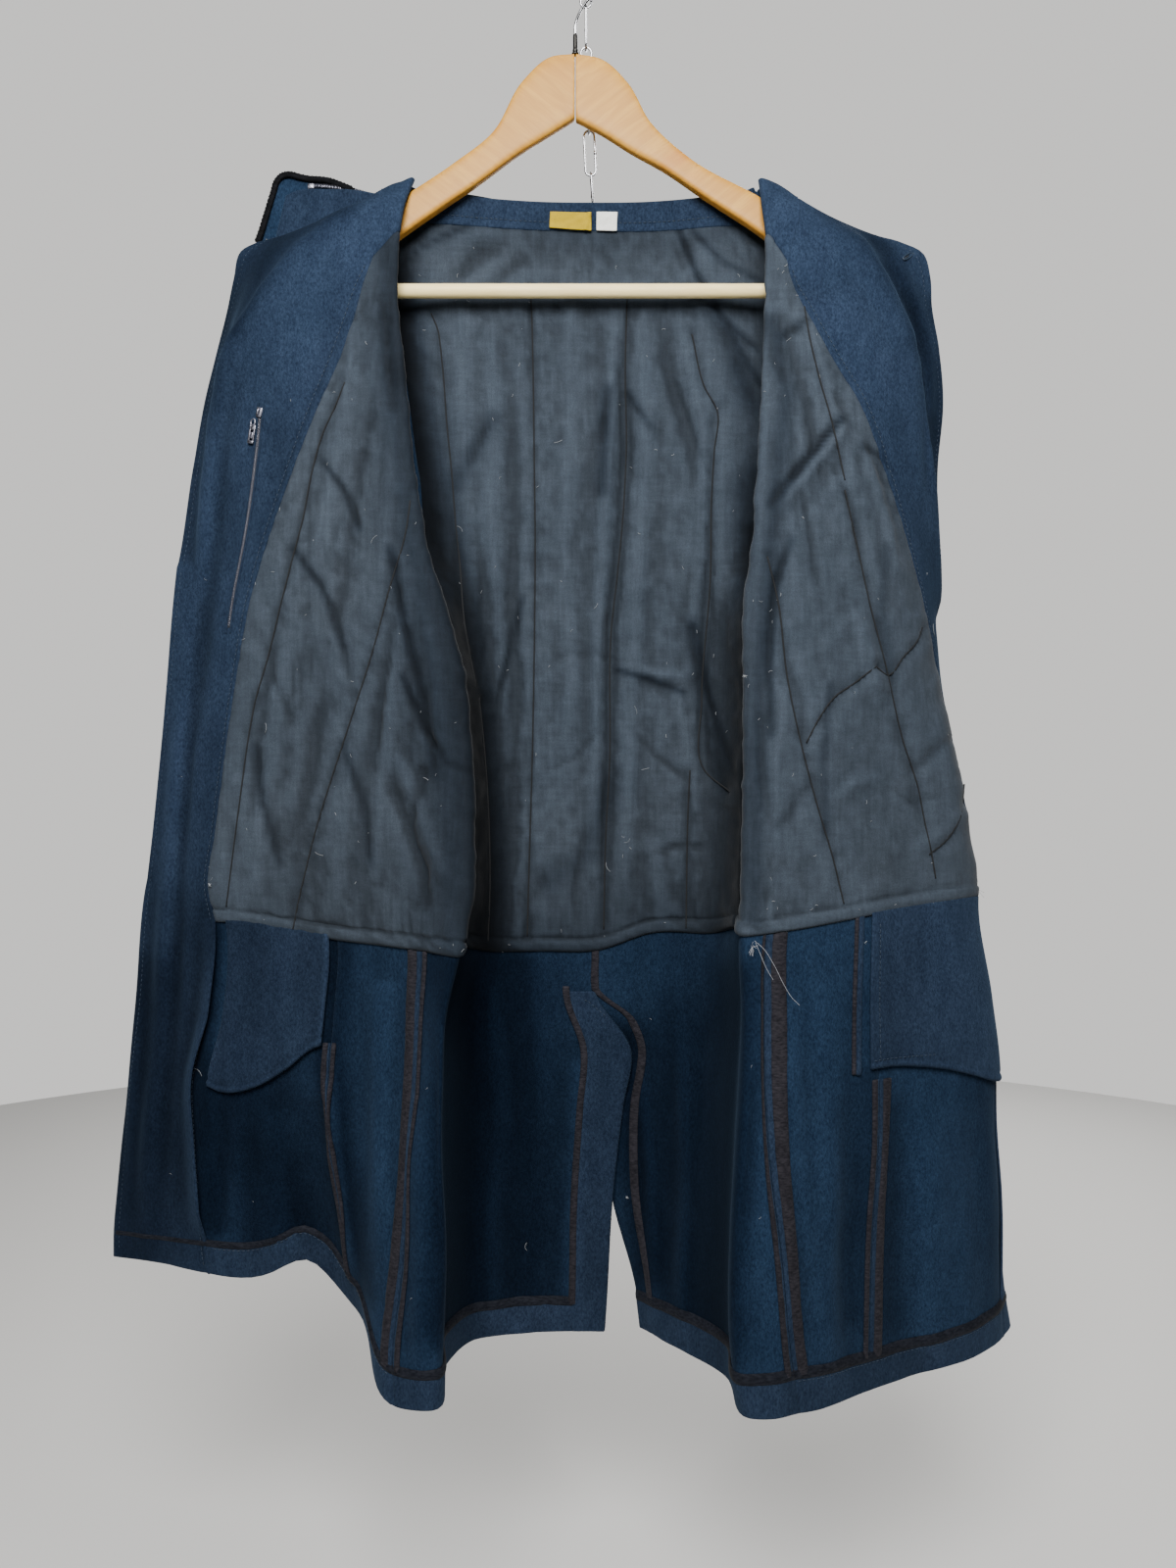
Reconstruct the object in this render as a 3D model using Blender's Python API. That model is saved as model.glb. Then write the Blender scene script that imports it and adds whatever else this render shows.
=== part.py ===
"""Wool overcoat hung wide open on a wooden hanger, its inside to the front, held by a chain.

Metres, +Z up, +X to the right seen from the front, +Y away from the front.
The origin is in the top link of the chain, where the whole thing is held.

The cloth is one form: lines run down it (front edge, lapel ridge, facing seam, dart seam, side seam, crest of
the fold, armhole or return, valley, mid back, centre), and rows cross it from the neck to the hem.
Every cloth piece is a wall made from the cells between some of those lines and rows, moved out or in.
"""

import math

import bmesh
import bpy
import numpy as np

# ---------------------------------------------------------------- driving sizes, millimetres
SIGHT = 1003.0  # distance from which the front view below is read, to the hanger's plane
SCALE = 1204.0  # pixels per unit of slope in that view
TOP = 732.26  # height of the origin over the middle of the view
ASIDE = 1.67  # distance of the origin to the left of that middle
GAP = 0.3  # between pieces
SHELL = 2.0  # navy wool
LINING = 1.6  # quilted cotton
FACING = 1.6  # navy wool facing
BINDING = 0.7
SEAM_HALF = 8.0  # width of the seam allowance on each side
HANGER_THICK = 12.0
BAR_D = 12.0
TENON_D = 8.0  # the bar's ends, in the arms
HOOK_D = 2.4
LINK_WIRE = 2.0
LINK_PITCH = 35.8
LINK_WIDE = 11.0

# ---------------------------------------------------------------- the coat's lines and rows
# Each entry is (across, down) in the front view and (depth in millimetres); the hanger's plane has depth 0.
ROWS = ("neck", "gorge", "lining_top", "shoulder", "bar", "chest_1", "chest_2", "chest_3", "scye", "armpit",
        "waist_1", "waist_2", "hip_1", "hip_2", "lining_hem", "skirt_1", "pocket_foot", "skirt_2", "skirt_3",
        "hem_tape", "hem")

FRONT_L = {
    # row          front edge      lapel ridge     facing seam     dart seam       side seam       crest
    "neck":        ((293, 250, 27), (378, 203, -4), (391, 195, -5), (401, 190, -4), (411, 187, -4), (421, 183, -3)),
    "gorge":       ((262, 246, 30), (345, 222, -14), (382, 215, -18), (393, 212, -18), (402, 210, -17), (411, 208, -15)),
    "lining_top":  ((245, 256, 33), (312, 250, -18), (381, 262, -24), (390, 253, -23), (398, 244, -22), (406, 236, -20)),
    "shoulder":    ((236, 283, 34), (283, 279, -16), (371, 290, -26), (384, 284, -26), (394, 280, -26), (403, 276, -24)),
    "bar":         ((228, 313, 34), (262, 309, -12), (363, 320, -27), (379, 317, -28), (392, 315, -28), (403, 314, -27)),
    "chest_1":     ((216, 357, 34), (244, 350, -5), (349, 362, -28), (371, 361, -32), (391, 360, -34), (408, 359, -33)),
    "chest_2":     ((203, 410, 32), (236, 408, 2), (328, 410, -25), (359, 410, -33), (388, 410, -39), (413, 410, -39)),
    "chest_3":     ((193, 475, 29), (232, 474, 6), (301, 475, -19), (343, 475, -31), (383, 475, -42), (419, 475, -44)),
    "scye":        ((186, 545, 28), (228, 545, 8), (276, 545, -13), (330, 545, -28), (385, 545, -44), (430, 545, -50)),
    "armpit":      ((178, 620, 28), (215, 620, 10), (255, 620, -8), (320, 620, -26), (398, 620, -47), (450, 618, -57)),
    "waist_1":     ((172, 695, 30), (206, 695, 12), (241, 695, -4), (315, 695, -22), (412, 695, -48), (470, 692, -62)),
    "waist_2":     ((165, 775, 32), (197, 775, 13), (230, 775, -2), (318, 775, -20), (418, 775, -48), (477, 775, -66)),
    "hip_1":       ((158, 850, 33), (189, 850, 15), (221, 850, 0), (325, 850, -20), (423, 850, -52), (479, 850, -71)),
    "hip_2":       ((151, 908, 35), (183, 908, 16), (214, 908, 2), (336, 912, -20), (427, 915, -54), (476, 917, -74)),
    "lining_hem":  ((147, 944, 36), (183, 942, 16), (221, 940, 4), (344, 959, -20), (431, 970, -55), (465, 976, -76)),
    "skirt_1":     ((140, 1035, 36), (178, 1035, 18), (217, 1035, 8), (341, 1035, -20), (428, 1040, -56), (451, 1040, -78)),
    "pocket_foot": ((133, 1105, 36), (168, 1105, 20), (201, 1105, 10), (337, 1105, -20), (425, 1110, -58), (448, 1110, -80)),
    "skirt_2":     ((125, 1165, 36), (163, 1165, 20), (204, 1165, 10), (341, 1170, -19), (422, 1175, -60), (447, 1175, -81)),
    "skirt_3":     ((120, 1215, 36), (161, 1217, 20), (209, 1219, 8), (350, 1232, -17), (412, 1290, -66), (451, 1285, -83)),
    "hem_tape":    ((117, 1256, 36), (160, 1261, 20), (211, 1267, 8), (359, 1303, -14), (401, 1398, -74), (444, 1403, -85)),
    "hem":         ((117, 1281, 36), (166, 1288, 20), (215, 1298, 8), (365, 1337, -11), (404, 1434, -79), (441, 1438, -86)),
}

FRONT_R = {
    # row          front edge      lapel ridge     facing seam     dart seam       side seam       crest
    "neck":        ((891, 243, 22), (835, 217, -4), (812, 203, -5), (801, 195, -4), (789, 188, -4), (776, 184, -3)),
    "gorge":       ((920, 246, 26), (852, 238, -14), (814, 219, -18), (802, 215, -18), (791, 212, -17), (780, 210, -15)),
    "lining_top":  ((943, 259, 28), (870, 262, -18), (803, 267, -25), (796, 256, -24), (790, 247, -22), (784, 239, -20)),
    "shoulder":    ((950, 281, 28), (887, 286, -15), (808, 290, -26), (800, 284, -26), (792, 280, -25), (784, 276, -23)),
    "bar":         ((953, 312, 28), (904, 316, -10), (823, 320, -30), (808, 318, -30), (795, 316, -29), (783, 314, -28)),
    "chest_1":     ((961, 356, 27), (925, 358, -4), (846, 361, -32), (823, 361, -34), (800, 360, -35), (780, 359, -34)),
    "chest_2":     ((966, 408, 28), (940, 410, 4), (876, 411, -30), (838, 411, -39), (805, 411, -43), (779, 410, -42)),
    "chest_3":     ((963, 476, 28), (946, 476, 8), (901, 476, -24), (856, 476, -42), (812, 476, -49), (776, 475, -48)),
    "scye":        ((961, 546, 30), (948, 546, 12), (922, 546, -16), (868, 546, -45), (813, 546, -56), (772, 545, -54)),
    "armpit":      ((957, 620, 36), (953, 620, 20), (942, 620, -4), (880, 620, -46), (808, 620, -61), (766, 618, -60)),
    "waist_1":     ((922, 694, 56), (955, 695, 38), (956, 695, 12), (886, 695, -46), (802, 695, -64), (765, 692, -64)),
    "waist_2":     ((912, 772, 61), (966, 775, 46), (972, 775, 20), (892, 775, -45), (798, 775, -67), (767, 775, -68)),
    "hip_1":       ((915, 848, 62), (979, 850, 50), (986, 850, 26), (896, 850, -45), (794, 850, -70), (768, 850, -72)),
    "hip_2":       ((920, 900, 63), (987, 903, 53), (994, 903, 30), (898, 912, -47), (788, 920, -74), (766, 920, -76)),
    "lining_hem":  ((924, 918, 64), (986, 918, 54), (993, 916, 31), (898, 932, -49), (782, 953, -78), (764, 955, -79)),
    "skirt_1":     ((935, 1008, 64), (992, 1012, 56), (1005, 1015, 32), (896, 1030, -52), (779, 1040, -82), (767, 1040, -82)),
    "pocket_foot": ((945, 1076, 66), (1000, 1080, 58), (1012, 1085, 36), (896, 1098, -54), (780, 1110, -86), (765, 1110, -86)),
    "skirt_2":     ((955, 1133, 68), (1004, 1139, 59), (1012, 1145, 38), (895, 1165, -54), (784, 1178, -90), (760, 1178, -90)),
    "skirt_3":     ((968, 1205, 69), (1012, 1212, 62), (1018, 1220, 42), (889, 1245, -54), (795, 1270, -93), (753, 1270, -94)),
    "hem_tape":    ((980, 1310, 70), (1022, 1318, 60), (1021, 1330, 36), (885, 1384, -54), (810, 1403, -91), (756, 1408, -98)),
    "hem":         ((985, 1336, 71), (1027, 1349, 62), (1022, 1363, 34), (884, 1417, -54), (817, 1441, -88), (765, 1446, -99)),
}

# Behind the crest: (across, depth) of the armhole's back edge or the return, the valley, the mid back and the centre.
BACK_L = {
    # row          armhole/return  valley      mid back    centre
    "neck":        ((430, 8), (475, 11), (540, 10), (604, 9)),
    "gorge":       ((414, 11), (470, 13), (538, 13), (604, 13)),
    "lining_top":  ((404, 15), (468, 15), (538, 16), (604, 16)),
    "shoulder":    ((402, 19), (466, 17), (540, 18), (605, 18)),
    "bar":         ((401, 23), (464, 20), (541, 21), (606, 21)),
    "chest_1":     ((403, 26), (466, 22), (543, 23), (607, 23)),
    "chest_2":     ((400, 28), (470, 23), (545, 25), (608, 25)),
    "chest_3":     ((408, 29), (477, 25), (545, 27), (608, 27)),
    "scye":        ((424, 27), (484, 27), (545, 29), (608, 29)),
    "armpit":      ((452, -16), (490, 30), (545, 31), (608, 31)),
    "waist_1":     ((467, -18), (500, 33), (548, 33), (608, 33)),
    "waist_2":     ((474, -18), (506, 36), (550, 35), (608, 35)),
    "hip_1":       ((477, -18), (512, 39), (553, 37), (607, 37)),
    "hip_2":       ((475, -18), (515, 40), (555, 38), (606, 39)),
    "lining_hem":  ((466, -16), (508, 38), (555, 40), (606, 41)),
    "skirt_1":     ((456, -12), (484, 33), (549, 42), (607, 43)),
    "pocket_foot": ((455, -12), (483, 32), (549, 43), (643, 44)),
    "skirt_2":     ((455, -12), (483, 31), (549, 44), (635, 45)),
    "skirt_3":     ((455, -12), (483, 31), (548, 45), (624, 45)),
    "hem_tape":    ((454, -12), (483, 30), (549, 45), (618, 46)),
    "hem":         ((455, -13), (484, 30), (549, 45), (616, 46)),
}
BACK_R = {
    # row          armhole/return  valley      mid back    centre
    "neck":        ((768, 8), (728, 11), (668, 10), (604, 9)),
    "gorge":       ((779, 11), (722, 13), (665, 13), (604, 13)),
    "lining_top":  ((791, 15), (725, 15), (667, 16), (604, 16)),
    "shoulder":    ((791, 19), (730, 17), (669, 18), (605, 18)),
    "bar":         ((791, 23), (733, 20), (670, 21), (606, 21)),
    "chest_1":     ((790, 26), (735, 22), (671, 23), (607, 23)),
    "chest_2":     ((789, 28), (735, 23), (672, 25), (608, 25)),
    "chest_3":     ((786, 29), (734, 25), (673, 27), (608, 27)),
    "scye":        ((780, 27), (733, 27), (674, 29), (608, 29)),
    "armpit":      ((762, -16), (731, 28), (674, 31), (608, 31)),
    "waist_1":     ((763, -20), (729, 30), (674, 33), (608, 33)),
    "waist_2":     ((763, -22), (727, 31), (673, 35), (608, 35)),
    "hip_1":       ((762, -24), (725, 32), (672, 37), (607, 37)),
    "hip_2":       ((758, -26), (723, 33), (671, 39), (606, 39)),
    "lining_hem":  ((755, -27), (721, 32), (669, 40), (606, 41)),
    "skirt_1":     ((755, -28), (716, 27), (665, 40), (607, 43)),
    "pocket_foot": ((751, -30), (712, 23), (671, 40), (641, 51)),
    "skirt_2":     ((747, -32), (709, 18), (672, 40), (625, 50)),
    "skirt_3":     ((743, -34), (705, 12), (673, 39), (623, 51)),
    "hem_tape":    ((742, -35), (702, 7), (680, 26), (650, 52)),
    "hem":         ((742, -36), (701, 4), (680, 24), (654, 52)),
}
NECK_DIP = {"neck": 15.0, "gorge": 10.0, "lining_top": 6.0, "shoulder": 2.0}  # the neck hangs lower at the centre
BACK_DROP = {"lining_hem": 12.0}

STATIONS = ("edge", "ridge", "seam", "dart", "side", "crest", "return", "valley", "mid", "centre")
AT = {name: i for i, name in enumerate(STATIONS)}
ARMPIT = ROWS.index("armpit")
ROW = {name: i for i, name in enumerate(ROWS)}


def place(u, v, y):
    """A point of the front view at a depth, in millimetres from the origin."""
    d = SIGHT + y
    return ((u - 600.0) * d / SCALE + ASIDE, y, (800.0 - v) * d / SCALE - TOP)


def stations(front, back, other, side):
    """Two nets, rows by stations: with the armhole's front edge, and with its back edge, as the return."""
    nets = np.zeros((2, len(ROWS), len(STATIONS) + 1, 3))
    for i, row in enumerate(ROWS):
        for k, uvy in enumerate(front[row]):
            nets[:, i, k] = place(*uvy)
        crest = nets[0, i, AT["crest"]]
        for k, (u, y) in enumerate(back[row] + (other[row][2],)):
            d = SIGHT + y
            x = (u - 600.0) * d / SCALE + ASIDE
            across = min(1.0, abs(x) / 150.0)
            z = crest[2] - NECK_DIP.get(row, 0.0) * (1 - across**2) - BACK_DROP.get(row, 0.0) * (k in (1, 2, 3, 4))
            nets[:, i, AT["return"] + k] = (x, y, z)
        if i < ARMPIT:  # the front's armhole edge: a narrow turn behind the crest
            reach = 2.0 + 0.8 * i
            nets[0, i, AT["return"]] = crest + np.array((side * reach * 0.35, reach, 0.0))
    return nets / 1000.0


def spline(points, at):
    """Smooth curve through points (n, m, 3), read at fractional indices (k, m)."""
    n = len(points)
    step = np.linalg.norm(np.diff(points, axis=0), axis=-1)[..., None] + 1e-9
    slope = np.diff(points, axis=0) / step
    tangent = np.zeros_like(points)
    tangent[0], tangent[-1] = slope[0], slope[-1]
    if n > 2:
        tangent[1:-1] = (slope[:-1] * step[1:] + slope[1:] * step[:-1]) / (step[1:] + step[:-1])
    low = np.clip(np.floor(at + 1e-9).astype(int), 0, n - 2)
    f = (at - low)[..., None]
    m = np.arange(points.shape[1])[None, :]
    p, q, a, b, h = points[low, m], points[low + 1, m], tangent[low, m], tangent[low + 1, m], step[low, m]
    return ((2 * f**3 - 3 * f**2 + 1) * p + (f**3 - 2 * f**2 + f) * h * a
            + (3 * f**2 - 2 * f**3) * q + (f**3 - f**2) * h * b)


def net_points(net, s, t):
    """Points of the coat at stations s (k, rows) along rows t (rows,)."""
    down = spline(net, np.repeat(np.asarray(t, float)[:, None], net.shape[1], axis=1))
    points = spline(down.transpose(1, 0, 2), s)
    x, z = points[..., 0], points[..., 2]  # the left front's hem rises between its facing and its dart
    low = np.clip((-1.045 - z) / 0.10, 0.0, 1.0)
    points[..., 2] = z + 0.024 * np.exp(-(((x + 0.238) / 0.030) ** 2)) * low * low * (3 - 2 * low)
    return points


# ---------------------------------------------------------------- making solids
def new_object(name, verts, faces, colour, rough, metal=0.0, smooth=True):
    mesh = bpy.data.meshes.new(name)
    mesh.from_pydata([tuple(p) for p in verts], [], faces)
    mesh.validate()
    obj = bpy.data.objects.new(name, mesh)
    bpy.context.scene.collection.objects.link(obj)
    material = bpy.data.materials.new(name)
    material.use_nodes = True
    shader = material.node_tree.nodes["Principled BSDF"]
    shader.inputs["Base Color"].default_value = (*colour, 1.0)
    shader.inputs["Roughness"].default_value = rough
    shader.inputs["Metallic"].default_value = metal
    material.diffuse_color = (*colour, 1.0)
    mesh.materials.append(material)
    if smooth:
        mesh.shade_smooth()
        mesh.set_sharp_from_angle(angle=math.radians(40))
    return obj


def wall(name, points, normals, quads, low, high, look, inset=GAP / 2):
    """A closed wall over the quads of a net, from low to high millimetres along the net's normals."""
    used = sorted({i for q in quads for i in q})
    at = {v: k for k, v in enumerate(used)}
    p, n = points[used].copy(), normals[used]
    tris, edges = [], {}
    for q in quads:
        a, b, c, d = (at[i] for i in q)
        tris += [(a, b, c), (a, c, d)]
        middle = (p[a] + p[b] + p[c] + p[d]) / 4
        for e, f in ((a, b), (b, c), (c, d), (d, a)):
            edges.setdefault((min(e, f), max(e, f)), []).append((e, f, middle))
    push = np.zeros_like(p)
    count = np.zeros(len(p))
    rim = []
    for found in edges.values():
        if len(found) == 1:
            e, f, middle = found[0]
            rim.append((e, f))
            inward = np.cross(n[e] + n[f], p[f] - p[e])
            inward /= np.linalg.norm(inward) + 1e-12
            if inward @ (middle - p[e]) < 0:
                inward = -inward
            for k in (e, f):
                push[k] += inward
                count[k] += 1
    long = np.linalg.norm(push, axis=1)
    moved = long > 1e-6
    p[moved] += push[moved] / long[moved][:, None] * np.minimum(2.0, 2.0 / long[moved])[:, None] * inset / 1000
    m = len(p)
    verts = np.concatenate([p + n * low / 1000, p + n * high / 1000])
    faces = [(c, b, a) for a, b, c in tris] + [(a + m, b + m, c + m) for a, b, c in tris]
    for e, f in rim:
        faces += [(e, f, f + m), (e, f + m, e + m)]
    return new_object(name, verts, faces, *look)


def grid_normals(points):
    """Unit normals of a grid (across, down, 3)."""
    a = np.gradient(points, axis=0)
    b = np.gradient(points, axis=1)
    n = np.cross(a, b)
    return n / (np.linalg.norm(n, axis=-1, keepdims=True) + 1e-12)


NAVY = ((0.022, 0.045, 0.085), 0.92)
NAVY_IN = ((0.018, 0.036, 0.070), 0.92)
LINED = ((0.045, 0.048, 0.055), 0.85)
BROWN = ((0.040, 0.028, 0.026), 0.8)
WOOD = ((0.76, 0.50, 0.24), 0.45)
WOOD_PALE = ((0.85, 0.68, 0.42), 0.5)
STEEL = ((0.55, 0.55, 0.56), 0.3, 1.0)
YELLOW = ((0.90, 0.75, 0.01), 0.8)
WHITE = ((0.80, 0.80, 0.76), 0.8)


def half_columns(net_front, net_back):
    """The coat's columns of one half at every row: name, net and station for each."""
    rows = np.arange(len(ROWS), dtype=float)
    both = (net_front, net_back)

    def near(net, name, toward, reach):
        k = AT[name]
        gap = np.linalg.norm(net[:, k + toward] - net[:, k], axis=-1) * 1000
        return k + toward * np.minimum(reach / np.maximum(gap, 1e-6), 0.36)

    plan = [
        ("edge", 0, 0.0), ("ridge", 0, 1.0), ("ridge_seam", 0, 1.5), ("seam", 0, 2.0),
        ("seam_dart", 0, 2.5), ("dart_a", 0, near(both[0], "dart", -1, SEAM_HALF)), ("dart", 0, 3.0),
        ("dart_b", 0, near(both[0], "dart", 1, SEAM_HALF)), ("dart_side", 0, 3.5),
        ("side_a", 0, near(both[0], "side", -1, SEAM_HALF)), ("side", 0, 4.0),
        ("side_b", 0, near(both[0], "side", 1, SEAM_HALF)), ("crest", 0, 5.0), ("crest_return", 0, 5.5),
        ("return", 0, 6.0), ("return_b", 1, 6.0), ("return_valley", 1, 6.5), ("valley", 1, 7.0),
        ("valley_mid", 1, 7.5), ("mid", 1, 8.0), ("mid_centre", 1, 8.5), ("centre", 1, 9.0),
    ]
    names = [p[0] for p in plan]
    grid = np.zeros((len(plan), len(ROWS), 3))
    for c, (_, which, s) in enumerate(plan):
        s = np.broadcast_to(np.asarray(s, float), rows.shape)
        grid[c] = net_points(both[which], s[None, :], rows)[0]
    return names, grid


class Coat:
    """Both halves of the coat as one net of points, with cells picked by side, column and row names."""

    def __init__(self):
        self.names, self.grid = None, {}
        for side, args in ((-1, (FRONT_L, BACK_L, BACK_R)), (1, (FRONT_R, BACK_R, BACK_L))):
            nets = stations(*args, side)
            self.names, self.grid[side] = half_columns(nets[0], nets[1])
        self.col = {n: i for i, n in enumerate(self.names)}
        nc, nr = self.grid[1].shape[:2]
        self.nr, self.base = nr, {-1: 0, 1: nc * nr}
        self.points = np.concatenate([self.grid[-1].reshape(-1, 3), self.grid[1].reshape(-1, 3)])
        self.alias = {}
        for side in (-1, 1):
            for r in range(ARMPIT, nr):  # below the armhole both its edges are one line
                self.alias[self.base[side] + self.col["return_b"] * nr + r] = (
                    self.base[side] + self.col["return"] * nr + r)
        for r in range(ROW["skirt_1"] + 1):  # both backs meet at the centre, above the vent
            last = self.col["centre"] * nr + r
            self.alias[self.base[1] + last] = last
        self.normals = np.zeros_like(self.points)
        for side in (-1, 1):
            for q in self.cells(side, "edge", "centre", 0, nr - 1):
                a, b, c, d = (self.points[i] for i in q)
                n = np.cross(c - a, d - b)
                size = np.linalg.norm(n) + 1e-15
                for i in q:
                    self.normals[i] += n / size * math.sqrt(size)
        long = np.linalg.norm(self.normals, axis=1, keepdims=True)
        self.normals /= np.maximum(long, 1e-12)

    def vid(self, side, c, r):
        i = self.base[side] + c * self.nr + r
        return self.alias.get(i, i)

    def quad(self, side, c, r):
        q = (self.vid(side, c, r), self.vid(side, c, r + 1), self.vid(side, c + 1, r + 1), self.vid(side, c + 1, r))
        return q if side < 0 else (q[3], q[2], q[1], q[0])

    def cells(self, side, start, end, top, foot):
        a, b = self.col[start], self.col[end]
        t, f = ROW.get(top, top), ROW.get(foot, foot)
        return [self.quad(side, c, r) for c in range(a, b) for r in range(t, f) if self.names[c] != "return"]

    def at(self, side, c, r):
        """A point on the cells' own triangles, and its normal, at a fractional column and row."""
        i, j = min(int(c), len(self.names) - 2), min(int(r), self.nr - 2)
        f, g = c - i, r - j
        ids = [self.vid(side, i, j), self.vid(side, i, j + 1), self.vid(side, i + 1, j + 1), self.vid(side, i + 1, j)]
        if side < 0:
            w = (1 - g, g - f, f, 0.0) if g >= f else (1 - f, 0.0, g, f - g)
        else:  # these cells are cut along the other diagonal
            w = (1 - f - g, g, 0.0, f) if f + g <= 1 else (0.0, 1 - f, f + g - 1, 1 - g)
        p = sum(k * self.points[v] for k, v in zip(w, ids))
        n = sum(k * self.normals[v] for k, v in zip(w, ids))
        return p, n / np.linalg.norm(n)


def patch(name, coat, side, columns, foot, low, high, look):
    """A panel on the coat over some columns, from the lining's hem to a foot line, a table (part, row)."""
    points, normals = [], []
    top, middle = ROW["lining_hem"] + 0.02, ROW["skirt_1"]
    for c in columns:
        f = (c - columns[0]) / (columns[-1] - columns[0])
        last = np.interp(f, [a for a, _ in foot], [b for _, b in foot])
        for r in (top, (top + middle) / 2, middle, (middle + last) / 2, last):
            p, n = coat.at(side, c, r)
            points.append(p)
            normals.append(n)
    quads = [(i * 5 + j, i * 5 + j + 1, i * 5 + j + 6, i * 5 + j + 5) for i in range(len(columns) - 1) for j in range(4)]
    if side > 0:
        quads = [(q[3], q[2], q[1], q[0]) for q in quads]
    return wall(name, np.array(points), np.array(normals), quads, low, high, look)


def strip(name, coat, side, track, half, low, high, look):
    """A narrow band along a track of (column, row), half its width in millimetres on each side."""
    points, normals = [], []
    for c, r in track:
        p, n = coat.at(side, c, r)
        p2, _ = coat.at(side, min(c + 0.05, len(coat.names) - 1.001), r)
        per = 0.05 / (np.linalg.norm(p2 - p) * 1000)
        for k in (-1, 1):
            q, m = coat.at(side, c + k * half * per, r)
            points.append(q)
            normals.append(m)
    n = len(track)
    quads = [(2 * i, 2 * i + 2, 2 * i + 3, 2 * i + 1) for i in range(n - 1)]
    if side > 0:
        quads = [(d, c, b, a) for a, b, c, d in quads]
    return wall(name, np.array(points), np.array(normals), quads, low, high, look, 0.0)


# Sleeves: the flattened tube's outer and inner edge (across, down, depth), and half its depth to front and back.
SLEEVE_L = (
    ((388, 214, 1), (436, 640, -6), 19, 17), ((352, 235, 1), (430, 668, 6), 19, 18),
    ((320, 257, 3), (423, 696, 18), 18, 18), ((297, 290, 9), (416, 727, 25), 16, 18),
    ((280, 348, 17), (410, 767, 30), 15, 16), ((264, 450, 25), (403, 830, 32), 14, 15),
    ((250, 610, 31), (396, 905, 33), 14, 14), ((236, 800, 33), (391, 985, 34), 14, 14),
    ((222, 1056, 34), (388, 1080, 34), 14, 14),
)
SLEEVE_R = (
    ((806, 218, 1), (782, 640, -8), 19, 17), ((838, 238, 1), (788, 668, 2), 18, 18),
    ((866, 257, 3), (793, 696, 12), 17, 18), ((888, 290, 8), (798, 727, 18), 16, 18),
    ((902, 348, 14), (802, 767, 22), 15, 16), ((914, 450, 19), (807, 830, 24), 14, 15),
    ((925, 610, 24), (812, 905, 26), 14, 14), ((934, 800, 27), (817, 985, 27), 14, 14),
    ((945, 1056, 28), (820, 1080, 28), 14, 14),
)


def make_sleeve(name, coat, side, table):
    around = 2 * ARMPIT + 1
    rings = []
    for outer, inner, front, back in table:
        o, i = np.array(place(*outer)), np.array(place(*inner))
        ring = []
        for k in range(around):
            j = k if k <= ARMPIT else around - 1 - k
            angle = math.pi * (j + 0.5) / (ARMPIT + 0.5)
            p = o + (i - o) * (1 - math.cos(angle)) / 2
            p[1] += (-front if k <= ARMPIT else back) * math.sin(angle) ** 0.45 * (0 if k == ARMPIT else 1)
            ring.append(p / 1000)
        rings.append(np.array(ring))
    hole = [coat.grid[side][coat.col["return"], r] for r in range(ARMPIT + 1)]
    hole += [coat.grid[side][coat.col["return_b"], r] for r in range(ARMPIT - 1, -1, -1)]
    hole = np.array(hole)
    hole[0, 2] -= 0.0035  # under the shoulder, over the hanger's arm
    hole[0, 1], hole[-1, 1] = 0.0, 0.009
    step = rings[0] - hole
    long = np.linalg.norm(step, axis=1, keepdims=True)
    out = step / long + np.array((0.9 * side, 0.0, 0.0))
    first = hole + out / np.linalg.norm(out, axis=1, keepdims=True) * 0.0045
    grid = np.stack([first] + rings)  # rings, around
    n = np.zeros_like(grid)
    a = np.gradient(grid, axis=0)
    b = np.roll(grid, -1, axis=1) - np.roll(grid, 1, axis=1)
    n = np.cross(a, b)
    n /= np.linalg.norm(n, axis=-1, keepdims=True)
    out = grid - grid.mean(axis=1, keepdims=True)
    if (n * out).sum() < 0:
        n = -n
    m = len(grid)
    quads = []
    for i in range(m - 1):
        for k in range(around):
            k2 = (k + 1) % around
            q = (i * around + k, (i + 1) * around + k, (i + 1) * around + k2, i * around + k2)
            quads.append(q)
    a, b, c, d = (grid.reshape(-1, 3)[i] for i in quads[len(quads) // 2])
    if np.cross(c - a, d - b) @ n.reshape(-1, 3)[quads[len(quads) // 2][0]] < 0:
        quads = [(d2, c2, b2, a2) for a2, b2, c2, d2 in quads]
    return wall(name, grid.reshape(-1, 3), n.reshape(-1, 3), quads, 0.0, SHELL, NAVY, 0.0)


# Collar: its lower and upper edge (across, down, depth); the left end is turned up, the rest lies behind the neck.
COLLAR = (
    ((264, 254, 41), (284, 181, 45)), ((300, 262, 41), (316, 184, 43)), ((345, 250, 37), (350, 190, 37)),
    ((390, 236, 30), (390, 199, 25)), ((432, 232, 26), (436, 194, 19)), ((475, 262, 27), (476, 199, 18)),
    ((540, 274, 28), (540, 210, 18)), ((604, 278, 28), (604, 214, 18)), ((668, 274, 28), (668, 214, 18)),
    ((728, 262, 27), (726, 207, 18)), ((768, 234, 26), (762, 196, 19)), ((806, 250, 31), (806, 206, 25)),
    ((842, 286, 37), (842, 233, 30)), ((880, 318, 42), (880, 256, 38)),
)


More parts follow.
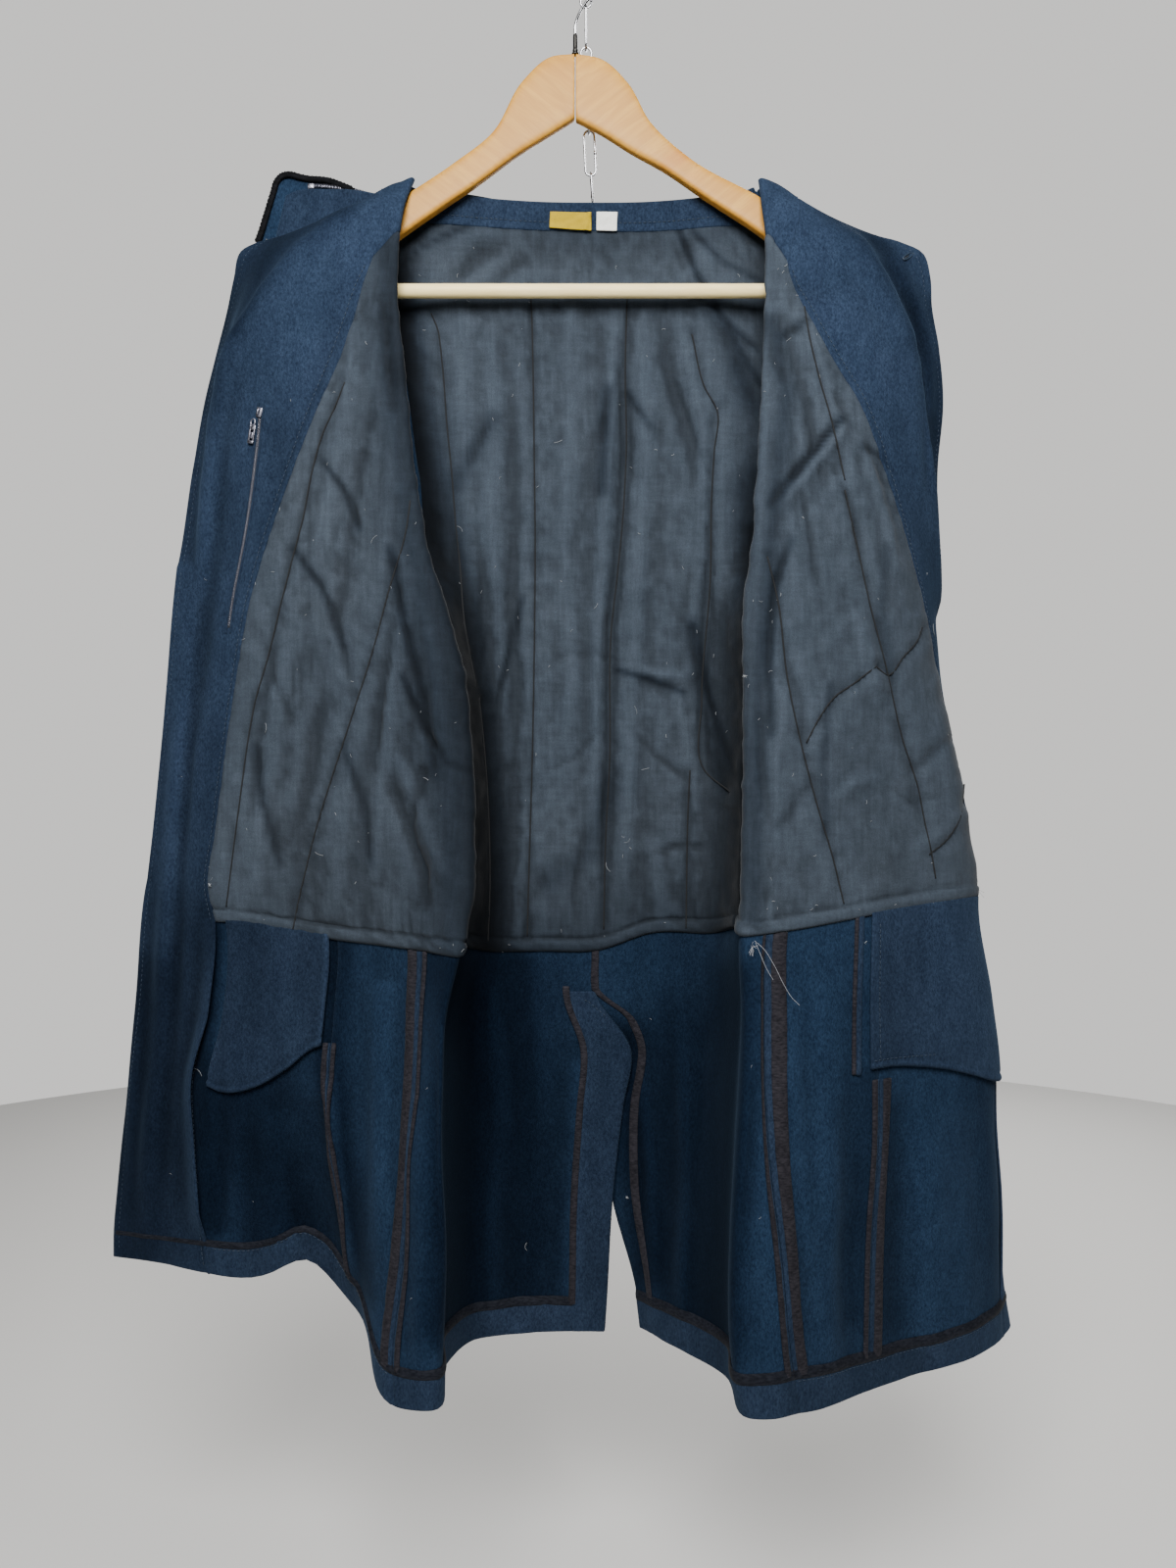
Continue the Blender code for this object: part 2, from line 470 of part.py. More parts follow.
def make_collar():
    low = smooth_path([np.array(place(*a)) / 1000 for a, _ in COLLAR], 2 * len(COLLAR) - 1)
    high = smooth_path([np.array(place(*b)) / 1000 for _, b in COLLAR], 2 * len(COLLAR) - 1)
    grid = np.array([[h, (h + l) / 2, l] for l, h in zip(low, high)])
    normals = grid_normals(grid)
    if normals[..., 1].sum() > 0:
        normals = -normals
    n = grid.shape[1]
    quads = [(c * n + r, c * n + r + 1, (c + 1) * n + r + 1, (c + 1) * n + r)
             for c in range(len(grid) - 1) for r in range(n - 1)]
    wall("collar", grid.reshape(-1, 3), normals.reshape(-1, 3), quads, -2.2, 0.0, NAVY)


def make_coat():
    coat = Coat()
    f, p, s = coat.cells, coat.points, coat.normals

    def piece(name, quads, low, high, look, inset=GAP / 2):
        wall(name, p, s, quads, low, high, look, inset)

    off = GAP + 0.1
    for side, word in ((-1, "left"), (1, "right")):
        piece(f"front_{word}", f(side, "edge", "return", 0, "armpit") + f(side, "edge", "dart", "armpit", "hem"),
              -SHELL, 0, NAVY)
        piece(f"side_panel_{word}", f(side, "dart", "side", "armpit", "hem"), -SHELL, 0, NAVY)
        piece(f"back_{word}", f(side, "return_b", "centre", 0, "armpit") + f(side, "side", "centre", "armpit", "hem"),
              -SHELL, 0, NAVY)
        make_sleeve(f"sleeve_{word}", coat, side, SLEEVE_L if side < 0 else SLEEVE_R)
        piece(f"facing_{word}", f(side, "edge", "seam", 0, "hem") + f(side, "seam", "return", 0, "lining_top"),
              off, off + FACING, NAVY_IN)
        piece(f"lining_front_{word}", f(side, "seam", "return", "lining_top", "lining_hem"),
              off, off + LINING, LINED, GAP)
        for line in ("dart", "side"):
            top = "pocket_foot" if line == "dart" and side > 0 else "lining_hem"
            for a, b, which in ((line + "_a", line, "outer"), (line, line + "_b", "inner")):
                piece(f"{line}_seam_binding_{which}_{word}", f(side, a, b, top, "hem_tape"),
                      off, off + BINDING, BROWN, GAP / 2)
        piece(f"hem_front_{word}", f(side, "seam", "side", "hem_tape", "hem"), off, off + FACING, NAVY_IN)
        end = "mid_centre" if side < 0 else "centre"
        piece(f"hem_back_{word}", f(side, "side", end, "hem_tape", "hem"), off, off + FACING, NAVY_IN)
    piece("neck_facing", f(-1, "return_b", "centre", 0, "gorge") + f(1, "return_b", "centre", 0, "gorge"),
          off, off + FACING, NAVY_IN)
    piece("lining_back", f(-1, "return_b", "centre", "gorge", "lining_hem")
          + f(1, "return_b", "centre", "gorge", "lining_hem"), off, off + LINING, LINED)
    piece("vent_facing", f(-1, "mid_centre", "centre", "skirt_1", "hem"), off, off + FACING, NAVY_IN)
    make_collar()
    make_trims(coat)


def make_trims(coat):
    """Zips, their slider and pull, welt, vent binding, label and tag, each on the triangles it lies on."""
    c, r = coat.col, ROW
    over = GAP + 0.1 + FACING + GAP + 0.1
    ridge, centre, mid = c["ridge"], c["centre"], c["mid"]
    out, seam, dart = GAP + 1.1, c["seam"], c["dart"]
    patch("pocket_bag_left", coat, -1, [seam + 0.04, seam + 0.5, seam + 1, seam + 1.5, dart - 1.15],
          ((0.0, 16.0), (0.12, 16.1), (0.5, 16.0), (0.72, 15.75), (0.9, 15.5), (1.0, 15.42)), out, out + FACING, NAVY_IN)
    patch("pocket_bag_right", coat, 1, [seam + 0.04, seam + 0.5, seam + 1, seam + 1.5, dart - 1, dart, dart + 1, dart + 1.12],
          ((0.0, 16.2), (0.25, 16.15), (0.55, 15.92), (0.8, 15.84), (1.0, 15.85)), out, out + FACING, NAVY_IN)
    zip_track = [(ridge + 0.62 + 0.10 * k, r["chest_2"] + 0.22 + 0.37 * 2 * k) for k in range(5)]
    strip("pocket_zip", coat, -1, zip_track, 3.5, over, over + 0.8, ((0.10, 0.10, 0.13), 0.4, 0.6))
    top = zip_track[0]
    strip("zip_slider", coat, -1, [(top[0] - 0.02, top[1] - 0.14), (top[0], top[1])], 3.2, over + 1.1, over + 3.0, STEEL)
    strip("zip_pull", coat, -1, [(top[0] - 0.06, top[1] + 0.06), (top[0] - 0.10, top[1] + 0.48)], 2.6,
          over + 2.0, over + 3.2, STEEL)
    strip("welt_strip", coat, 1, [(c["dart_b"] + 0.40, r["lining_hem"] + 0.06 + 0.21 * k) for k in range(9)], 3.0,
          GAP + 0.3, GAP + 0.3 + BINDING, BROWN)
    strip("vent_binding", coat, 1, [(centre - 1.25, r["skirt_1"] + 0.6 + 0.2 * k) for k in range(18)], 3.5,
          GAP + 0.5, GAP + 0.5 + BINDING, BROWN)
    strip("label", coat, -1, [(centre - 0.62, r["neck"] + 0.30), (centre - 0.62, r["neck"] + 0.97)], 17.5,
          over + 0.2, over + 1.2, YELLOW)
    strip("tag", coat, 1, [(centre - 0.40, r["neck"] + 0.32), (centre - 0.40, r["neck"] + 0.97)], 8.5,
          over + 0.2, over + 0.9, WHITE)


def bevelled_plate(name, outline, thick, look, bevel=2.0):
    """An outline (x, z) in millimetres, extruded in depth about 0, with rounded edges."""
    n = len(outline)
    verts = [(x / 1000, y * thick / 2000, z / 1000) for y in (-1, 1) for x, z in outline]
    faces = [tuple(range(n)), tuple(range(2 * n - 1, n - 1, -1))]
    faces += [(i, n + i, n + (i + 1) % n, (i + 1) % n) for i in range(n)]
    obj = new_object(name, verts, faces, *look)
    bm = bmesh.new()
    bm.from_mesh(obj.data)
    bmesh.ops.recalc_face_normals(bm, faces=bm.faces)
    bm.to_mesh(obj.data)
    bm.free()
    if bevel:
        mod = obj.modifiers.new("edge", "BEVEL")
        mod.width = bevel / 1000
        mod.segments = 1
        mod.limit_method = "ANGLE"
        mod.angle_limit = math.radians(50)
    return obj


def tube(name, path, radius, sides, look, closed=False):
    """A round wire through points in metres."""
    path = [np.asarray(p, float) for p in path]
    n = len(path)
    radius = np.broadcast_to(radius, n)
    verts, faces = [], []
    up = np.array((0.0, 1.0, 0.0))
    for i in range(n):
        a = path[(i - 1) % n] if closed or i > 0 else path[i]
        b = path[(i + 1) % n] if closed or i < n - 1 else path[i]
        t = (b - a) / np.linalg.norm(b - a)
        ref = up if abs(t @ up) < 0.9 else np.array((1.0, 0.0, 0.0))
        if i:
            ref = last
        s = ref - t * (ref @ t)
        s /= np.linalg.norm(s)
        last = s
        w = np.cross(t, s)
        for k in range(sides):
            a2 = 2 * math.pi * k / sides
            verts.append(path[i] + radius[i] * (math.cos(a2) * s + math.sin(a2) * w))
    rings = n if closed else n - 1
    for i in range(rings):
        j = (i + 1) % n
        for k in range(sides):
            k2 = (k + 1) % sides
            faces.append((i * sides + k, i * sides + k2, j * sides + k2, j * sides + k))
    if not closed:
        faces.append(tuple(reversed(range(sides))))
        faces.append(tuple((n - 1) * sides + k for k in range(sides)))
    return new_object(name, verts, faces, *look)


# ---------------------------------------------------------------- hanger, hook and chain
# The arm's outline from the mitre joint to its tip: (across, down) of the upper and the lower edge.
ARM_L = ((586, 57, 586, 123), (562, 60, 562, 138), (534, 84, 530, 158), (503, 137, 492, 186), (464, 168, 452, 213),
         (407, 206, 405, 246), (360, 239, 358, 284), (330, 264, 330, 308), (317, 284, 319, 307))
ARM_R = ((588, 57, 588, 124), (613, 62, 613, 137), (641, 87, 645, 157), (663, 126, 676, 174), (703, 163, 716, 201),
         (783, 208, 783, 246), (824, 238, 824, 281), (848, 260, 850, 304), (862, 279, 862, 301))
HOOK = ((588, 40), (588, 28), (592, 12), (600, 0), (611, -12), (614, -22), (611, -34), (604, -41), (593, -42), (585, -35), (580, -22))
JOINTS = ((598, -79, 0.0), (598, -36, 0.0), (598, 7, 5.0), (598, 50, 11.5), (599, 93, 14.0), (601, 135, 15.5),
          (603, 178, 21.5), (606, 221, 29.5))  # where links hang in each other: across, down, depth


def make_hanger():
    for name, table in (("hanger_arm_left", ARM_L), ("hanger_arm_right", ARM_R)):
        upper = [place(u, v, 0) for u, v, _, _ in table]
        lower = [place(u, v, 0) for _, _, u, v in table]
        outline = [(p[0], p[2]) for p in upper] + [(p[0], p[2]) for p in reversed(lower)]
        obj = bevelled_plate(name, outline, HANGER_THICK, WOOD, 3.2)
        cut = hidden_cylinder(name + "_bar_hole", place(350 if name.endswith("left") else 834, 297, 0),
                              TENON_D / 2 + GAP, 32.0)
        mod = obj.modifiers.new("bar", "BOOLEAN")
        mod.operation, mod.object, mod.solver = "DIFFERENCE", cut, "EXACT"
    ends = ((333, TENON_D), (363, TENON_D), (363.5, BAR_D), (590, BAR_D), (822.5, BAR_D), (823, TENON_D), (850, TENON_D))
    tube("hanger_bar", [np.array(place(u, 297, 0)) / 1000 for u, _ in ends], [d / 2000 for _, d in ends], 12, WOOD_PALE)
    stem = place(587, 57, 0)
    x, _, z = (c / 1000 for c in stem)
    tube("hook_stem", [(x, 0, z + GAP / 1000), (x, 0, z + 0.009), (x, 0, z + 0.018)], 0.0020, 10,
         ((0.02, 0.02, 0.022), 0.4, 0.8))
    wire = [np.array(place(u, v, -0.8)) / 1000 for u, v in HOOK]
    wire[0] = np.array((x, -0.0, z + 0.018 + GAP / 1000))
    wire[1] = np.array((x, -0.0006, wire[1][2]))
    fine = smooth_path(wire, 26)
    tube("hanger_hook", fine, HOOK_D / 2000, 6, STEEL)


def smooth_path(points, count):
    points = np.asarray(points, float)[:, None, :]
    at = np.linspace(0, len(points) - 1, count)[:, None]
    return [p[0] for p in spline(points, at)]


def hidden_cylinder(name, centre, radius, length):
    bpy.ops.mesh.primitive_cylinder_add(vertices=16, radius=radius / 1000, depth=length / 1000,
                                        location=[c / 1000 for c in centre], rotation=(0, math.pi / 2, 0))
    obj = bpy.context.object
    obj.name = name
    obj.hide_render = True
    obj.display_type = "WIRE"
    return obj


def make_chain():
    for i in range(len(JOINTS) - 1):
        a, b = (np.array(place(*JOINTS[k])) / 1000 for k in (i, i + 1))
        axis = (b - a) / np.linalg.norm(b - a)
        across = np.array((1.0, 0.0, 0.0)) if i % 2 else np.array((0.0, 1.0, 0.0))
        across = across - axis * (across @ axis)
        across /= np.linalg.norm(across)
        half = np.linalg.norm(b - a) / 2 + LINK_WIRE / 2000 + 0.00005
        wide = LINK_WIDE / 2000 - LINK_WIRE / 2000
        middle = (a + b) / 2
        ring = []
        for k in range(14):
            w = 2 * math.pi * (k + 0.5) / 14
            c, s = math.cos(w), math.sin(w)
            ring.append(middle + across * wide * c + axis * (math.copysign(half - wide, s) * (abs(s) > 0.05) + wide * s))
        tube(f"chain_link_{i + 1}", ring, LINK_WIRE / 2000, 6, STEEL, closed=True)


def main():
    for obj in list(bpy.data.objects):
        bpy.data.objects.remove(obj, do_unlink=True)
    make_coat()
    make_hanger()
    make_chain()


main()
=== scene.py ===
"""Looks of a wool overcoat hung wide open on a wooden hanger, its inside to the front.

The coat's lines and rows are those of the construction solids; here they are read as smooth curves and the cloth
gets its folds, puckers, seams and edges. Lengths are in millimetres where a name or comment says so, else metres.
"""

import math

import bmesh
import bpy
import numpy as np
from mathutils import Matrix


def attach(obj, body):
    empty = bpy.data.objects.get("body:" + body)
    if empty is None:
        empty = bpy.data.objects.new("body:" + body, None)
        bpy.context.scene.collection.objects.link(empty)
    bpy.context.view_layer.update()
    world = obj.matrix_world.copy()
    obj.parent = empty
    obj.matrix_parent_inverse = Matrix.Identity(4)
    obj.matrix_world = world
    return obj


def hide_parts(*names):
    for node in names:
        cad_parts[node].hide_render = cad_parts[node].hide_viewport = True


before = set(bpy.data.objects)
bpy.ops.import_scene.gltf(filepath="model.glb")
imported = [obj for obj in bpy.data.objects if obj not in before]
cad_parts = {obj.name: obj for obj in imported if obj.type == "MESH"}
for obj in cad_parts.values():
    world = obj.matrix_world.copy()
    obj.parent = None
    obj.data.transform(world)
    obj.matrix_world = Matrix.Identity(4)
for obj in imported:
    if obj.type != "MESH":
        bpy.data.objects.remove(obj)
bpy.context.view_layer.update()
rng = np.random.default_rng(7)

SIGHT = 1003.0
SCALE = 1204.0
TOP = 732.26
ASIDE = 1.67
GAP = 0.3
# ---------------------------------------------------------------- the coat's lines and rows
# Each entry is (across, down) in the front view and (depth in millimetres); the hanger's plane has depth 0.
ROWS = ("neck", "gorge", "lining_top", "shoulder", "bar", "chest_1", "chest_2", "chest_3", "scye", "armpit",
        "waist_1", "waist_2", "hip_1", "hip_2", "lining_hem", "skirt_1", "pocket_foot", "skirt_2", "skirt_3",
        "hem_tape", "hem")

FRONT_L = {
    # row          front edge      lapel ridge     facing seam     dart seam       side seam       crest
    "neck":        ((293, 250, 27), (378, 203, -4), (391, 195, -5), (401, 190, -4), (411, 187, -4), (421, 183, -3)),
    "gorge":       ((262, 246, 30), (345, 222, -14), (382, 215, -18), (393, 212, -18), (402, 210, -17), (411, 208, -15)),
    "lining_top":  ((245, 256, 33), (312, 250, -18), (381, 262, -24), (390, 253, -23), (398, 244, -22), (406, 236, -20)),
    "shoulder":    ((236, 283, 34), (283, 279, -16), (371, 290, -26), (384, 284, -26), (394, 280, -26), (403, 276, -24)),
    "bar":         ((228, 313, 34), (262, 309, -12), (363, 320, -27), (379, 317, -28), (392, 315, -28), (403, 314, -27)),
    "chest_1":     ((216, 357, 34), (244, 350, -5), (349, 362, -28), (371, 361, -32), (391, 360, -34), (408, 359, -33)),
    "chest_2":     ((203, 410, 32), (236, 408, 2), (328, 410, -25), (359, 410, -33), (388, 410, -39), (413, 410, -39)),
    "chest_3":     ((193, 475, 29), (232, 474, 6), (301, 475, -19), (343, 475, -31), (383, 475, -42), (419, 475, -44)),
    "scye":        ((186, 545, 28), (228, 545, 8), (276, 545, -13), (330, 545, -28), (385, 545, -44), (430, 545, -50)),
    "armpit":      ((178, 620, 28), (215, 620, 10), (255, 620, -8), (320, 620, -26), (398, 620, -47), (450, 618, -57)),
    "waist_1":     ((172, 695, 30), (206, 695, 12), (241, 695, -4), (315, 695, -22), (412, 695, -48), (470, 692, -62)),
    "waist_2":     ((165, 775, 32), (197, 775, 13), (230, 775, -2), (318, 775, -20), (418, 775, -48), (477, 775, -66)),
    "hip_1":       ((158, 850, 33), (189, 850, 15), (221, 850, 0), (325, 850, -20), (423, 850, -52), (479, 850, -71)),
    "hip_2":       ((151, 908, 35), (183, 908, 16), (214, 908, 2), (336, 912, -20), (427, 915, -54), (476, 917, -74)),
    "lining_hem":  ((147, 944, 36), (183, 942, 16), (221, 940, 4), (344, 959, -20), (431, 970, -55), (465, 976, -76)),
    "skirt_1":     ((140, 1035, 36), (178, 1035, 18), (217, 1035, 8), (341, 1035, -20), (428, 1040, -56), (451, 1040, -78)),
    "pocket_foot": ((133, 1105, 36), (168, 1105, 20), (201, 1105, 10), (337, 1105, -20), (425, 1110, -58), (448, 1110, -80)),
    "skirt_2":     ((125, 1165, 36), (163, 1165, 20), (204, 1165, 10), (341, 1170, -19), (422, 1175, -60), (447, 1175, -81)),
    "skirt_3":     ((120, 1215, 36), (161, 1217, 20), (209, 1219, 8), (350, 1232, -17), (412, 1290, -66), (451, 1285, -83)),
    "hem_tape":    ((117, 1256, 36), (160, 1261, 20), (211, 1267, 8), (359, 1303, -14), (401, 1398, -74), (444, 1403, -85)),
    "hem":         ((117, 1281, 36), (166, 1288, 20), (215, 1298, 8), (365, 1337, -11), (404, 1434, -79), (441, 1438, -86)),
}

FRONT_R = {
    # row          front edge      lapel ridge     facing seam     dart seam       side seam       crest
    "neck":        ((891, 243, 22), (835, 217, -4), (812, 203, -5), (801, 195, -4), (789, 188, -4), (776, 184, -3)),
    "gorge":       ((920, 246, 26), (852, 238, -14), (814, 219, -18), (802, 215, -18), (791, 212, -17), (780, 210, -15)),
    "lining_top":  ((943, 259, 28), (870, 262, -18), (803, 267, -25), (796, 256, -24), (790, 247, -22), (784, 239, -20)),
    "shoulder":    ((950, 281, 28), (887, 286, -15), (808, 290, -26), (800, 284, -26), (792, 280, -25), (784, 276, -23)),
    "bar":         ((953, 312, 28), (904, 316, -10), (823, 320, -30), (808, 318, -30), (795, 316, -29), (783, 314, -28)),
    "chest_1":     ((961, 356, 27), (925, 358, -4), (846, 361, -32), (823, 361, -34), (800, 360, -35), (780, 359, -34)),
    "chest_2":     ((966, 408, 28), (940, 410, 4), (876, 411, -30), (838, 411, -39), (805, 411, -43), (779, 410, -42)),
    "chest_3":     ((963, 476, 28), (946, 476, 8), (901, 476, -24), (856, 476, -42), (812, 476, -49), (776, 475, -48)),
    "scye":        ((961, 546, 30), (948, 546, 12), (922, 546, -16), (868, 546, -45), (813, 546, -56), (772, 545, -54)),
    "armpit":      ((957, 620, 36), (953, 620, 20), (942, 620, -4), (880, 620, -46), (808, 620, -61), (766, 618, -60)),
    "waist_1":     ((922, 694, 56), (955, 695, 38), (956, 695, 12), (886, 695, -46), (802, 695, -64), (765, 692, -64)),
    "waist_2":     ((912, 772, 61), (966, 775, 46), (972, 775, 20), (892, 775, -45), (798, 775, -67), (767, 775, -68)),
    "hip_1":       ((915, 848, 62), (979, 850, 50), (986, 850, 26), (896, 850, -45), (794, 850, -70), (768, 850, -72)),
    "hip_2":       ((920, 900, 63), (987, 903, 53), (994, 903, 30), (898, 912, -47), (788, 920, -74), (766, 920, -76)),
    "lining_hem":  ((924, 918, 64), (986, 918, 54), (993, 916, 31), (898, 932, -49), (782, 953, -78), (764, 955, -79)),
    "skirt_1":     ((935, 1008, 64), (992, 1012, 56), (1005, 1015, 32), (896, 1030, -52), (779, 1040, -82), (767, 1040, -82)),
    "pocket_foot": ((945, 1076, 66), (1000, 1080, 58), (1012, 1085, 36), (896, 1098, -54), (780, 1110, -86), (765, 1110, -86)),
    "skirt_2":     ((955, 1133, 68), (1004, 1139, 59), (1012, 1145, 38), (895, 1165, -54), (784, 1178, -90), (760, 1178, -90)),
    "skirt_3":     ((968, 1205, 69), (1012, 1212, 62), (1018, 1220, 42), (889, 1245, -54), (795, 1270, -93), (753, 1270, -94)),
    "hem_tape":    ((980, 1310, 70), (1022, 1318, 60), (1021, 1330, 36), (885, 1384, -54), (810, 1403, -91), (756, 1408, -98)),
    "hem":         ((985, 1336, 71), (1027, 1349, 62), (1022, 1363, 34), (884, 1417, -54), (817, 1441, -88), (765, 1446, -99)),
}

# Behind the crest: (across, depth) of the armhole's back edge or the return, the valley, the mid back and the centre.
BACK_L = {
    # row          armhole/return  valley      mid back    centre
    "neck":        ((430, 8), (475, 11), (540, 10), (604, 9)),
    "gorge":       ((414, 11), (470, 13), (538, 13), (604, 13)),
    "lining_top":  ((404, 15), (468, 15), (538, 16), (604, 16)),
    "shoulder":    ((402, 19), (466, 17), (540, 18), (605, 18)),
    "bar":         ((401, 23), (464, 20), (541, 21), (606, 21)),
    "chest_1":     ((403, 26), (466, 22), (543, 23), (607, 23)),
    "chest_2":     ((400, 28), (470, 23), (545, 25), (608, 25)),
    "chest_3":     ((408, 29), (477, 25), (545, 27), (608, 27)),
    "scye":        ((424, 27), (484, 27), (545, 29), (608, 29)),
    "armpit":      ((452, -16), (490, 30), (545, 31), (608, 31)),
    "waist_1":     ((467, -18), (500, 33), (548, 33), (608, 33)),
    "waist_2":     ((474, -18), (506, 36), (550, 35), (608, 35)),
    "hip_1":       ((477, -18), (512, 39), (553, 37), (607, 37)),
    "hip_2":       ((475, -18), (515, 40), (555, 38), (606, 39)),
    "lining_hem":  ((466, -16), (508, 38), (555, 40), (606, 41)),
    "skirt_1":     ((456, -12), (484, 33), (549, 42), (607, 43)),
    "pocket_foot": ((455, -12), (483, 32), (549, 43), (643, 44)),
    "skirt_2":     ((455, -12), (483, 31), (549, 44), (635, 45)),
    "skirt_3":     ((455, -12), (483, 31), (548, 45), (624, 45)),
    "hem_tape":    ((454, -12), (483, 30), (549, 45), (618, 46)),
    "hem":         ((455, -13), (484, 30), (549, 45), (616, 46)),
}
BACK_R = {
    # row          armhole/return  valley      mid back    centre
    "neck":        ((768, 8), (728, 11), (668, 10), (604, 9)),
    "gorge":       ((779, 11), (722, 13), (665, 13), (604, 13)),
    "lining_top":  ((791, 15), (725, 15), (667, 16), (604, 16)),
    "shoulder":    ((791, 19), (730, 17), (669, 18), (605, 18)),
    "bar":         ((791, 23), (733, 20), (670, 21), (606, 21)),
    "chest_1":     ((790, 26), (735, 22), (671, 23), (607, 23)),
    "chest_2":     ((789, 28), (735, 23), (672, 25), (608, 25)),
    "chest_3":     ((786, 29), (734, 25), (673, 27), (608, 27)),
    "scye":        ((780, 27), (733, 27), (674, 29), (608, 29)),
    "armpit":      ((762, -16), (731, 28), (674, 31), (608, 31)),
    "waist_1":     ((763, -20), (729, 30), (674, 33), (608, 33)),
    "waist_2":     ((763, -22), (727, 31), (673, 35), (608, 35)),
    "hip_1":       ((762, -24), (725, 32), (672, 37), (607, 37)),
    "hip_2":       ((758, -26), (723, 33), (671, 39), (606, 39)),
    "lining_hem":  ((755, -27), (721, 32), (669, 40), (606, 41)),
    "skirt_1":     ((755, -28), (716, 27), (665, 40), (607, 43)),
    "pocket_foot": ((751, -30), (712, 23), (671, 40), (641, 51)),
    "skirt_2":     ((747, -32), (709, 18), (672, 40), (625, 50)),
    "skirt_3":     ((743, -34), (705, 12), (673, 39), (623, 51)),
    "hem_tape":    ((742, -35), (702, 7), (680, 26), (650, 52)),
    "hem":         ((742, -36), (701, 4), (680, 24), (654, 52)),
}
NECK_DIP = {"neck": 15.0, "gorge": 10.0, "lining_top": 6.0, "shoulder": 2.0}  # the neck hangs lower at the centre
BACK_DROP = {"lining_hem": 12.0}

STATIONS = ("edge", "ridge", "seam", "dart", "side", "crest", "return", "valley", "mid", "centre")
AT = {name: i for i, name in enumerate(STATIONS)}
ARMPIT = ROWS.index("armpit")
ROW = {name: i for i, name in enumerate(ROWS)}


def place(u, v, y):
    """A point of the front view at a depth, in millimetres from the origin."""
    d = SIGHT + y
    return ((u - 600.0) * d / SCALE + ASIDE, y, (800.0 - v) * d / SCALE - TOP)


def stations(front, back, other, side):
    """Two nets, rows by stations: with the armhole's front edge, and with its back edge, as the return."""
    nets = np.zeros((2, len(ROWS), len(STATIONS) + 1, 3))
    for i, row in enumerate(ROWS):
        for k, uvy in enumerate(front[row]):
            nets[:, i, k] = place(*uvy)
        crest = nets[0, i, AT["crest"]]
        for k, (u, y) in enumerate(back[row] + (other[row][2],)):
            d = SIGHT + y
            x = (u - 600.0) * d / SCALE + ASIDE
            across = min(1.0, abs(x) / 150.0)
            z = crest[2] - NECK_DIP.get(row, 0.0) * (1 - across**2) - BACK_DROP.get(row, 0.0) * (k in (1, 2, 3, 4))
            nets[:, i, AT["return"] + k] = (x, y, z)
        if i < ARMPIT:  # the front's armhole edge: a narrow turn behind the crest
            reach = 2.0 + 0.8 * i
            nets[0, i, AT["return"]] = crest + np.array((side * reach * 0.35, reach, 0.0))
    return nets / 1000.0


def spline(points, at):
    """Smooth curve through points (n, m, 3), read at fractional indices (k, m)."""
    n = len(points)
    step = np.linalg.norm(np.diff(points, axis=0), axis=-1)[..., None] + 1e-9
    slope = np.diff(points, axis=0) / step
    tangent = np.zeros_like(points)
    tangent[0], tangent[-1] = slope[0], slope[-1]
    if n > 2:
        tangent[1:-1] = (slope[:-1] * step[1:] + slope[1:] * step[:-1]) / (step[1:] + step[:-1])
    low = np.clip(np.floor(at + 1e-9).astype(int), 0, n - 2)
    f = (at - low)[..., None]
    m = np.arange(points.shape[1])[None, :]
    p, q, a, b, h = points[low, m], points[low + 1, m], tangent[low, m], tangent[low + 1, m], step[low, m]
    return ((2 * f**3 - 3 * f**2 + 1) * p + (f**3 - 2 * f**2 + f) * h * a
            + (3 * f**2 - 2 * f**3) * q + (f**3 - f**2) * h * b)


def net_points(net, s, t):
    """Points of the coat at stations s (k, rows) along rows t (rows,)."""
    down = spline(net, np.repeat(np.asarray(t, float)[:, None], net.shape[1], axis=1))
    points = spline(down.transpose(1, 0, 2), s)
    x, z = points[..., 0], points[..., 2]  # the left front's hem rises between its facing and its dart
    low = np.clip((-1.045 - z) / 0.10, 0.0, 1.0)
    points[..., 2] = z + 0.024 * np.exp(-(((x + 0.238) / 0.030) ** 2)) * low * low * (3 - 2 * low)
    return points


# Sleeves: the flattened tube's outer and inner edge (across, down, depth), and half its depth to front and back.
SLEEVE_L = (
    ((388, 214, 1), (436, 640, -6), 19, 17), ((352, 235, 1), (430, 668, 6), 19, 18),
    ((320, 257, 3), (423, 696, 18), 18, 18), ((297, 290, 9), (416, 727, 25), 16, 18),
    ((280, 348, 17), (410, 767, 30), 15, 16), ((264, 450, 25), (403, 830, 32), 14, 15),
    ((250, 610, 31), (396, 905, 33), 14, 14), ((236, 800, 33), (391, 985, 34), 14, 14),
    ((222, 1056, 34), (388, 1080, 34), 14, 14),
)
SLEEVE_R = (
    ((806, 218, 1), (782, 640, -8), 19, 17), ((838, 238, 1), (788, 668, 2), 18, 18),
    ((866, 257, 3), (793, 696, 12), 17, 18), ((888, 290, 8), (798, 727, 18), 16, 18),
    ((902, 348, 14), (802, 767, 22), 15, 16), ((914, 450, 19), (807, 830, 24), 14, 15),
    ((925, 610, 24), (812, 905, 26), 14, 14), ((934, 800, 27), (817, 985, 27), 14, 14),
    ((945, 1056, 28), (820, 1080, 28), 14, 14),
)


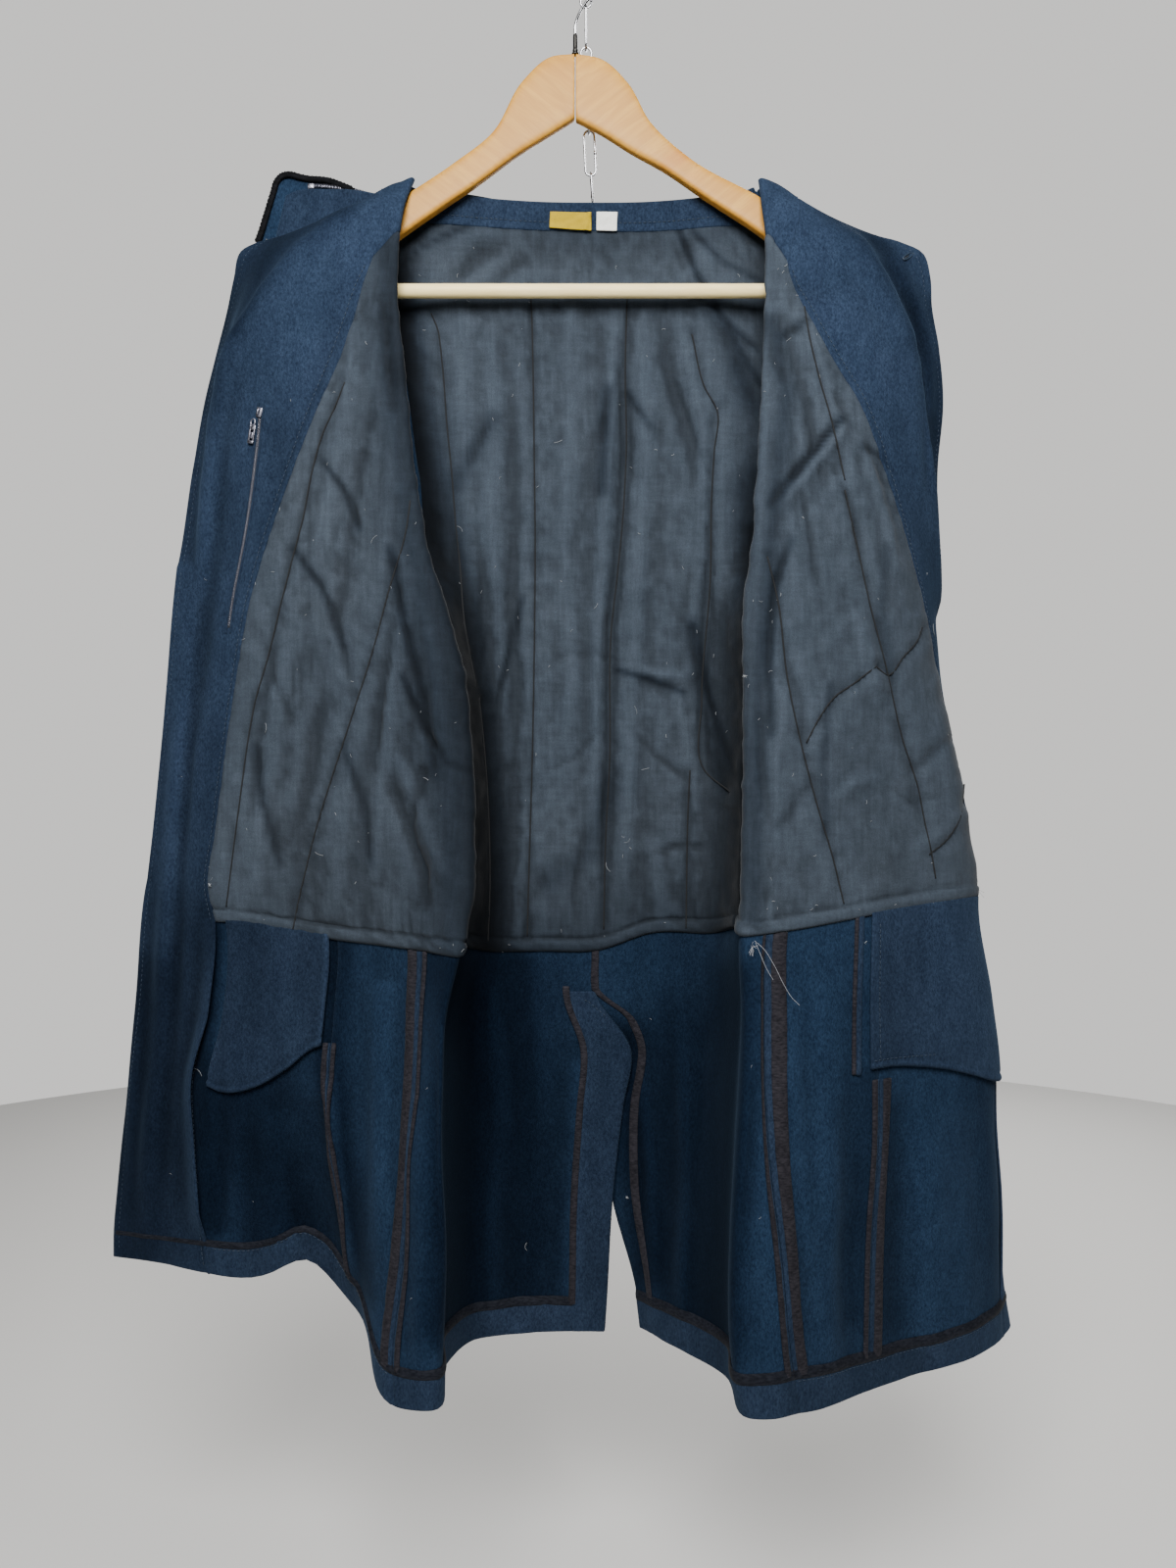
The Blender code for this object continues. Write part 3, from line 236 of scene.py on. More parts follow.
# Collar: its lower and upper edge (across, down, depth); the left end is turned up, the rest lies behind the neck.
COLLAR = (
    ((264, 254, 41), (284, 181, 45)), ((300, 262, 41), (316, 184, 43)), ((345, 250, 37), (350, 190, 37)),
    ((390, 236, 30), (390, 199, 25)), ((432, 232, 26), (436, 194, 19)), ((475, 262, 27), (476, 199, 18)),
    ((540, 274, 28), (540, 210, 18)), ((604, 278, 28), (604, 214, 18)), ((668, 274, 28), (668, 214, 18)),
    ((728, 262, 27), (726, 207, 18)), ((768, 234, 26), (762, 196, 19)), ((806, 250, 31), (806, 206, 25)),
    ((842, 286, 37), (842, 233, 30)), ((880, 318, 42), (880, 256, 38)),
)


# The arm's outline from the mitre joint to its tip: (across, down) of the upper and the lower edge.
ARM_L = ((586, 57, 586, 123), (562, 60, 562, 138), (534, 84, 530, 158), (503, 137, 492, 186), (464, 168, 452, 213),
         (407, 206, 405, 246), (360, 239, 358, 284), (330, 264, 330, 308), (317, 284, 319, 307))
ARM_R = ((588, 57, 588, 124), (613, 62, 613, 137), (641, 87, 645, 157), (663, 126, 676, 174), (703, 163, 716, 201),
         (783, 208, 783, 246), (824, 238, 824, 281), (848, 260, 850, 304), (862, 279, 862, 301))
HOOK = ((588, 40), (588, 28), (592, 12), (600, 0), (611, -12), (614, -22), (611, -34), (604, -41), (593, -42), (585, -35), (580, -22))
JOINTS = ((598, -79, 0.0), (598, -36, 0.0), (598, 7, 5.0), (598, 50, 11.5), (599, 93, 14.0), (601, 135, 15.5),
          (603, 178, 21.5), (606, 221, 29.5))  # where links hang in each other: across, down, depth




# ---------------------------------------------------------------- the coat as a smooth surface
NETS = {-1: stations(FRONT_L, BACK_L, BACK_R, -1), 1: stations(FRONT_R, BACK_R, BACK_L, 1)}
CENTRE = AT["centre"]
for t_row in range(ROW["skirt_1"] + 1):  # both backs meet at the centre, above the vent
    for net in (0, 1):
        z_mid = {s: NETS[s][net, t_row, CENTRE - 1, 2] for s in (-1, 1)}
        NETS[1][net, t_row, CENTRE, 2] = NETS[-1][net, t_row, CENTRE, 2]
        for s in (-1, 1):
            NETS[s][net, t_row, CENTRE + 1, 2] = z_mid[-s]


def surface(side, s, t, late=False):
    """Points of the coat at stations s and rows t (same shape); late reads the armhole's back edge."""
    s, t = np.broadcast_arrays(np.asarray(s, float), np.asarray(t, float))
    net = NETS[side][1 if late else 0]
    return net_points(net, s.ravel()[None, :], t.ravel())[0].reshape(s.shape + (3,))


def seen(p):
    """Where a point shows in the front view, (across, down)."""
    d = (SIGHT + p[..., 1] * 1000) / SCALE
    return np.stack([(p[..., 0] * 1000 - ASIDE) / d + 600.0, 800.0 - (p[..., 2] * 1000 + TOP) / d], axis=-1)


def ease(x, a, b):
    f = np.clip((x - a) / (b - a), 0.0, 1.0)
    return f * f * (3 - 2 * f)


def hashed(i, j, k):
    n = (i * 73856093) ^ (j * 19349663) ^ (k * 83492791)
    n = (n ^ (n >> 13)) * 1274126177
    return ((n ^ (n >> 16)) & 0xFFFF) / 32767.5 - 1.0


def noise(x, y, seed=0):
    """Smooth value noise in two directions, about -1 to 1."""
    i, j = np.floor(x).astype(np.int64), np.floor(y).astype(np.int64)
    f, g = x - i, y - j
    f, g = f * f * (3 - 2 * f), g * g * (3 - 2 * g)
    a, b = hashed(i, j, seed), hashed(i + 1, j, seed)
    c, d = hashed(i, j + 1, seed), hashed(i + 1, j + 1, seed)
    return (a * (1 - f) + b * f) * (1 - g) + (c * (1 - f) + d * f) * g


# Folds of the cloth: the part of the coat (front or back), half width in pixels of the front view,
# height in millimetres (towards the viewer is positive), and the line that the fold follows in that view.
FOLDS = (
    # part, half width, height, line
    ("front", 7, 3.4, ((862, 436), (846, 456), (826, 482), (794, 522))),
    ("front", 5, -3.0, ((855, 429), (838, 448), (818, 474), (784, 514))),
    ("front", 5, -2.0, ((879, 456), (896, 466), (914, 484))),
    ("front", 5, -1.8, ((796, 346), (812, 336), (828, 324))),
    ("front", 6, -2.4, ((806, 552), (790, 600), (784, 680), (786, 750))),
    ("back", 5, -2.2, ((689, 226), (711, 282), (738, 327), (776, 360))),
    ("back", 4, 1.6, ((697, 226), (724, 276), (752, 318), (782, 345))),
    ("back", 5, -2.0, ((706, 236), (738, 269), (780, 290))),
    ("back", 4, -1.6, ((680, 236), (692, 262), (704, 290))),
    ("back", 5, -1.8, ((718, 306), (750, 312), (784, 318))),
    ("back", 5, -2.0, ((476, 231), (430, 254), (404, 274))),
    ("back", 4, 1.4, ((478, 238), (438, 262), (406, 286))),
    ("back", 5, -1.6, ((458, 220), (430, 236), (408, 252))),
    ("back", 6, -2.2, ((503, 428), (486, 458), (468, 494))),
    ("back", 6, -2.4, ((622, 396), (618, 424), (617, 456))),
    ("back", 5, -1.8, ((640, 402), (650, 418), (664, 436))),
    ("back", 5, -2.0, ((688, 396), (704, 436), (714, 466), (726, 492))),
    ("back", 5, -2.2, ((739, 332), (756, 362), (775, 392))),
    ("back", 5, -2.0, ((534, 610), (524, 650), (512, 700), (506, 740))),
    ("back", 5, -1.8, ((470, 784), (486, 700), (500, 640))),
    ("back", 4, -1.8, ((560, 672), (596, 668), (640, 676))),
    ("back", 5, -2.0, ((700, 640), (716, 700), (738, 760))),
    ("back", 5, -2.0, ((640, 740), (668, 770), (706, 800))),
    ("back", 5, -1.8, ((552, 790), (590, 772), (612, 744))),
    ("back", 5, -1.8, ((650, 880), (690, 862), (730, 866))),
    ("back", 5, -2.0, ((600, 830), (590, 880), (584, 930))),
    ("front", 5, -1.8, ((330, 470), (352, 500), (368, 540))),
    ("front", 5, -2.0, ((300, 560), (330, 600), (352, 660), (362, 720))),
    ("front", 5, -1.8, ((268, 640), (280, 690), (300, 740))),
    ("front", 5, -1.8, ((352, 760), (372, 820), (380, 880))),
    ("front", 5, -1.8, ((262, 760), (270, 820), (286, 880))),
    ("front", 6, -2.2, ((400, 560), (414, 640), (436, 720), (446, 790))),
    ("front", 5, -2.2, ((416, 700), (430, 740), (456, 775))),
    ("front", 5, -2.0, ((396, 800), (418, 850), (440, 900))),
    ("front", 5, -1.8, ((812, 480), (826, 540), (832, 600))),
    ("front", 5, -1.8, ((846, 470), (868, 520), (880, 580))),
    ("front", 5, -1.8, ((800, 660), (818, 720), (820, 780))),
    ("front", 5, -2.0, ((900, 800), (930, 820), (960, 812))),
    ("front", 11, 4.0, ((262, 262), (240, 330), (226, 420), (214, 520), (206, 620))),
    ("front", 16, -3.0, ((245, 330), (224, 470), (212, 600), (198, 760))),
    ("front", 12, 3.2, ((188, 700), (176, 860), (166, 1030), (152, 1180), (146, 1280))),
    ("front", 9, -2.6, ((205, 640), (190, 820), (180, 1000), (168, 1200))),
    ("front", 8, 2.4, ((150, 900), (141, 1060), (130, 1230))),
    ("front", 14, 2.4, ((214, 1040), (206, 1110), (208, 1180), (212, 1262))),
    ("front", 10, -3.0, ((232, 1100), (226, 1180), (224, 1262))),
    ("front", 22, 4.0, ((286, 1130), (282, 1210), (290, 1290))),
    ("front", 14, -3.5, ((322, 1120), (326, 1200), (338, 1290))),
    ("front", 7, 4.5, ((338, 1100), (343, 1176), (353, 1231), (362, 1310))),
    ("front", 16, -3.0, ((366, 1000), (368, 1120), (380, 1260))),
    ("front", 20, 4.0, ((392, 1000), (386, 1150), (390, 1330))),
    ("front", 18, 3.5, ((428, 1120), (430, 1260), (430, 1400))),
    ("front", 10, -2.4, ((444, 1060), (444, 1180), (449, 1300))),
    # left lining
    ("front", 13, 3.4, ((368, 330), (352, 420), (338, 500), (322, 590))),
    ("front", 12, -3.0, ((384, 400), (366, 480), (356, 560), (340, 650))),
    ("front", 10, 2.8, ((400, 330), (404, 420), (398, 500), (386, 590))),
    ("front", 11, -3.4, ((392, 300), (398, 380), (408, 450))),
    ("front", 9, 3.6, ((420, 580), (411, 634), (400, 701), (395, 768), (389, 821), (384, 900))),
    ("front", 10, -2.8, ((408, 600), (392, 700), (380, 780))),
    ("front", 12, 3.0, ((432, 610), (446, 690), (452, 780))),
    ("front", 9, 4.2, ((405, 770), (424, 813), (440, 856), (456, 900))),
    ("front", 9, -3.6, ((396, 790), (412, 830), (428, 876), (440, 930))),
    ("front", 8, -3.0, ((434, 781), (425, 816), (419, 861))),
    ("front", 13, 2.4, ((298, 640), (282, 730), (268, 820), (258, 910))),
    ("front", 10, -2.2, ((284, 640), (268, 740), (254, 850))),
    ("front", 12, -2.4, ((330, 700), (318, 790), (300, 880))),
    ("front", 15, 2.6, ((350, 800), (346, 870), (340, 940))),
    ("front", 9, 2.2, ((246, 790), (250, 850), (262, 900))),
    # right lining
    ("front", 12, 3.2, ((812, 300), (838, 380), (858, 450), (880, 530))),
    ("front", 11, -3.0, ((800, 320), (822, 410), (842, 500))),
    ("front", 10, 2.6, ((858, 400), (884, 470), (902, 540), (916, 600))),
    ("front", 9, -3.0, ((846, 400), (880, 450), (902, 500))),
    ("front", 11, 2.8, ((792, 380), (800, 470), (806, 560), (816, 640))),
    ("front", 9, -2.4, ((786, 620), (778, 700), (776, 780), (784, 850))),
    ("front", 13, 3.0, ((800, 700), (792, 780), (790, 870))),
    ("front", 12, 2.6, ((872, 620), (884, 680), (896, 720))),
    ("front", 10, -2.4, ((912, 730), (928, 790), (944, 850))),
    ("front", 13, 2.4, ((950, 720), (966, 790), (978, 860))),
    ("front", 8, -2.4, ((930, 790), (950, 770), (968, 752))),
    ("front", 8, 2.2, ((930, 870), (960, 850), (986, 826))),
    ("front", 9, 2.4, ((846, 820), (870, 800), (900, 790))),
    ("front", 9, -2.2, ((790, 850), (812, 820), (830, 790))),
    # right front below the lining, and its lapel
    ("front", 16, 3.6, ((845, 232), (880, 262), (901, 306), (926, 357))),
    ("front", 8, 3.0, ((916, 258), (928, 291), (940, 312), (951, 350), (954, 430))),
    ("front", 8, -3.0, ((904, 258), (918, 300), (934, 340), (944, 430), (946, 520))),
    ("front", 20, 3.4, ((842, 1000), (844, 1120), (850, 1250), (846, 1400))),
    ("front", 15, -3.0, ((866, 1120), (862, 1240), (864, 1400))),
    ("front", 24, 4.2, ((950, 1130), (952, 1220), (950, 1380))),
    ("front", 14, -3.0, ((918, 1120), (912, 1230), (914, 1390))),
    ("front", 12, -2.6, ((994, 1130), (1000, 1230), (1004, 1350))),
    ("front", 12, 3.0, ((806, 1020), (812, 1140), (828, 1290))),
    ("front", 10, -2.6, ((776, 1080), (764, 1200), (756, 1330))),
    # back lining
    ("back", 12, -3.4, ((520, 250), (490, 262), (456, 290), (436, 330))),
    ("back", 9, 3.0, ((512, 238), (474, 246), (430, 268))),
    ("back", 9, -2.4, ((540, 262), (500, 290), (474, 320))),
    ("back", 10, 3.0, ((474, 300), (470, 400), (474, 520), (484, 640))),
    ("back", 13, 3.2, ((500, 330), (504, 430), (500, 540), (512, 660), (516, 780))),
    ("back", 12, -3.0, ((520, 400), (526, 520), (524, 640), (530, 760), (524, 900))),
    ("back", 14, 2.6, ((580, 300), (584, 420), (576, 560), (584, 700), (576, 860))),
    ("back", 10, -5.0, ((644, 320), (634, 380), (640, 459), (632, 560), (623, 640), (622, 779), (618, 900), (619, 950))),
    ("back", 9, 4.0, ((630, 330), (624, 420), (618, 520), (610, 640), (608, 780), (604, 900))),
    ("back", 11, 3.4, ((656, 320), (662, 420), (656, 540), (646, 680), (642, 820), (636, 930))),
    ("back", 11, -3.0, ((672, 316), (683, 382), (702, 446), (714, 502), (716, 600))),
    ("back", 9, 3.0, ((690, 310), (704, 380), (718, 440), (716, 560), (706, 640))),
    ("back", 10, -4.6, ((716, 305), (737, 335), (751, 360), (772, 392))),
    ("back", 8, 3.6, ((704, 300), (728, 322), (750, 340), (770, 356))),
    ("back", 9, -2.6, ((724, 420), (726, 520), (722, 640), (716, 715), (720, 786), (742, 806))),
    ("back", 9, 3.0, ((690, 700), (700, 760), (712, 830))),
    ("back", 10, -2.2, ((652, 694), (672, 702), (694, 700))),
    ("back", 8, 2.4, ((648, 684), (674, 690), (700, 690))),
    ("back", 10, -2.6, ((744, 236), (712, 246), (688, 258))),
    ("back", 10, 2.8, ((762, 262), (722, 270), (690, 290))),
    ("back", 9, -2.4, ((556, 880), (548, 920), (540, 962))),
    ("back", 10, 2.6, ((530, 880), (528, 930), (524, 966))),
    ("back", 12, 2.2, ((664, 850), (672, 900), (676, 944))),
    # back below the lining
    ("back", 18, 4.0, ((500, 980), (506, 1120), (500, 1260), (502, 1366))),
    ("back", 16, -3.6, ((532, 980), (536, 1120), (530, 1350))),
    ("back", 14, 3.0, ((592, 1080), (588, 1200), (584, 1350))),
    ("back", 16, -3.4, ((724, 980), (722, 1120), (718, 1380))),
    ("back", 16, 3.6, ((694, 980), (700, 1140), (696, 1370))),
    ("back", 10, 3.0, ((652, 1080), (664, 1190), (668, 1360))),
)


# Rolls of the lapels: one side of the line drops away. Part, drop in millimetres (to the right of the line's
# direction if positive), reach in pixels of the drop, and the line.
ROLLS = (
    ("front", 8.0, 46, ((398, 190), (372, 202), (338, 224), (300, 256), (268, 296), (246, 336), (228, 380), (216, 430), (208, 500), (204, 580))),
    ("front", -7.0, 40, ((836, 205), (857, 229), (881, 250), (905, 288), (922, 322), (936, 367), (946, 436), (953, 505), (957, 574), (958, 620))),
    ("front", -2.6, 12, ((878, 236), (908, 263), (926, 308), (939, 367), (949, 453), (954, 520))),
)
SHARPER = {"front": 1.25, "back": 1.15}


def rolls(uv, part):
    """Height in millimetres of the lapels' rolls."""
    height = np.zeros(len(uv))
    for where, drop, reach, line in ROLLS:
        if where != part:
            continue
        line = np.array(line, float)
        near = ((uv[:, 0] > line[:, 0].min() - 60) & (uv[:, 0] < line[:, 0].max() + 60)
                & (uv[:, 1] > line[:, 1].min() - 30) & (uv[:, 1] < line[:, 1].max() + 60))
        if not near.any():
            continue
        q = uv[near]
        best, along, gone, hand = np.full(len(q), 1e9), np.zeros(len(q)), 0.0, np.zeros(len(q))
        for a, b in zip(line[:-1], line[1:]):
            run = np.linalg.norm(b - a)
            f = np.clip(((q - a) @ (b - a)) / run**2, 0, 1)
            off = q - a - f[:, None] * (b - a)
            far = np.linalg.norm(off, axis=1)
            turn = np.sign((b - a)[0] * off[:, 1] - (b - a)[1] * off[:, 0])
            closer = far < best
            best[closer], along[closer], hand[closer] = far[closer], (gone + f * run)[closer], turn[closer]
            gone += run
        d = best * hand * np.sign(drop)
        f = along / gone
        size = np.sqrt(np.clip(f / 0.12, 0, 1) * np.clip((1 - f) / 0.25, 0, 1))
        down = np.clip(d, 0, None)
        over = np.clip(-d, 0, None)
        shape = -abs(drop) * (1 - np.exp(-((down / (0.16 * reach)) ** 1.5))) * np.exp(-((down / reach) ** 2))
        shape += 0.32 * abs(drop) * np.exp(-((over / (0.35 * reach)) ** 2)) * (d <= 0) + 0.32 * abs(drop) * np.exp(-((down / (0.10 * reach)) ** 2)) * (d > 0)
        height[near] += shape * size
    return height


def relief(uv, part):
    """Height in millimetres of the folds of one part of the coat, at places (n, 2) of the front view."""
    height = np.zeros(len(uv))
    for where, wide, high, line in FOLDS:
        if where != part:
            continue
        line = np.array(line, float)
        near = ((uv[:, 0] > line[:, 0].min() - 2.2 * wide) & (uv[:, 0] < line[:, 0].max() + 2.2 * wide)
                & (uv[:, 1] > line[:, 1].min() - 2.2 * wide) & (uv[:, 1] < line[:, 1].max() + 2.2 * wide))
        if not near.any():
            continue
        q = uv[near]
        runs = np.linalg.norm(np.diff(line, axis=0), axis=1)
        total, gone = runs.sum(), 0.0
        best, along = np.full(len(q), 1e9), np.zeros(len(q))
        for a, b, run in zip(line[:-1], line[1:], runs):
            f = np.clip(((q - a) @ (b - a)) / run**2, 0, 1)
            far = np.linalg.norm(q - a - f[:, None] * (b - a), axis=1)
            closer = far < best
            best[closer], along[closer] = far[closer], (gone + f * run)[closer]
            gone += run
        a = along / total
        size = np.clip(a / 0.22, 0, 1) * np.clip((1 - a) / 0.22, 0, 1)
        size = np.sqrt(size) * (0.85 + 0.3 * np.sin(along / 31.0 + wide))
        height[near] += SHARPER[part] * high * size * np.exp(-((best / (0.68 * wide)) ** 2))
    return height + rolls(uv, part)


def cloth(side, s, t, late=False):
    """The draped surface: points and unit normals (towards the inside, which faces the viewer)."""
    s, t = np.broadcast_arrays(np.asarray(s, float), np.asarray(t, float))
    p = surface(side, s, t, late)
    d = 0.012
    ps = surface(side, s + d, t, late) - surface(side, s - d, t, late)
    pt = surface(side, s, np.minimum(t + d, 20), late) - surface(side, s, np.maximum(t - d, 0), late)
    n = np.cross(ps, pt) * side
    n /= np.linalg.norm(n, axis=-1, keepdims=True) + 1e-12
    uv = seen(p).reshape(-1, 2)
    flat_s = s.ravel()
    front = 1 - ease(flat_s, 4.75, 5.15)
    back = ease(flat_s, 6.7, 7.2)
    h = np.zeros(len(uv))
    on = front > 0
    h[on] += relief(uv[on], "front") * front[on]
    on = back > 0
    h[on] += relief(uv[on], "back") * back[on]
    # a long slow unevenness everywhere, more towards the hem
    low = ease(t.ravel(), 12, 19)
    h += 0.9 * noise(uv[:, 0] / 42, uv[:, 1] / 120, 3 + side) + (0.5 + 1.2 * low) * noise(uv[:, 0] / 24, uv[:, 1] / 190, 9)
    hold = ease(t.ravel(), 0.0, 1.5) * (1 - 0.7 * (1 - ease(np.abs(flat_s - 6.0), 0.0, 0.8)) * (t.ravel() < 10))
    p = p + n * (h * hold / 1000).reshape(s.shape + (1,))
    return p, n


# ---------------------------------------------------------------- making meshes
COLLECTION = bpy.context.scene.collection
MADE = {}


def mesh_object(name, verts, quads, material, tris=(), uv=None, smooth=True, sharp=None, more={}):
    """A mesh of quads (and triangles) from arrays."""
    verts = np.asarray(verts, np.float32)
    quads = np.asarray(quads, np.int32).reshape(-1, 4)
    tris = np.asarray(tris, np.int32).reshape(-1, 3)
    mesh = bpy.data.meshes.new(name)
    mesh.vertices.add(len(verts))
    mesh.vertices.foreach_set("co", verts.ravel())
    loops = np.concatenate([quads.ravel(), tris.ravel()])
    mesh.loops.add(len(loops))
    mesh.loops.foreach_set("vertex_index", loops)
    starts = np.concatenate([np.arange(len(quads)) * 4, len(quads) * 4 + np.arange(len(tris)) * 3]).astype(np.int32)
    mesh.polygons.add(len(starts))
    mesh.polygons.foreach_set("loop_start", starts)
    mesh.update(calc_edges=True)
    mesh.validate()
    if smooth:
        mesh.shade_smooth()
        if sharp:
            mesh.set_sharp_from_angle(angle=math.radians(sharp))
    if uv is not None:
        layer = mesh.uv_layers.new(name="cloth")
        layer.data.foreach_set("uv", np.asarray(uv, np.float32)[loops].ravel())
    for word, values in more.items():
        mesh.attributes.new(word, "FLOAT", "POINT").data.foreach_set("value", np.asarray(values, np.float32))
    if material:
        mesh.materials.append(material)
    obj = bpy.data.objects.new(name, mesh)
    COLLECTION.objects.link(obj)
    MADE[name] = obj
    return obj


def sheet_arrays(points, normals, low, high, mask=None, round_edge=0.5):
    """A closed cloth wall over a grid (a, b, 3): its vertices and quads. low and high are millimetres, numbers or grids."""
    a, b = points.shape[:2]
    mask = np.ones((a - 1, b - 1), bool) if mask is None else mask
    low = np.broadcast_to(np.asarray(low, float), (a, b))[..., None] / 1000
    high = np.broadcast_to(np.asarray(high, float), (a, b))[..., None] / 1000
    top, bottom = points + normals * high, points + normals * low
    ids = np.arange(a * b).reshape(a, b)
    q = np.stack([ids[:-1, :-1], ids[:-1, 1:], ids[1:, 1:], ids[1:, :-1]], axis=-1)[mask]
    g = points
    test = np.cross(g[1:, 1:] - g[:-1, :-1], g[:-1, 1:] - g[1:, :-1])
    turn = np.einsum("ijk,ijk->ij", test, normals[:-1, :-1])[mask].sum() < 0
    if not turn:
        q = q[:, ::-1]
    n = a * b
    faces = [q, q[:, ::-1] + n]
    padded = np.zeros((a + 1, b + 1), bool)
    padded[1:-1, 1:-1] = mask
    rim, away = [], np.zeros((a, b, 3))
    # edges along b, between cells of neighbouring a; then edges along a
    for axis in (0, 1):
        here = padded[:, 1:-1] if axis == 0 else padded[1:-1, :]
        before = here[:-1] if axis == 0 else here[:, :-1]
        after = here[1:] if axis == 0 else here[:, 1:]
        for inner, outer, sign in ((after, before, -1), (before, after, 1)):
            i, j = np.nonzero(inner & ~outer)
            if axis == 0:
                e, f = ids[i, j], ids[i, j + 1]
                i2 = np.clip(i - sign, 0, a - 1)
                out = points[i, j] - points[i2, j]
                out2 = points[i, j + 1] - points[i2, j + 1]
            else:
                e, f = ids[i, j], ids[i + 1, j]
                j2 = np.clip(j - sign, 0, b - 1)
                out = points[i, j] - points[i, j2]
                out2 = points[i + 1, j] - points[i + 1, j2]
            out = out / (np.linalg.norm(out, axis=-1, keepdims=True) + 1e-12)
            out2 = out2 / (np.linalg.norm(out2, axis=-1, keepdims=True) + 1e-12)
            flat = away.reshape(-1, 3)
            np.add.at(flat, e, out)
            np.add.at(flat, f, out2)
            rim.append(np.stack([e, f], axis=1))
    rim = np.concatenate(rim)
    size = np.linalg.norm(away, axis=-1, keepdims=True)
    away = away / np.maximum(size, 1e-9)
    middle = (top + bottom) / 2 + away * (high - low) * round_edge
    verts = np.concatenate([top.reshape(-1, 3), bottom.reshape(-1, 3), middle.reshape(-1, 3)])
    # the way round of each rim edge follows the face that holds it
    held = {}
    for k in range(4):
        for e, f in zip(q[:, k], q[:, (k + 1) % 4]):
            held[(int(e), int(f))] = True
    side_quads = []
    for e, f in rim:
        e, f = int(e), int(f)
        if (e, f) in held:
            e, f = f, e
        side_quads.append((e, f, f + 2 * n, e + 2 * n))
        side_quads.append((e + 2 * n, f + 2 * n, f + n, e + n))
    faces.append(np.array(side_quads).reshape(-1, 4))
    faces = np.concatenate(faces)
    used = np.unique(faces)
    renumber = np.zeros(3 * n, np.int64)
    renumber[used] = np.arange(len(used))
    return verts[used], renumber[faces], used % n


def grid_uv(points):
    """Lengths across and down a grid, for the weave's direction."""
    a = np.linalg.norm(np.diff(points, axis=0), axis=-1)
    b = np.linalg.norm(np.diff(points, axis=1), axis=-1)
    u = np.concatenate([np.zeros((1, points.shape[1])), np.cumsum(a, axis=0)])
    u = u - u[len(u) // 2]
    v = np.concatenate([np.zeros((points.shape[0], 1)), np.cumsum(b, axis=1)], axis=1)
    return np.stack([u, v], axis=-1).reshape(-1, 2)


def evened(grid, cells):
    """A grid of values averaged over its neighbours, about so many cells each way."""
    k = np.arange(-2 * cells, 2 * cells + 1)
    weight = np.exp(-0.5 * (k / cells) ** 2)
    weight /= weight.sum()
    for axis in (0, 1):
        size = grid.shape[axis]
        at = np.abs(np.arange(size)[:, None] + k[None, :])
        at = np.where(at > size - 1, np.clip(2 * (size - 1) - at, 0, size - 1), at)
        moved = np.moveaxis(grid, axis, 0)
        grid = np.moveaxis(np.einsum("k,ik...->i...", weight, moved[at]), 0, axis)
    return grid


def proud(points, normals):
    """How far each point stands out from the cloth around it, near and wide, about -1 to 1."""
    out = np.zeros(points.shape[:2])
    for cells, full, part in ((3, 0.8, 0.45), (9, 3.0, 0.55)):
        if min(points.shape[:2]) > 2 * cells:
            gap = ((points - evened(points, cells)) * normals).sum(axis=-1) * 1000
            out += part * np.tanh(gap / full)
    return out
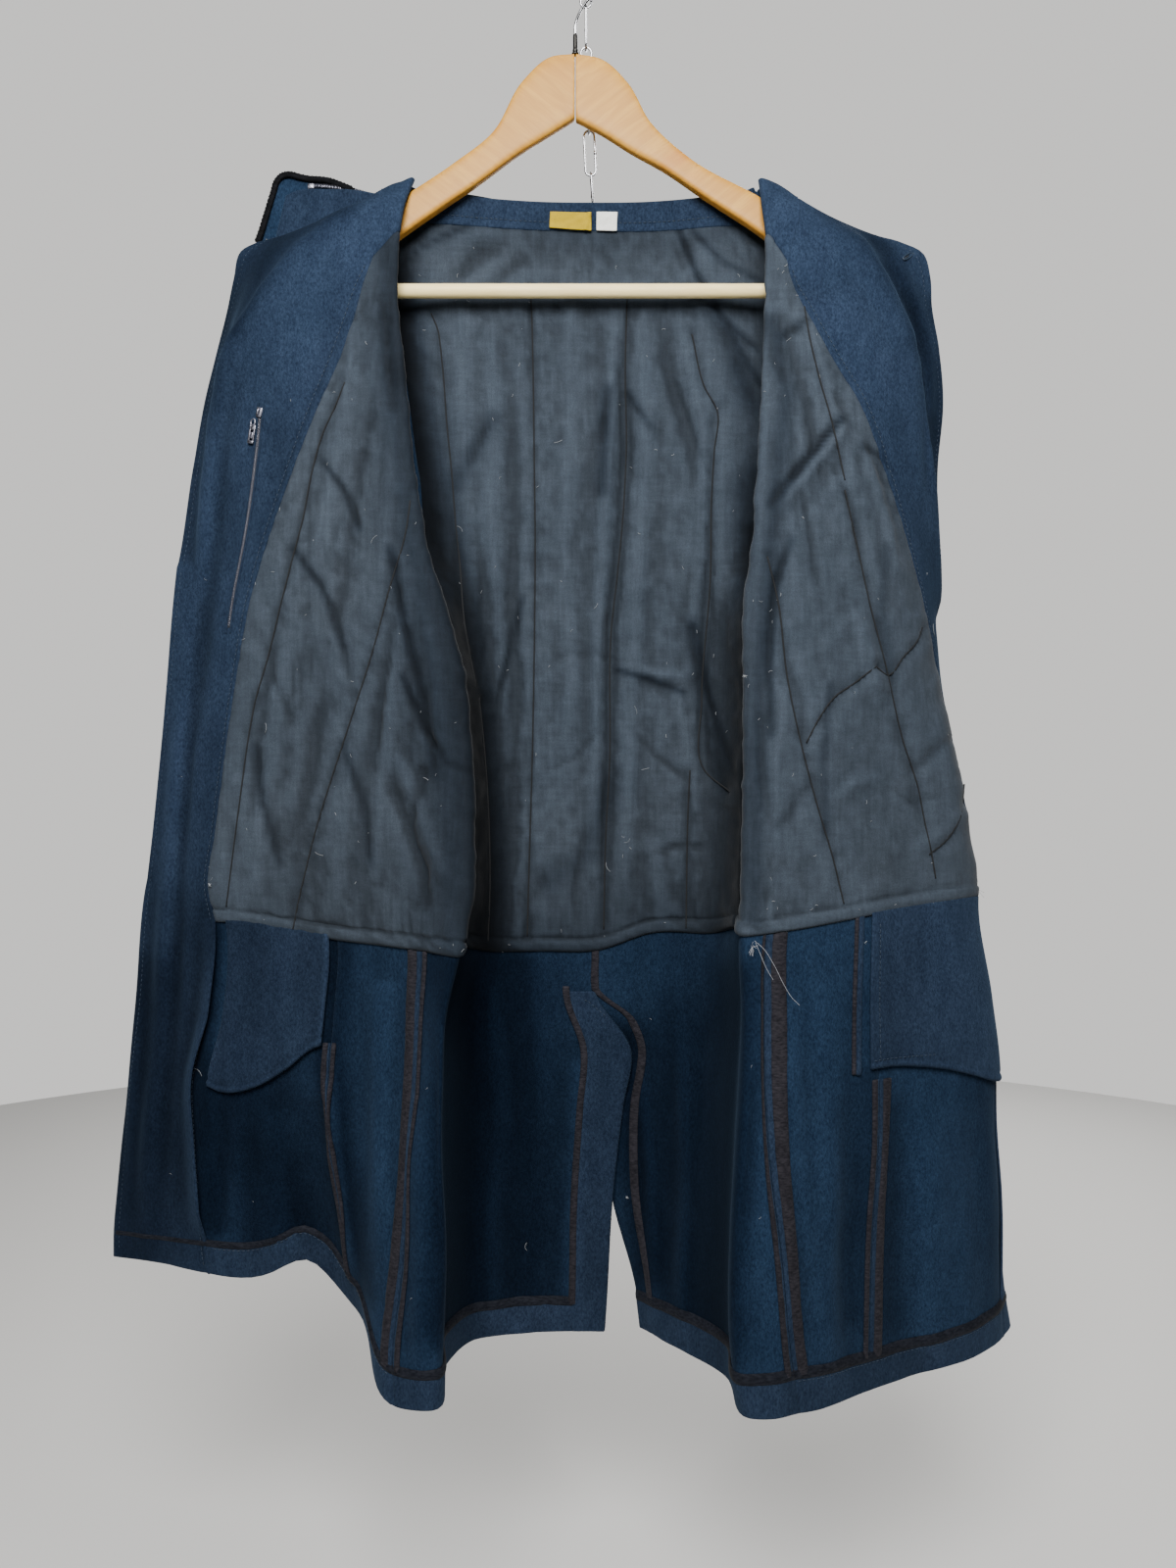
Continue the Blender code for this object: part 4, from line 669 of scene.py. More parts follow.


# Painted shade, darkening the cloth's colour in the deep places of its folds and recesses: how the names of the
# pieces start, how dark, how wide in pixels, and the line they follow.
PAINTED_SHADE_LINES = (
    ("lining_front_left", 0.92, 24, ((424, 380), (436, 470), (452, 560), (474, 660), (486, 760), (492, 860), (494, 970))),
    ("lining_front_left", 0.45, 46, ((412, 330), (420, 420), (432, 520), (452, 660), (466, 800), (470, 960))),
    ("lining_front_left", 0.62, 20, ((396, 240), (408, 300), (418, 380))),
    ("facing_left", 0.62, 13, ((392, 178), (352, 206), (302, 232), (278, 256), (254, 297), (236, 332))),
    ("facing_left", 0.40, 22, ((340, 204), (290, 236), (262, 262), (236, 310), (218, 360), (206, 410))),
    ("facing_left", 0.25, 26, ((226, 760), (222, 880), (216, 960))),
    ("facing_right", 0.42, 13, ((846, 214), (868, 232), (892, 254), (916, 290), (934, 324), (950, 370), (960, 440), (966, 520))),
    ("facing_right", 0.30, 6, ((884, 236), (912, 262), (930, 308), (943, 367), (953, 453))),
    ("facing_right", 0.30, 14, ((955, 560), (950, 640), (965, 720), (985, 800))),
    ("front_right", 0.35, 24, ((1000, 1000), (1008, 1120), (1016, 1260), (1024, 1340))),
    ("front_right", 0.25, 20, ((900, 1130), (905, 1230), (900, 1350))),
    ("lining_back", 0.45, 9, ((618, 400), (616, 450), (614, 500))),
    ("lining_back", 0.35, 10, ((502, 428), (486, 458), (468, 494))),
    ("lining_back", 0.30, 12, ((560, 900), (600, 870), (622, 800))),
    ("lining_back", 0.40, 12, ((706, 640), (722, 720), (742, 800))),
    ("lining_back", 0.30, 60, ((560, 960), (640, 940), (740, 950))),
    ("lining_back", 0.95, 26, ((400, 290), (418, 400), (436, 500), (462, 620), (482, 740), (490, 860), (494, 980))),
    ("lining_back", 0.30, 16, ((752, 380), (764, 440), (768, 500))),
    ("lining_back", 0.66, 22, ((768, 500), (768, 640), (768, 780), (764, 960))),
    ("lining_back", 0.85, 9, ((766, 540), (766, 640), (766, 780), (762, 930))),
    ("lining_back", 0.40, 26, ((470, 1000), (560, 985), (650, 990), (760, 985))),
    ("lining_back", 0.35, 10, ((724, 312), (745, 356), (770, 420))),
    ("lining_back", 0.25, 20, ((430, 232), (500, 240), (640, 244), (760, 236))),
    ("lining_front_right", 0.45, 12, ((786, 330), (800, 400), (786, 560), (772, 700), (768, 940))),
    ("lining_front_right", 0.60, 4, ((857, 429), (840, 448), (820, 474), (786, 516))),
    ("lining_front_right", 0.35, 5, ((879, 456), (896, 466), (914, 484))),
    ("lining_front_right", 0.35, 5, ((796, 346), (812, 336), (828, 324))),
    ("lining_front_right", 0.40, 5, ((806, 552), (790, 600), (784, 680), (786, 750))),
    ("lining_front_right", 0.35, 5, ((846, 700), (838, 780), (842, 850))),
    ("lining_front_right", 0.30, 6, ((902, 560), (896, 620), (906, 690))),
    ("lining_front_left", 0.45, 5, ((400, 560), (414, 640), (436, 720), (446, 790))),
    ("lining_front_left", 0.40, 4, ((330, 470), (352, 500), (368, 540))),
    ("lining_front_left", 0.40, 5, ((300, 560), (330, 600), (352, 660))),
    ("lining_front_left", 0.35, 5, ((352, 760), (372, 820), (380, 880))),
    ("lining_front_left", 0.35, 5, ((262, 760), (270, 820), (286, 880))),
    ("lining_front_left", 0.45, 4, ((412, 690), (430, 730), (456, 778), (478, 786))),
    ("lining_back", 0.40, 4, ((534, 610), (524, 650), (512, 700))),
    ("lining_back", 0.55, 4, ((630, 684), (660, 692), (696, 706))),
    ("lining_back", 0.45, 4, ((706, 640), (722, 700), (742, 760), (758, 800))),
    ("lining_back", 0.50, 4, ((742, 334), (757, 364), (776, 393))),
    ("lining_back", 0.50, 4, ((688, 224), (711, 282), (738, 327), (770, 356))),
    ("lining_back", 0.40, 4, ((706, 236), (738, 269), (780, 290))),
    ("lining_back", 0.45, 4, ((478, 230), (430, 254), (404, 274))),
    ("lining_back", 0.40, 4, ((460, 219), (430, 236), (408, 252))),
    ("lining_back", 0.40, 5, ((640, 402), (650, 418), (664, 436))),
    ("back_left", 0.75, 34, ((462, 990), (470, 1100), (462, 1230), (456, 1350))),
    ("back_left", 0.55, 60, ((520, 1000), (520, 1180), (530, 1340))),
    ("back_right", 0.70, 26, ((752, 1000), (748, 1120), (742, 1240), (735, 1380))),
    ("back_right", 0.45, 44, ((690, 1060), (690, 1200), (700, 1340))),
    ("back_right", 0.55, 16, ((640, 1060), (652, 1180), (664, 1300))),
    ("front_left", 0.65, 50, ((250, 1130), (270, 1190), (290, 1250))),
    ("front_left", 0.80, 16, ((214, 950), (204, 1060), (206, 1160), (214, 1250))),
    ("front_left", 0.70, 12, ((344, 960), (338, 1040), (332, 1090), (348, 1200), (360, 1290))),
    ("side_panel_left", 0.55, 12, ((352, 960), (344, 1060), (352, 1180), (374, 1320))),
    ("side_panel_left", 0.55, 12, ((436, 980), (430, 1120), (424, 1260), (420, 1400))),
    ("side_panel_right", 0.50, 12, ((778, 990), (786, 1100), (796, 1240), (806, 1380))),
    ("side_panel_right", 0.35, 16, ((884, 1100), (880, 1200), (872, 1340))),
    ("facing_left", 0.55, 30, ((152, 1000), (146, 1120), (140, 1270))),
    ("facing_left", 0.30, 60, ((190, 960), (182, 1110), (176, 1260))),
    ("pocket", 0.25, 40, ((250, 960), (250, 1040), (240, 1100))),
)


def painted_shade_depth(name, uv):
    """How dark the painted shade is at each place of a piece, 0 to 1."""
    left = np.ones(len(uv))
    for start, dark, wide, line in PAINTED_SHADE_LINES:
        if not name.startswith(start):
            continue
        line = np.array(line, float)
        best = np.full(len(uv), 1e9)
        for a, b in zip(line[:-1], line[1:]):
            f = np.clip(((uv - a) @ (b - a)) / ((b - a) @ (b - a)), 0, 1)
            best = np.minimum(best, np.linalg.norm(uv - a - f[:, None] * (b - a), axis=1))
        left *= 1 - dark * np.exp(-((best / wide) ** 2))
    return 1 - left


def sheet_piece(name, points, normals, low, high, material, mask=None, round_edge=0.5):
    verts, quads, source = sheet_arrays(points, normals, low, high, mask, round_edge)
    high = np.broadcast_to(np.asarray(high, float), points.shape[:2])[..., None] / 1000
    # rise and deep carry painted light and shade into the cloth's colour
    rise = proud(points + normals * high, normals).ravel()[source]
    deep = painted_shade_depth(name, seen(points).reshape(-1, 2))[source]
    return mesh_object(name, verts, quads, material, uv=grid_uv(points)[source], more={"rise": rise, "deep": deep})


def lines(*stops):
    """Values from stop to stop: (start, end, count), ...; a join is not repeated."""
    out = [np.array([stops[0][0]], float)]
    for a, b, n in stops:
        out.append(np.linspace(a, b, max(2, int(n)) + 1)[1:])
    return np.concatenate(out)


def edged(values, near_start, near_end):
    """Two more values close to each end, so that an edge turns sharply."""
    values = list(values)
    if near_start:
        values[1:1] = [values[0] + near_start * k for k in (0.35, 1.0)]
    if near_end:
        values[-1:-1] = [values[-1] - near_end * k for k in (1.0, 0.35)]
    return np.array(sorted(values))


def tube_arrays(path, radius, sides=8, closed=False, caps=True, flat=1.0, up=(0, 1, 0)):
    path = np.asarray(path, float)
    n = len(path)
    radius = np.broadcast_to(np.asarray(radius, float), n)
    if closed:
        tangent = np.roll(path, -1, axis=0) - np.roll(path, 1, axis=0)
    else:
        tangent = np.gradient(path, axis=0)
    tangent /= np.linalg.norm(tangent, axis=1, keepdims=True) + 1e-12
    ref = np.array(up, float)
    if abs(tangent[0] @ ref) > 0.9:
        ref = np.array((1.0, 0.0, 0.0))
    angle = 2 * np.pi * np.arange(sides) / sides
    verts = []
    for i in range(n):
        s = ref - tangent[i] * (ref @ tangent[i])
        s /= np.linalg.norm(s) + 1e-12
        ref = s
        w = np.cross(tangent[i], s)
        verts.append(path[i] + radius[i] * (np.cos(angle)[:, None] * s * flat + np.sin(angle)[:, None] * w))
    verts = np.concatenate(verts)
    k = np.arange(sides)
    k2 = (k + 1) % sides
    quads = []
    for i in range(n if closed else n - 1):
        j = (i + 1) % n
        quads.append(np.stack([i * sides + k, i * sides + k2, j * sides + k2, j * sides + k], axis=1))
    quads = np.concatenate(quads)
    tris = []
    if caps and not closed:
        verts = np.concatenate([verts, path[:1], path[-1:]])
        a, b = n * sides, n * sides + 1
        tris = [(a, k2[x], x) for x in range(sides)]
        tris += [(b, (n - 1) * sides + x, (n - 1) * sides + k2[x]) for x in range(sides)]
    return verts, quads, np.array(tris, np.int64).reshape(-1, 3)


def joined(parts):
    """Several (vertices, quads, triangles) as one."""
    verts, quads, tris, n = [], [], [], 0
    for v, q, t in parts:
        verts.append(v)
        quads.append(np.asarray(q, np.int64).reshape(-1, 4) + n)
        tris.append(np.asarray(t, np.int64).reshape(-1, 3) + n)
        n += len(v)
    return np.concatenate(verts), np.concatenate(quads), np.concatenate(tris)


def tubes_object(name, parts, material):
    v, q, t = joined(parts)
    return mesh_object(name, v, q, material, tris=t)


def smooth_line(points, count):
    points = np.asarray(points, float)[:, None, :]
    return spline(points, np.linspace(0, len(points) - 1, count)[:, None])[:, 0]


def spaced(path, step):
    """A path read again at even steps."""
    run = np.concatenate([[0], np.cumsum(np.linalg.norm(np.diff(path, axis=0), axis=1))])
    at = np.arange(0, run[-1], step)
    return np.stack([np.interp(at, run, path[:, k]) for k in range(3)], axis=1)


SHEETS, SEWN = [], {}


def cut(piece, **facts):
    """A piece of cloth and the flat size that it was cut to."""
    SHEETS.append((piece, facts))


def sewn(piece, onto):
    """A narrow tape or thread that belongs to a sheet."""
    SEWN.setdefault(onto, []).append(piece)


# ---------------------------------------------------------------- materials
def shade(name, rough, metal=0.0):
    material = bpy.data.materials.new(name)
    material.use_nodes = True
    nodes, links = material.node_tree.nodes, material.node_tree.links
    shader = nodes["Principled BSDF"]
    shader.inputs["Roughness"].default_value = rough
    shader.inputs["Metallic"].default_value = metal
    return material, nodes, links, shader


def node(nodes, kind, **values):
    made = nodes.new(kind)
    for key, value in values.items():
        if hasattr(made, key):
            setattr(made, key, value)
        else:
            made.inputs[key.replace("_", " ")].default_value = value
    return made


def noise_node(nodes, links, where, scale, detail=4.0, rough=0.55, stretch=None):
    tex = node(nodes, "ShaderNodeTexNoise", Scale=scale, Detail=detail, Roughness=rough)
    if stretch:
        mapping = nodes.new("ShaderNodeMapping")
        mapping.inputs["Scale"].default_value = stretch
        links.new(where, mapping.inputs["Vector"])
        where = mapping.outputs["Vector"]
    links.new(where, tex.inputs["Vector"])
    return tex.outputs["Fac"]


def ramp(nodes, links, value, *stops):
    made = nodes.new("ShaderNodeValToRGB")
    while len(made.color_ramp.elements) < len(stops):
        made.color_ramp.elements.new(0.5)
    for element, (at, colour) in zip(made.color_ramp.elements, stops):
        element.position = at
        element.color = (*colour, 1.0)
    links.new(value, made.inputs["Fac"])
    return made.outputs["Color"]


def mixed(nodes, links, how, factor, a, b):
    made = nodes.new("ShaderNodeMix")
    made.data_type = "RGBA"
    made.blend_type = how
    if isinstance(factor, float):
        made.inputs["Factor"].default_value = factor
    else:
        links.new(factor, made.inputs["Factor"])
    for key, value in (("A", a), ("B", b)):
        socket = [i for i in made.inputs if i.name == key and i.type == "RGBA"][0]
        if isinstance(value, tuple):
            socket.default_value = (*value, 1.0)
        else:
            links.new(value, socket)
    return [o for o in made.outputs if o.type == "RGBA"][0]


def bump(nodes, links, shader, *layers):
    """Bump from (height, distance in millimetres, strength) layers."""
    last = None
    for height, distance, strength in layers:
        made = node(nodes, "ShaderNodeBump", Distance=distance / 1000, Strength=strength)
        links.new(height, made.inputs["Height"])
        if last:
            links.new(last, made.inputs["Normal"])
        last = made.outputs["Normal"]
    links.new(last, shader.inputs["Normal"])


def painted_light_and_shade(nodes, links, low, high):
    """Painted light and shade: cloth painted paler where it stands out and darker in its creases and deep places."""
    here = nodes.new("ShaderNodeAttribute")
    here.attribute_name = "rise"
    scale = nodes.new("ShaderNodeMath")
    scale.operation = "MULTIPLY_ADD"
    links.new(here.outputs["Fac"], scale.inputs[0])
    scale.inputs[1].default_value, scale.inputs[2].default_value = 0.5, 0.5
    # painted highlight where the cloth stands out, painted shade in its creases
    relief_highlight_and_shade = ramp(nodes, links, scale.outputs[0], (0.10, (low,) * 3), (0.5, (1.0,) * 3), (0.9, (high,) * 3))
    # painted shade of the deep places
    there = nodes.new("ShaderNodeAttribute")
    there.attribute_name = "deep"
    return mixed(nodes, links, "MULTIPLY", 1.0, relief_highlight_and_shade, ramp(nodes, links, there.outputs["Fac"], (0.0, (1.0,) * 3), (0.5, (0.36, 0.40, 0.44)), (1.0, (0.06, 0.08, 0.10))))


def wool(name, dark, mid, lit, sheen=0.30):
    """Felted wool: mottled, with short fibres and a soft bloom."""
    material, nodes, links, shader = shade(name, 0.95)
    where = nodes.new("ShaderNodeTexCoord").outputs["Object"]
    slow = noise_node(nodes, links, where, 9.0, 3.0, 0.6)
    mid_n = noise_node(nodes, links, where, 90.0, 4.0, 0.62, (1.0, 1.0, 0.45))
    fine = noise_node(nodes, links, where, 560.0, 4.0, 0.75, (1.0, 1.0, 0.6))
    fibre = noise_node(nodes, links, where, 2100.0, 2.0, 0.6, (1.0, 1.0, 0.22))
    base = ramp(nodes, links, slow, (0.3, dark), (0.52, mid), (0.75, lit))
    base = mixed(nodes, links, "MULTIPLY", 0.55, base, ramp(nodes, links, mid_n, (0.3, (0.66, 0.68, 0.72)), (0.7, (1.25, 1.22, 1.18))))
    base = mixed(nodes, links, "MULTIPLY", 0.75, base, ramp(nodes, links, fine, (0.34, (0.40, 0.43, 0.48)), (0.66, (1.55, 1.50, 1.42))))
    base = mixed(nodes, links, "MULTIPLY", 0.5, base, ramp(nodes, links, fibre, (0.35, (0.7, 0.7, 0.72)), (0.7, (1.35, 1.35, 1.35))))
    # painted light and shade: paler where the wool stands out, darker in its creases and deep places
    base = mixed(nodes, links, "MULTIPLY", 1.0, base, painted_light_and_shade(nodes, links, 0.66, 1.22))
    links.new(base, shader.inputs["Base Color"])
    shader.inputs["Sheen Weight"].default_value = sheen
    shader.inputs["Sheen Roughness"].default_value = 0.5
    shader.inputs["Sheen Tint"].default_value = (0.35, 0.55, 0.85, 1.0)
    shader.inputs["Specular IOR Level"].default_value = 0.04
    bump(nodes, links, shader, (mid_n, 0.5, 0.35), (fine, 0.35, 0.6), (fibre, 0.15, 0.5))
    return material


def cotton(name, dark, mid, warm, lit):
    """Quilted cotton twill with fine upright threads and lint in the weave, painted paler on its ridges and darker in
    its creases and deep places as painted light and shade.
    """
    material, nodes, links, shader = shade(name, 0.82)
    coords = nodes.new("ShaderNodeTexCoord")
    where, cloth_uv = coords.outputs["Object"], coords.outputs["UV"]
    slow = noise_node(nodes, links, where, 7.0, 4.0, 0.6)
    patch = noise_node(nodes, links, where, 34.0, 5.0, 0.65)
    streak = noise_node(nodes, links, where, 300.0, 3.0, 0.6, (1.0, 1.0, 0.10))
    across = noise_node(nodes, links, where, 300.0, 3.0, 0.6, (0.12, 1.0, 1.0))
    fine = noise_node(nodes, links, where, 1500.0, 2.0, 0.7)
    base = ramp(nodes, links, slow, (0.32, dark), (0.5, mid), (0.7, warm))
    base = mixed(nodes, links, "MIX", 0.22, base, ramp(nodes, links, patch, (0.35, dark), (0.68, lit)))
    base = mixed(nodes, links, "MULTIPLY", 0.38, base, ramp(nodes, links, streak, (0.3, (0.68, 0.68, 0.69)), (0.72, (1.36, 1.36, 1.36))))
    base = mixed(nodes, links, "MULTIPLY", 0.35, base, ramp(nodes, links, across, (0.3, (0.74, 0.74, 0.74)), (0.72, (1.28, 1.28, 1.28))))
    base = mixed(nodes, links, "MULTIPLY", 0.6, base, ramp(nodes, links, fine, (0.35, (0.66, 0.66, 0.66)), (0.68, (1.35, 1.35, 1.35))))
    # painted light and shade: paler where the cotton stands out, darker in its creases and deep places
    base = mixed(nodes, links, "MULTIPLY", 1.0, base, painted_light_and_shade(nodes, links, 0.58, 1.22))
    links.new(base, shader.inputs["Base Color"])
    shader.inputs["Sheen Weight"].default_value = 0.05
    shader.inputs["Sheen Roughness"].default_value = 0.4
    shader.inputs["Specular IOR Level"].default_value = 0.10
    bump(nodes, links, shader, (patch, 0.7, 0.4), (streak, 0.25, 0.5), (across, 0.2, 0.4), (fine, 0.12, 0.5))
    return material


def tape(name, dark, lit, scale=700.0):
    """Ribbed woven tape."""
    material, nodes, links, shader = shade(name, 0.7)
    where = nodes.new("ShaderNodeTexCoord").outputs["Object"]
    rib = noise_node(nodes, links, where, scale, 2.0, 0.5, (0.35, 0.5, 1.0))
    slow = noise_node(nodes, links, where, 60.0, 3.0, 0.6)
    base = ramp(nodes, links, rib, (0.32, dark), (0.7, lit))
    base = mixed(nodes, links, "MULTIPLY", 0.5, base, ramp(nodes, links, slow, (0.3, (0.6, 0.6, 0.6)), (0.7, (1.3, 1.3, 1.3))))
    links.new(base, shader.inputs["Base Color"])
    shader.inputs["Sheen Weight"].default_value = 0.02
    shader.inputs["Specular IOR Level"].default_value = 0.05
    bump(nodes, links, shader, (rib, 0.3, 0.7), (slow, 0.6, 0.3))
    return material


def wood(name, pale, mid, deep, knot, turn, along):
    """Varnished wood: grain along one direction, orange flecks and a knot."""
    material, nodes, links, shader = shade(name, 0.52)
    coords = nodes.new("ShaderNodeTexCoord")
    mapping = nodes.new("ShaderNodeMapping")
    mapping.inputs["Rotation"].default_value = (0.0, turn, 0.0)
    links.new(coords.outputs["Object"], mapping.inputs["Vector"])
    where = mapping.outputs["Vector"]
    wave = node(nodes, "ShaderNodeTexNoise", Scale=14.0, Detail=5.0, Roughness=0.6, Distortion=0.6)
    stretch = nodes.new("ShaderNodeMapping")
    stretch.inputs["Scale"].default_value = (0.8, 6.0, 6.5)
    links.new(where, stretch.inputs["Vector"])
    links.new(stretch.outputs["Vector"], wave.inputs["Vector"])
    fine = noise_node(nodes, links, where, 220.0, 3.0, 0.6, (0.08, 1.0, 1.0))
    fleck = noise_node(nodes, links, where, 40.0, 2.0, 0.5, (0.25, 1.0, 1.0))
    base = ramp(nodes, links, wave.outputs["Fac"], (0.30, pale), (0.5, mid), (0.62, pale), (0.74, deep))
    base = mixed(nodes, links, "MULTIPLY", 0.4, base, ramp(nodes, links, fine, (0.3, (0.78, 0.72, 0.64)), (0.7, (1.12, 1.12, 1.1))))
    base = mixed(nodes, links, "MULTIPLY", 0.5, base, ramp(nodes, links, fleck, (0.62, (1.0, 1.0, 1.0)), (0.8, (0.86, 0.55, 0.3))))
    if knot:
        dist = nodes.new("ShaderNodeVectorMath")
        dist.operation = "DISTANCE"
        dist.inputs[1].default_value = knot
        links.new(coords.outputs["Object"], dist.inputs[0])
        ring = node(nodes, "ShaderNodeMath", operation="DIVIDE")
        links.new(dist.outputs["Value"], ring.inputs[0])
        ring.inputs[1].default_value = 0.014
        base = mixed(nodes, links, "MULTIPLY", 0.85, base, ramp(nodes, links, ring.outputs[0], (0.10, (0.34, 0.15, 0.05)), (0.3, (0.7, 0.4, 0.2)), (0.42, (0.95, 0.8, 0.6)), (0.9, (1.0, 1.0, 1.0))))
    links.new(base, shader.inputs["Base Color"])
    shader.inputs["Coat Weight"].default_value = 0.10
    shader.inputs["Coat Roughness"].default_value = 0.30
    shader.inputs["Specular IOR Level"].default_value = 0.25
    bump(nodes, links, shader, (fine, 0.12, 0.4))
    return material


def metal(name, colour, rough, fine=0.2):
    material, nodes, links, shader = shade(name, rough, 1.0)
    where = nodes.new("ShaderNodeTexCoord").outputs["Object"]
    spots = noise_node(nodes, links, where, 600.0, 3.0, 0.6)
    base = ramp(nodes, links, spots, (0.3, tuple(c * 0.7 for c in colour)), (0.7, colour))
    links.new(base, shader.inputs["Base Color"])
    rough_map = nodes.new("ShaderNodeMapRange")
    rough_map.inputs["To Min"].default_value = rough * 0.7
    rough_map.inputs["To Max"].default_value = rough * 1.4
    links.new(spots, rough_map.inputs["Value"])
    links.new(rough_map.outputs[0], shader.inputs["Roughness"])
    bump(nodes, links, shader, (spots, 0.05, fine))
    return material


def woven(name, colour, rough=0.6, sheen=0.0):
    material, nodes, links, shader = shade(name, rough)
    where = nodes.new("ShaderNodeTexCoord").outputs["Object"]
    fine = noise_node(nodes, links, where, 1600.0, 2.0, 0.6)
    slow = noise_node(nodes, links, where, 120.0, 3.0, 0.6)
    base = mixed(nodes, links, "MULTIPLY", 0.5, colour, ramp(nodes, links, fine, (0.3, (0.75, 0.75, 0.75)), (0.7, (1.2, 1.2, 1.2))))
    base = mixed(nodes, links, "MULTIPLY", 0.4, base, ramp(nodes, links, slow, (0.3, (0.75, 0.75, 0.75)), (0.7, (1.1, 1.1, 1.1))))
    links.new(base, shader.inputs["Base Color"])
    shader.inputs["Sheen Weight"].default_value = sheen
    bump(nodes, links, shader, (fine, 0.12, 0.6), (slow, 0.3, 0.3))
    return material


# The shell's navy is darker and more saturated than the facings': partly the cloth's inner face, partly painted shade
# for the skirts and backs that hang deep in the coat.
NAVY = wool("navy_wool", (0.0076, 0.0172, 0.0355), (0.0094, 0.0202, 0.0410), (0.0112, 0.0236, 0.0470), 0.05)
NAVY_IN = wool("navy_facing", (0.0112, 0.0194, 0.0365), (0.0134, 0.0226, 0.0422), (0.0162, 0.0262, 0.0485), 0.06)
LINED = cotton("quilted_cotton", (0.0250, 0.0332, 0.0440), (0.0288, 0.0378, 0.0498), (0.0318, 0.0406, 0.0522), (0.0410, 0.0508, 0.0645))
BROWN = tape("brown_tape", (0.0092, 0.0090, 0.0118), (0.0240, 0.0222, 0.0270))
BRAID = tape("collar_braid_wool", (0.0010, 0.0012, 0.0016), (0.0042, 0.0044, 0.0058), 420.0)
BROWN_LOW = tape("hem_tape", (0.0046, 0.0056, 0.0086), (0.0130, 0.0142, 0.0196))
SEAM = woven("seam_thread", (0.0012, 0.0018, 0.0026), 0.9)
DARK_THREAD = woven("dark_thread", (0.010, 0.014, 0.020))
NAVY_THREAD = woven("navy_thread", (0.010, 0.022, 0.042))
LINT = woven("lint", (0.24, 0.25, 0.26), 0.9)
YELLOW = woven("yellow_ribbon", (0.36, 0.245, 0.0), 0.95)
WHITE = woven("white_ribbon", (0.66, 0.66, 0.62), 0.6)
ZIP_TAPE = woven("zip_tape", (0.018, 0.020, 0.028), 0.7)
ZIP_METAL = metal("zip_metal", (0.36, 0.36, 0.42), 0.38)
STEEL = metal("chain_steel", (0.52, 0.52, 0.54), 0.24)
BRIGHT = metal("hook_wire", (0.62, 0.62, 0.64), 0.16)
STEM = metal("stem_metal", (0.05, 0.048, 0.045), 0.4)
WOOD_L = wood("wood_left", (0.50, 0.255, 0.034), (0.43, 0.200, 0.022), (0.28, 0.105, 0.009), (-0.083, -0.006, -0.174), math.radians(-38), None)
WOOD_R = wood("wood_right", (0.52, 0.270, 0.040), (0.45, 0.212, 0.026), (0.30, 0.118, 0.011), None, math.radians(38), None)
WOOD_BAR = wood("wood_bar", (0.96, 0.80, 0.42), (0.90, 0.73, 0.35), (0.78, 0.56, 0.22), None, 0.0, None)


# ---------------------------------------------------------------- the coat's pieces
STEP = 4.6  # millimetres between the points of the wool
FINE = 3.3  # and of the lining
ROW_MM = [40, 18, 24, 26, 32, 40, 48, 55, 62, 62, 66, 62, 48, 30, 76, 58, 50, 62, 60, 26]
WIDE = {"edge": 60, "ridge": 60, "seam": 70, "dart": 70, "side": 55, "crest": 45, "return": 40, "valley": 60, "mid": 60}


def stops_down(first, last, step, extra=()):
    """Rows from first to last at even steps of length."""
    out = [float(first)]
    for r in range(first, last):
        out += list(r + np.arange(1, max(2, round(ROW_MM[r] / step)) + 1) / max(2, round(ROW_MM[r] / step)))
    return np.array(sorted(set(np.round(out + list(extra), 6))))


def stops_across(first, last, step, extra=()):
    out = [float(first)]
    k = int(first)
    while k < last:
        n = max(2, round(WIDE[STATIONS[k]] / step))
        out += [v for v in k + np.arange(1, n + 1) / n if v <= last + 1e-9]
        k += 1
    out += [float(last)] + list(extra)
    return np.array(sorted(set(np.round(out, 6))))


def body(side, s, t, late=False):
    return cloth(side, s[:, None], t[None, :], late)


def rooted(obj, slot, *replaced):
    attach(obj, "root")
    if replaced:
        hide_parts(*replaced)
    return obj


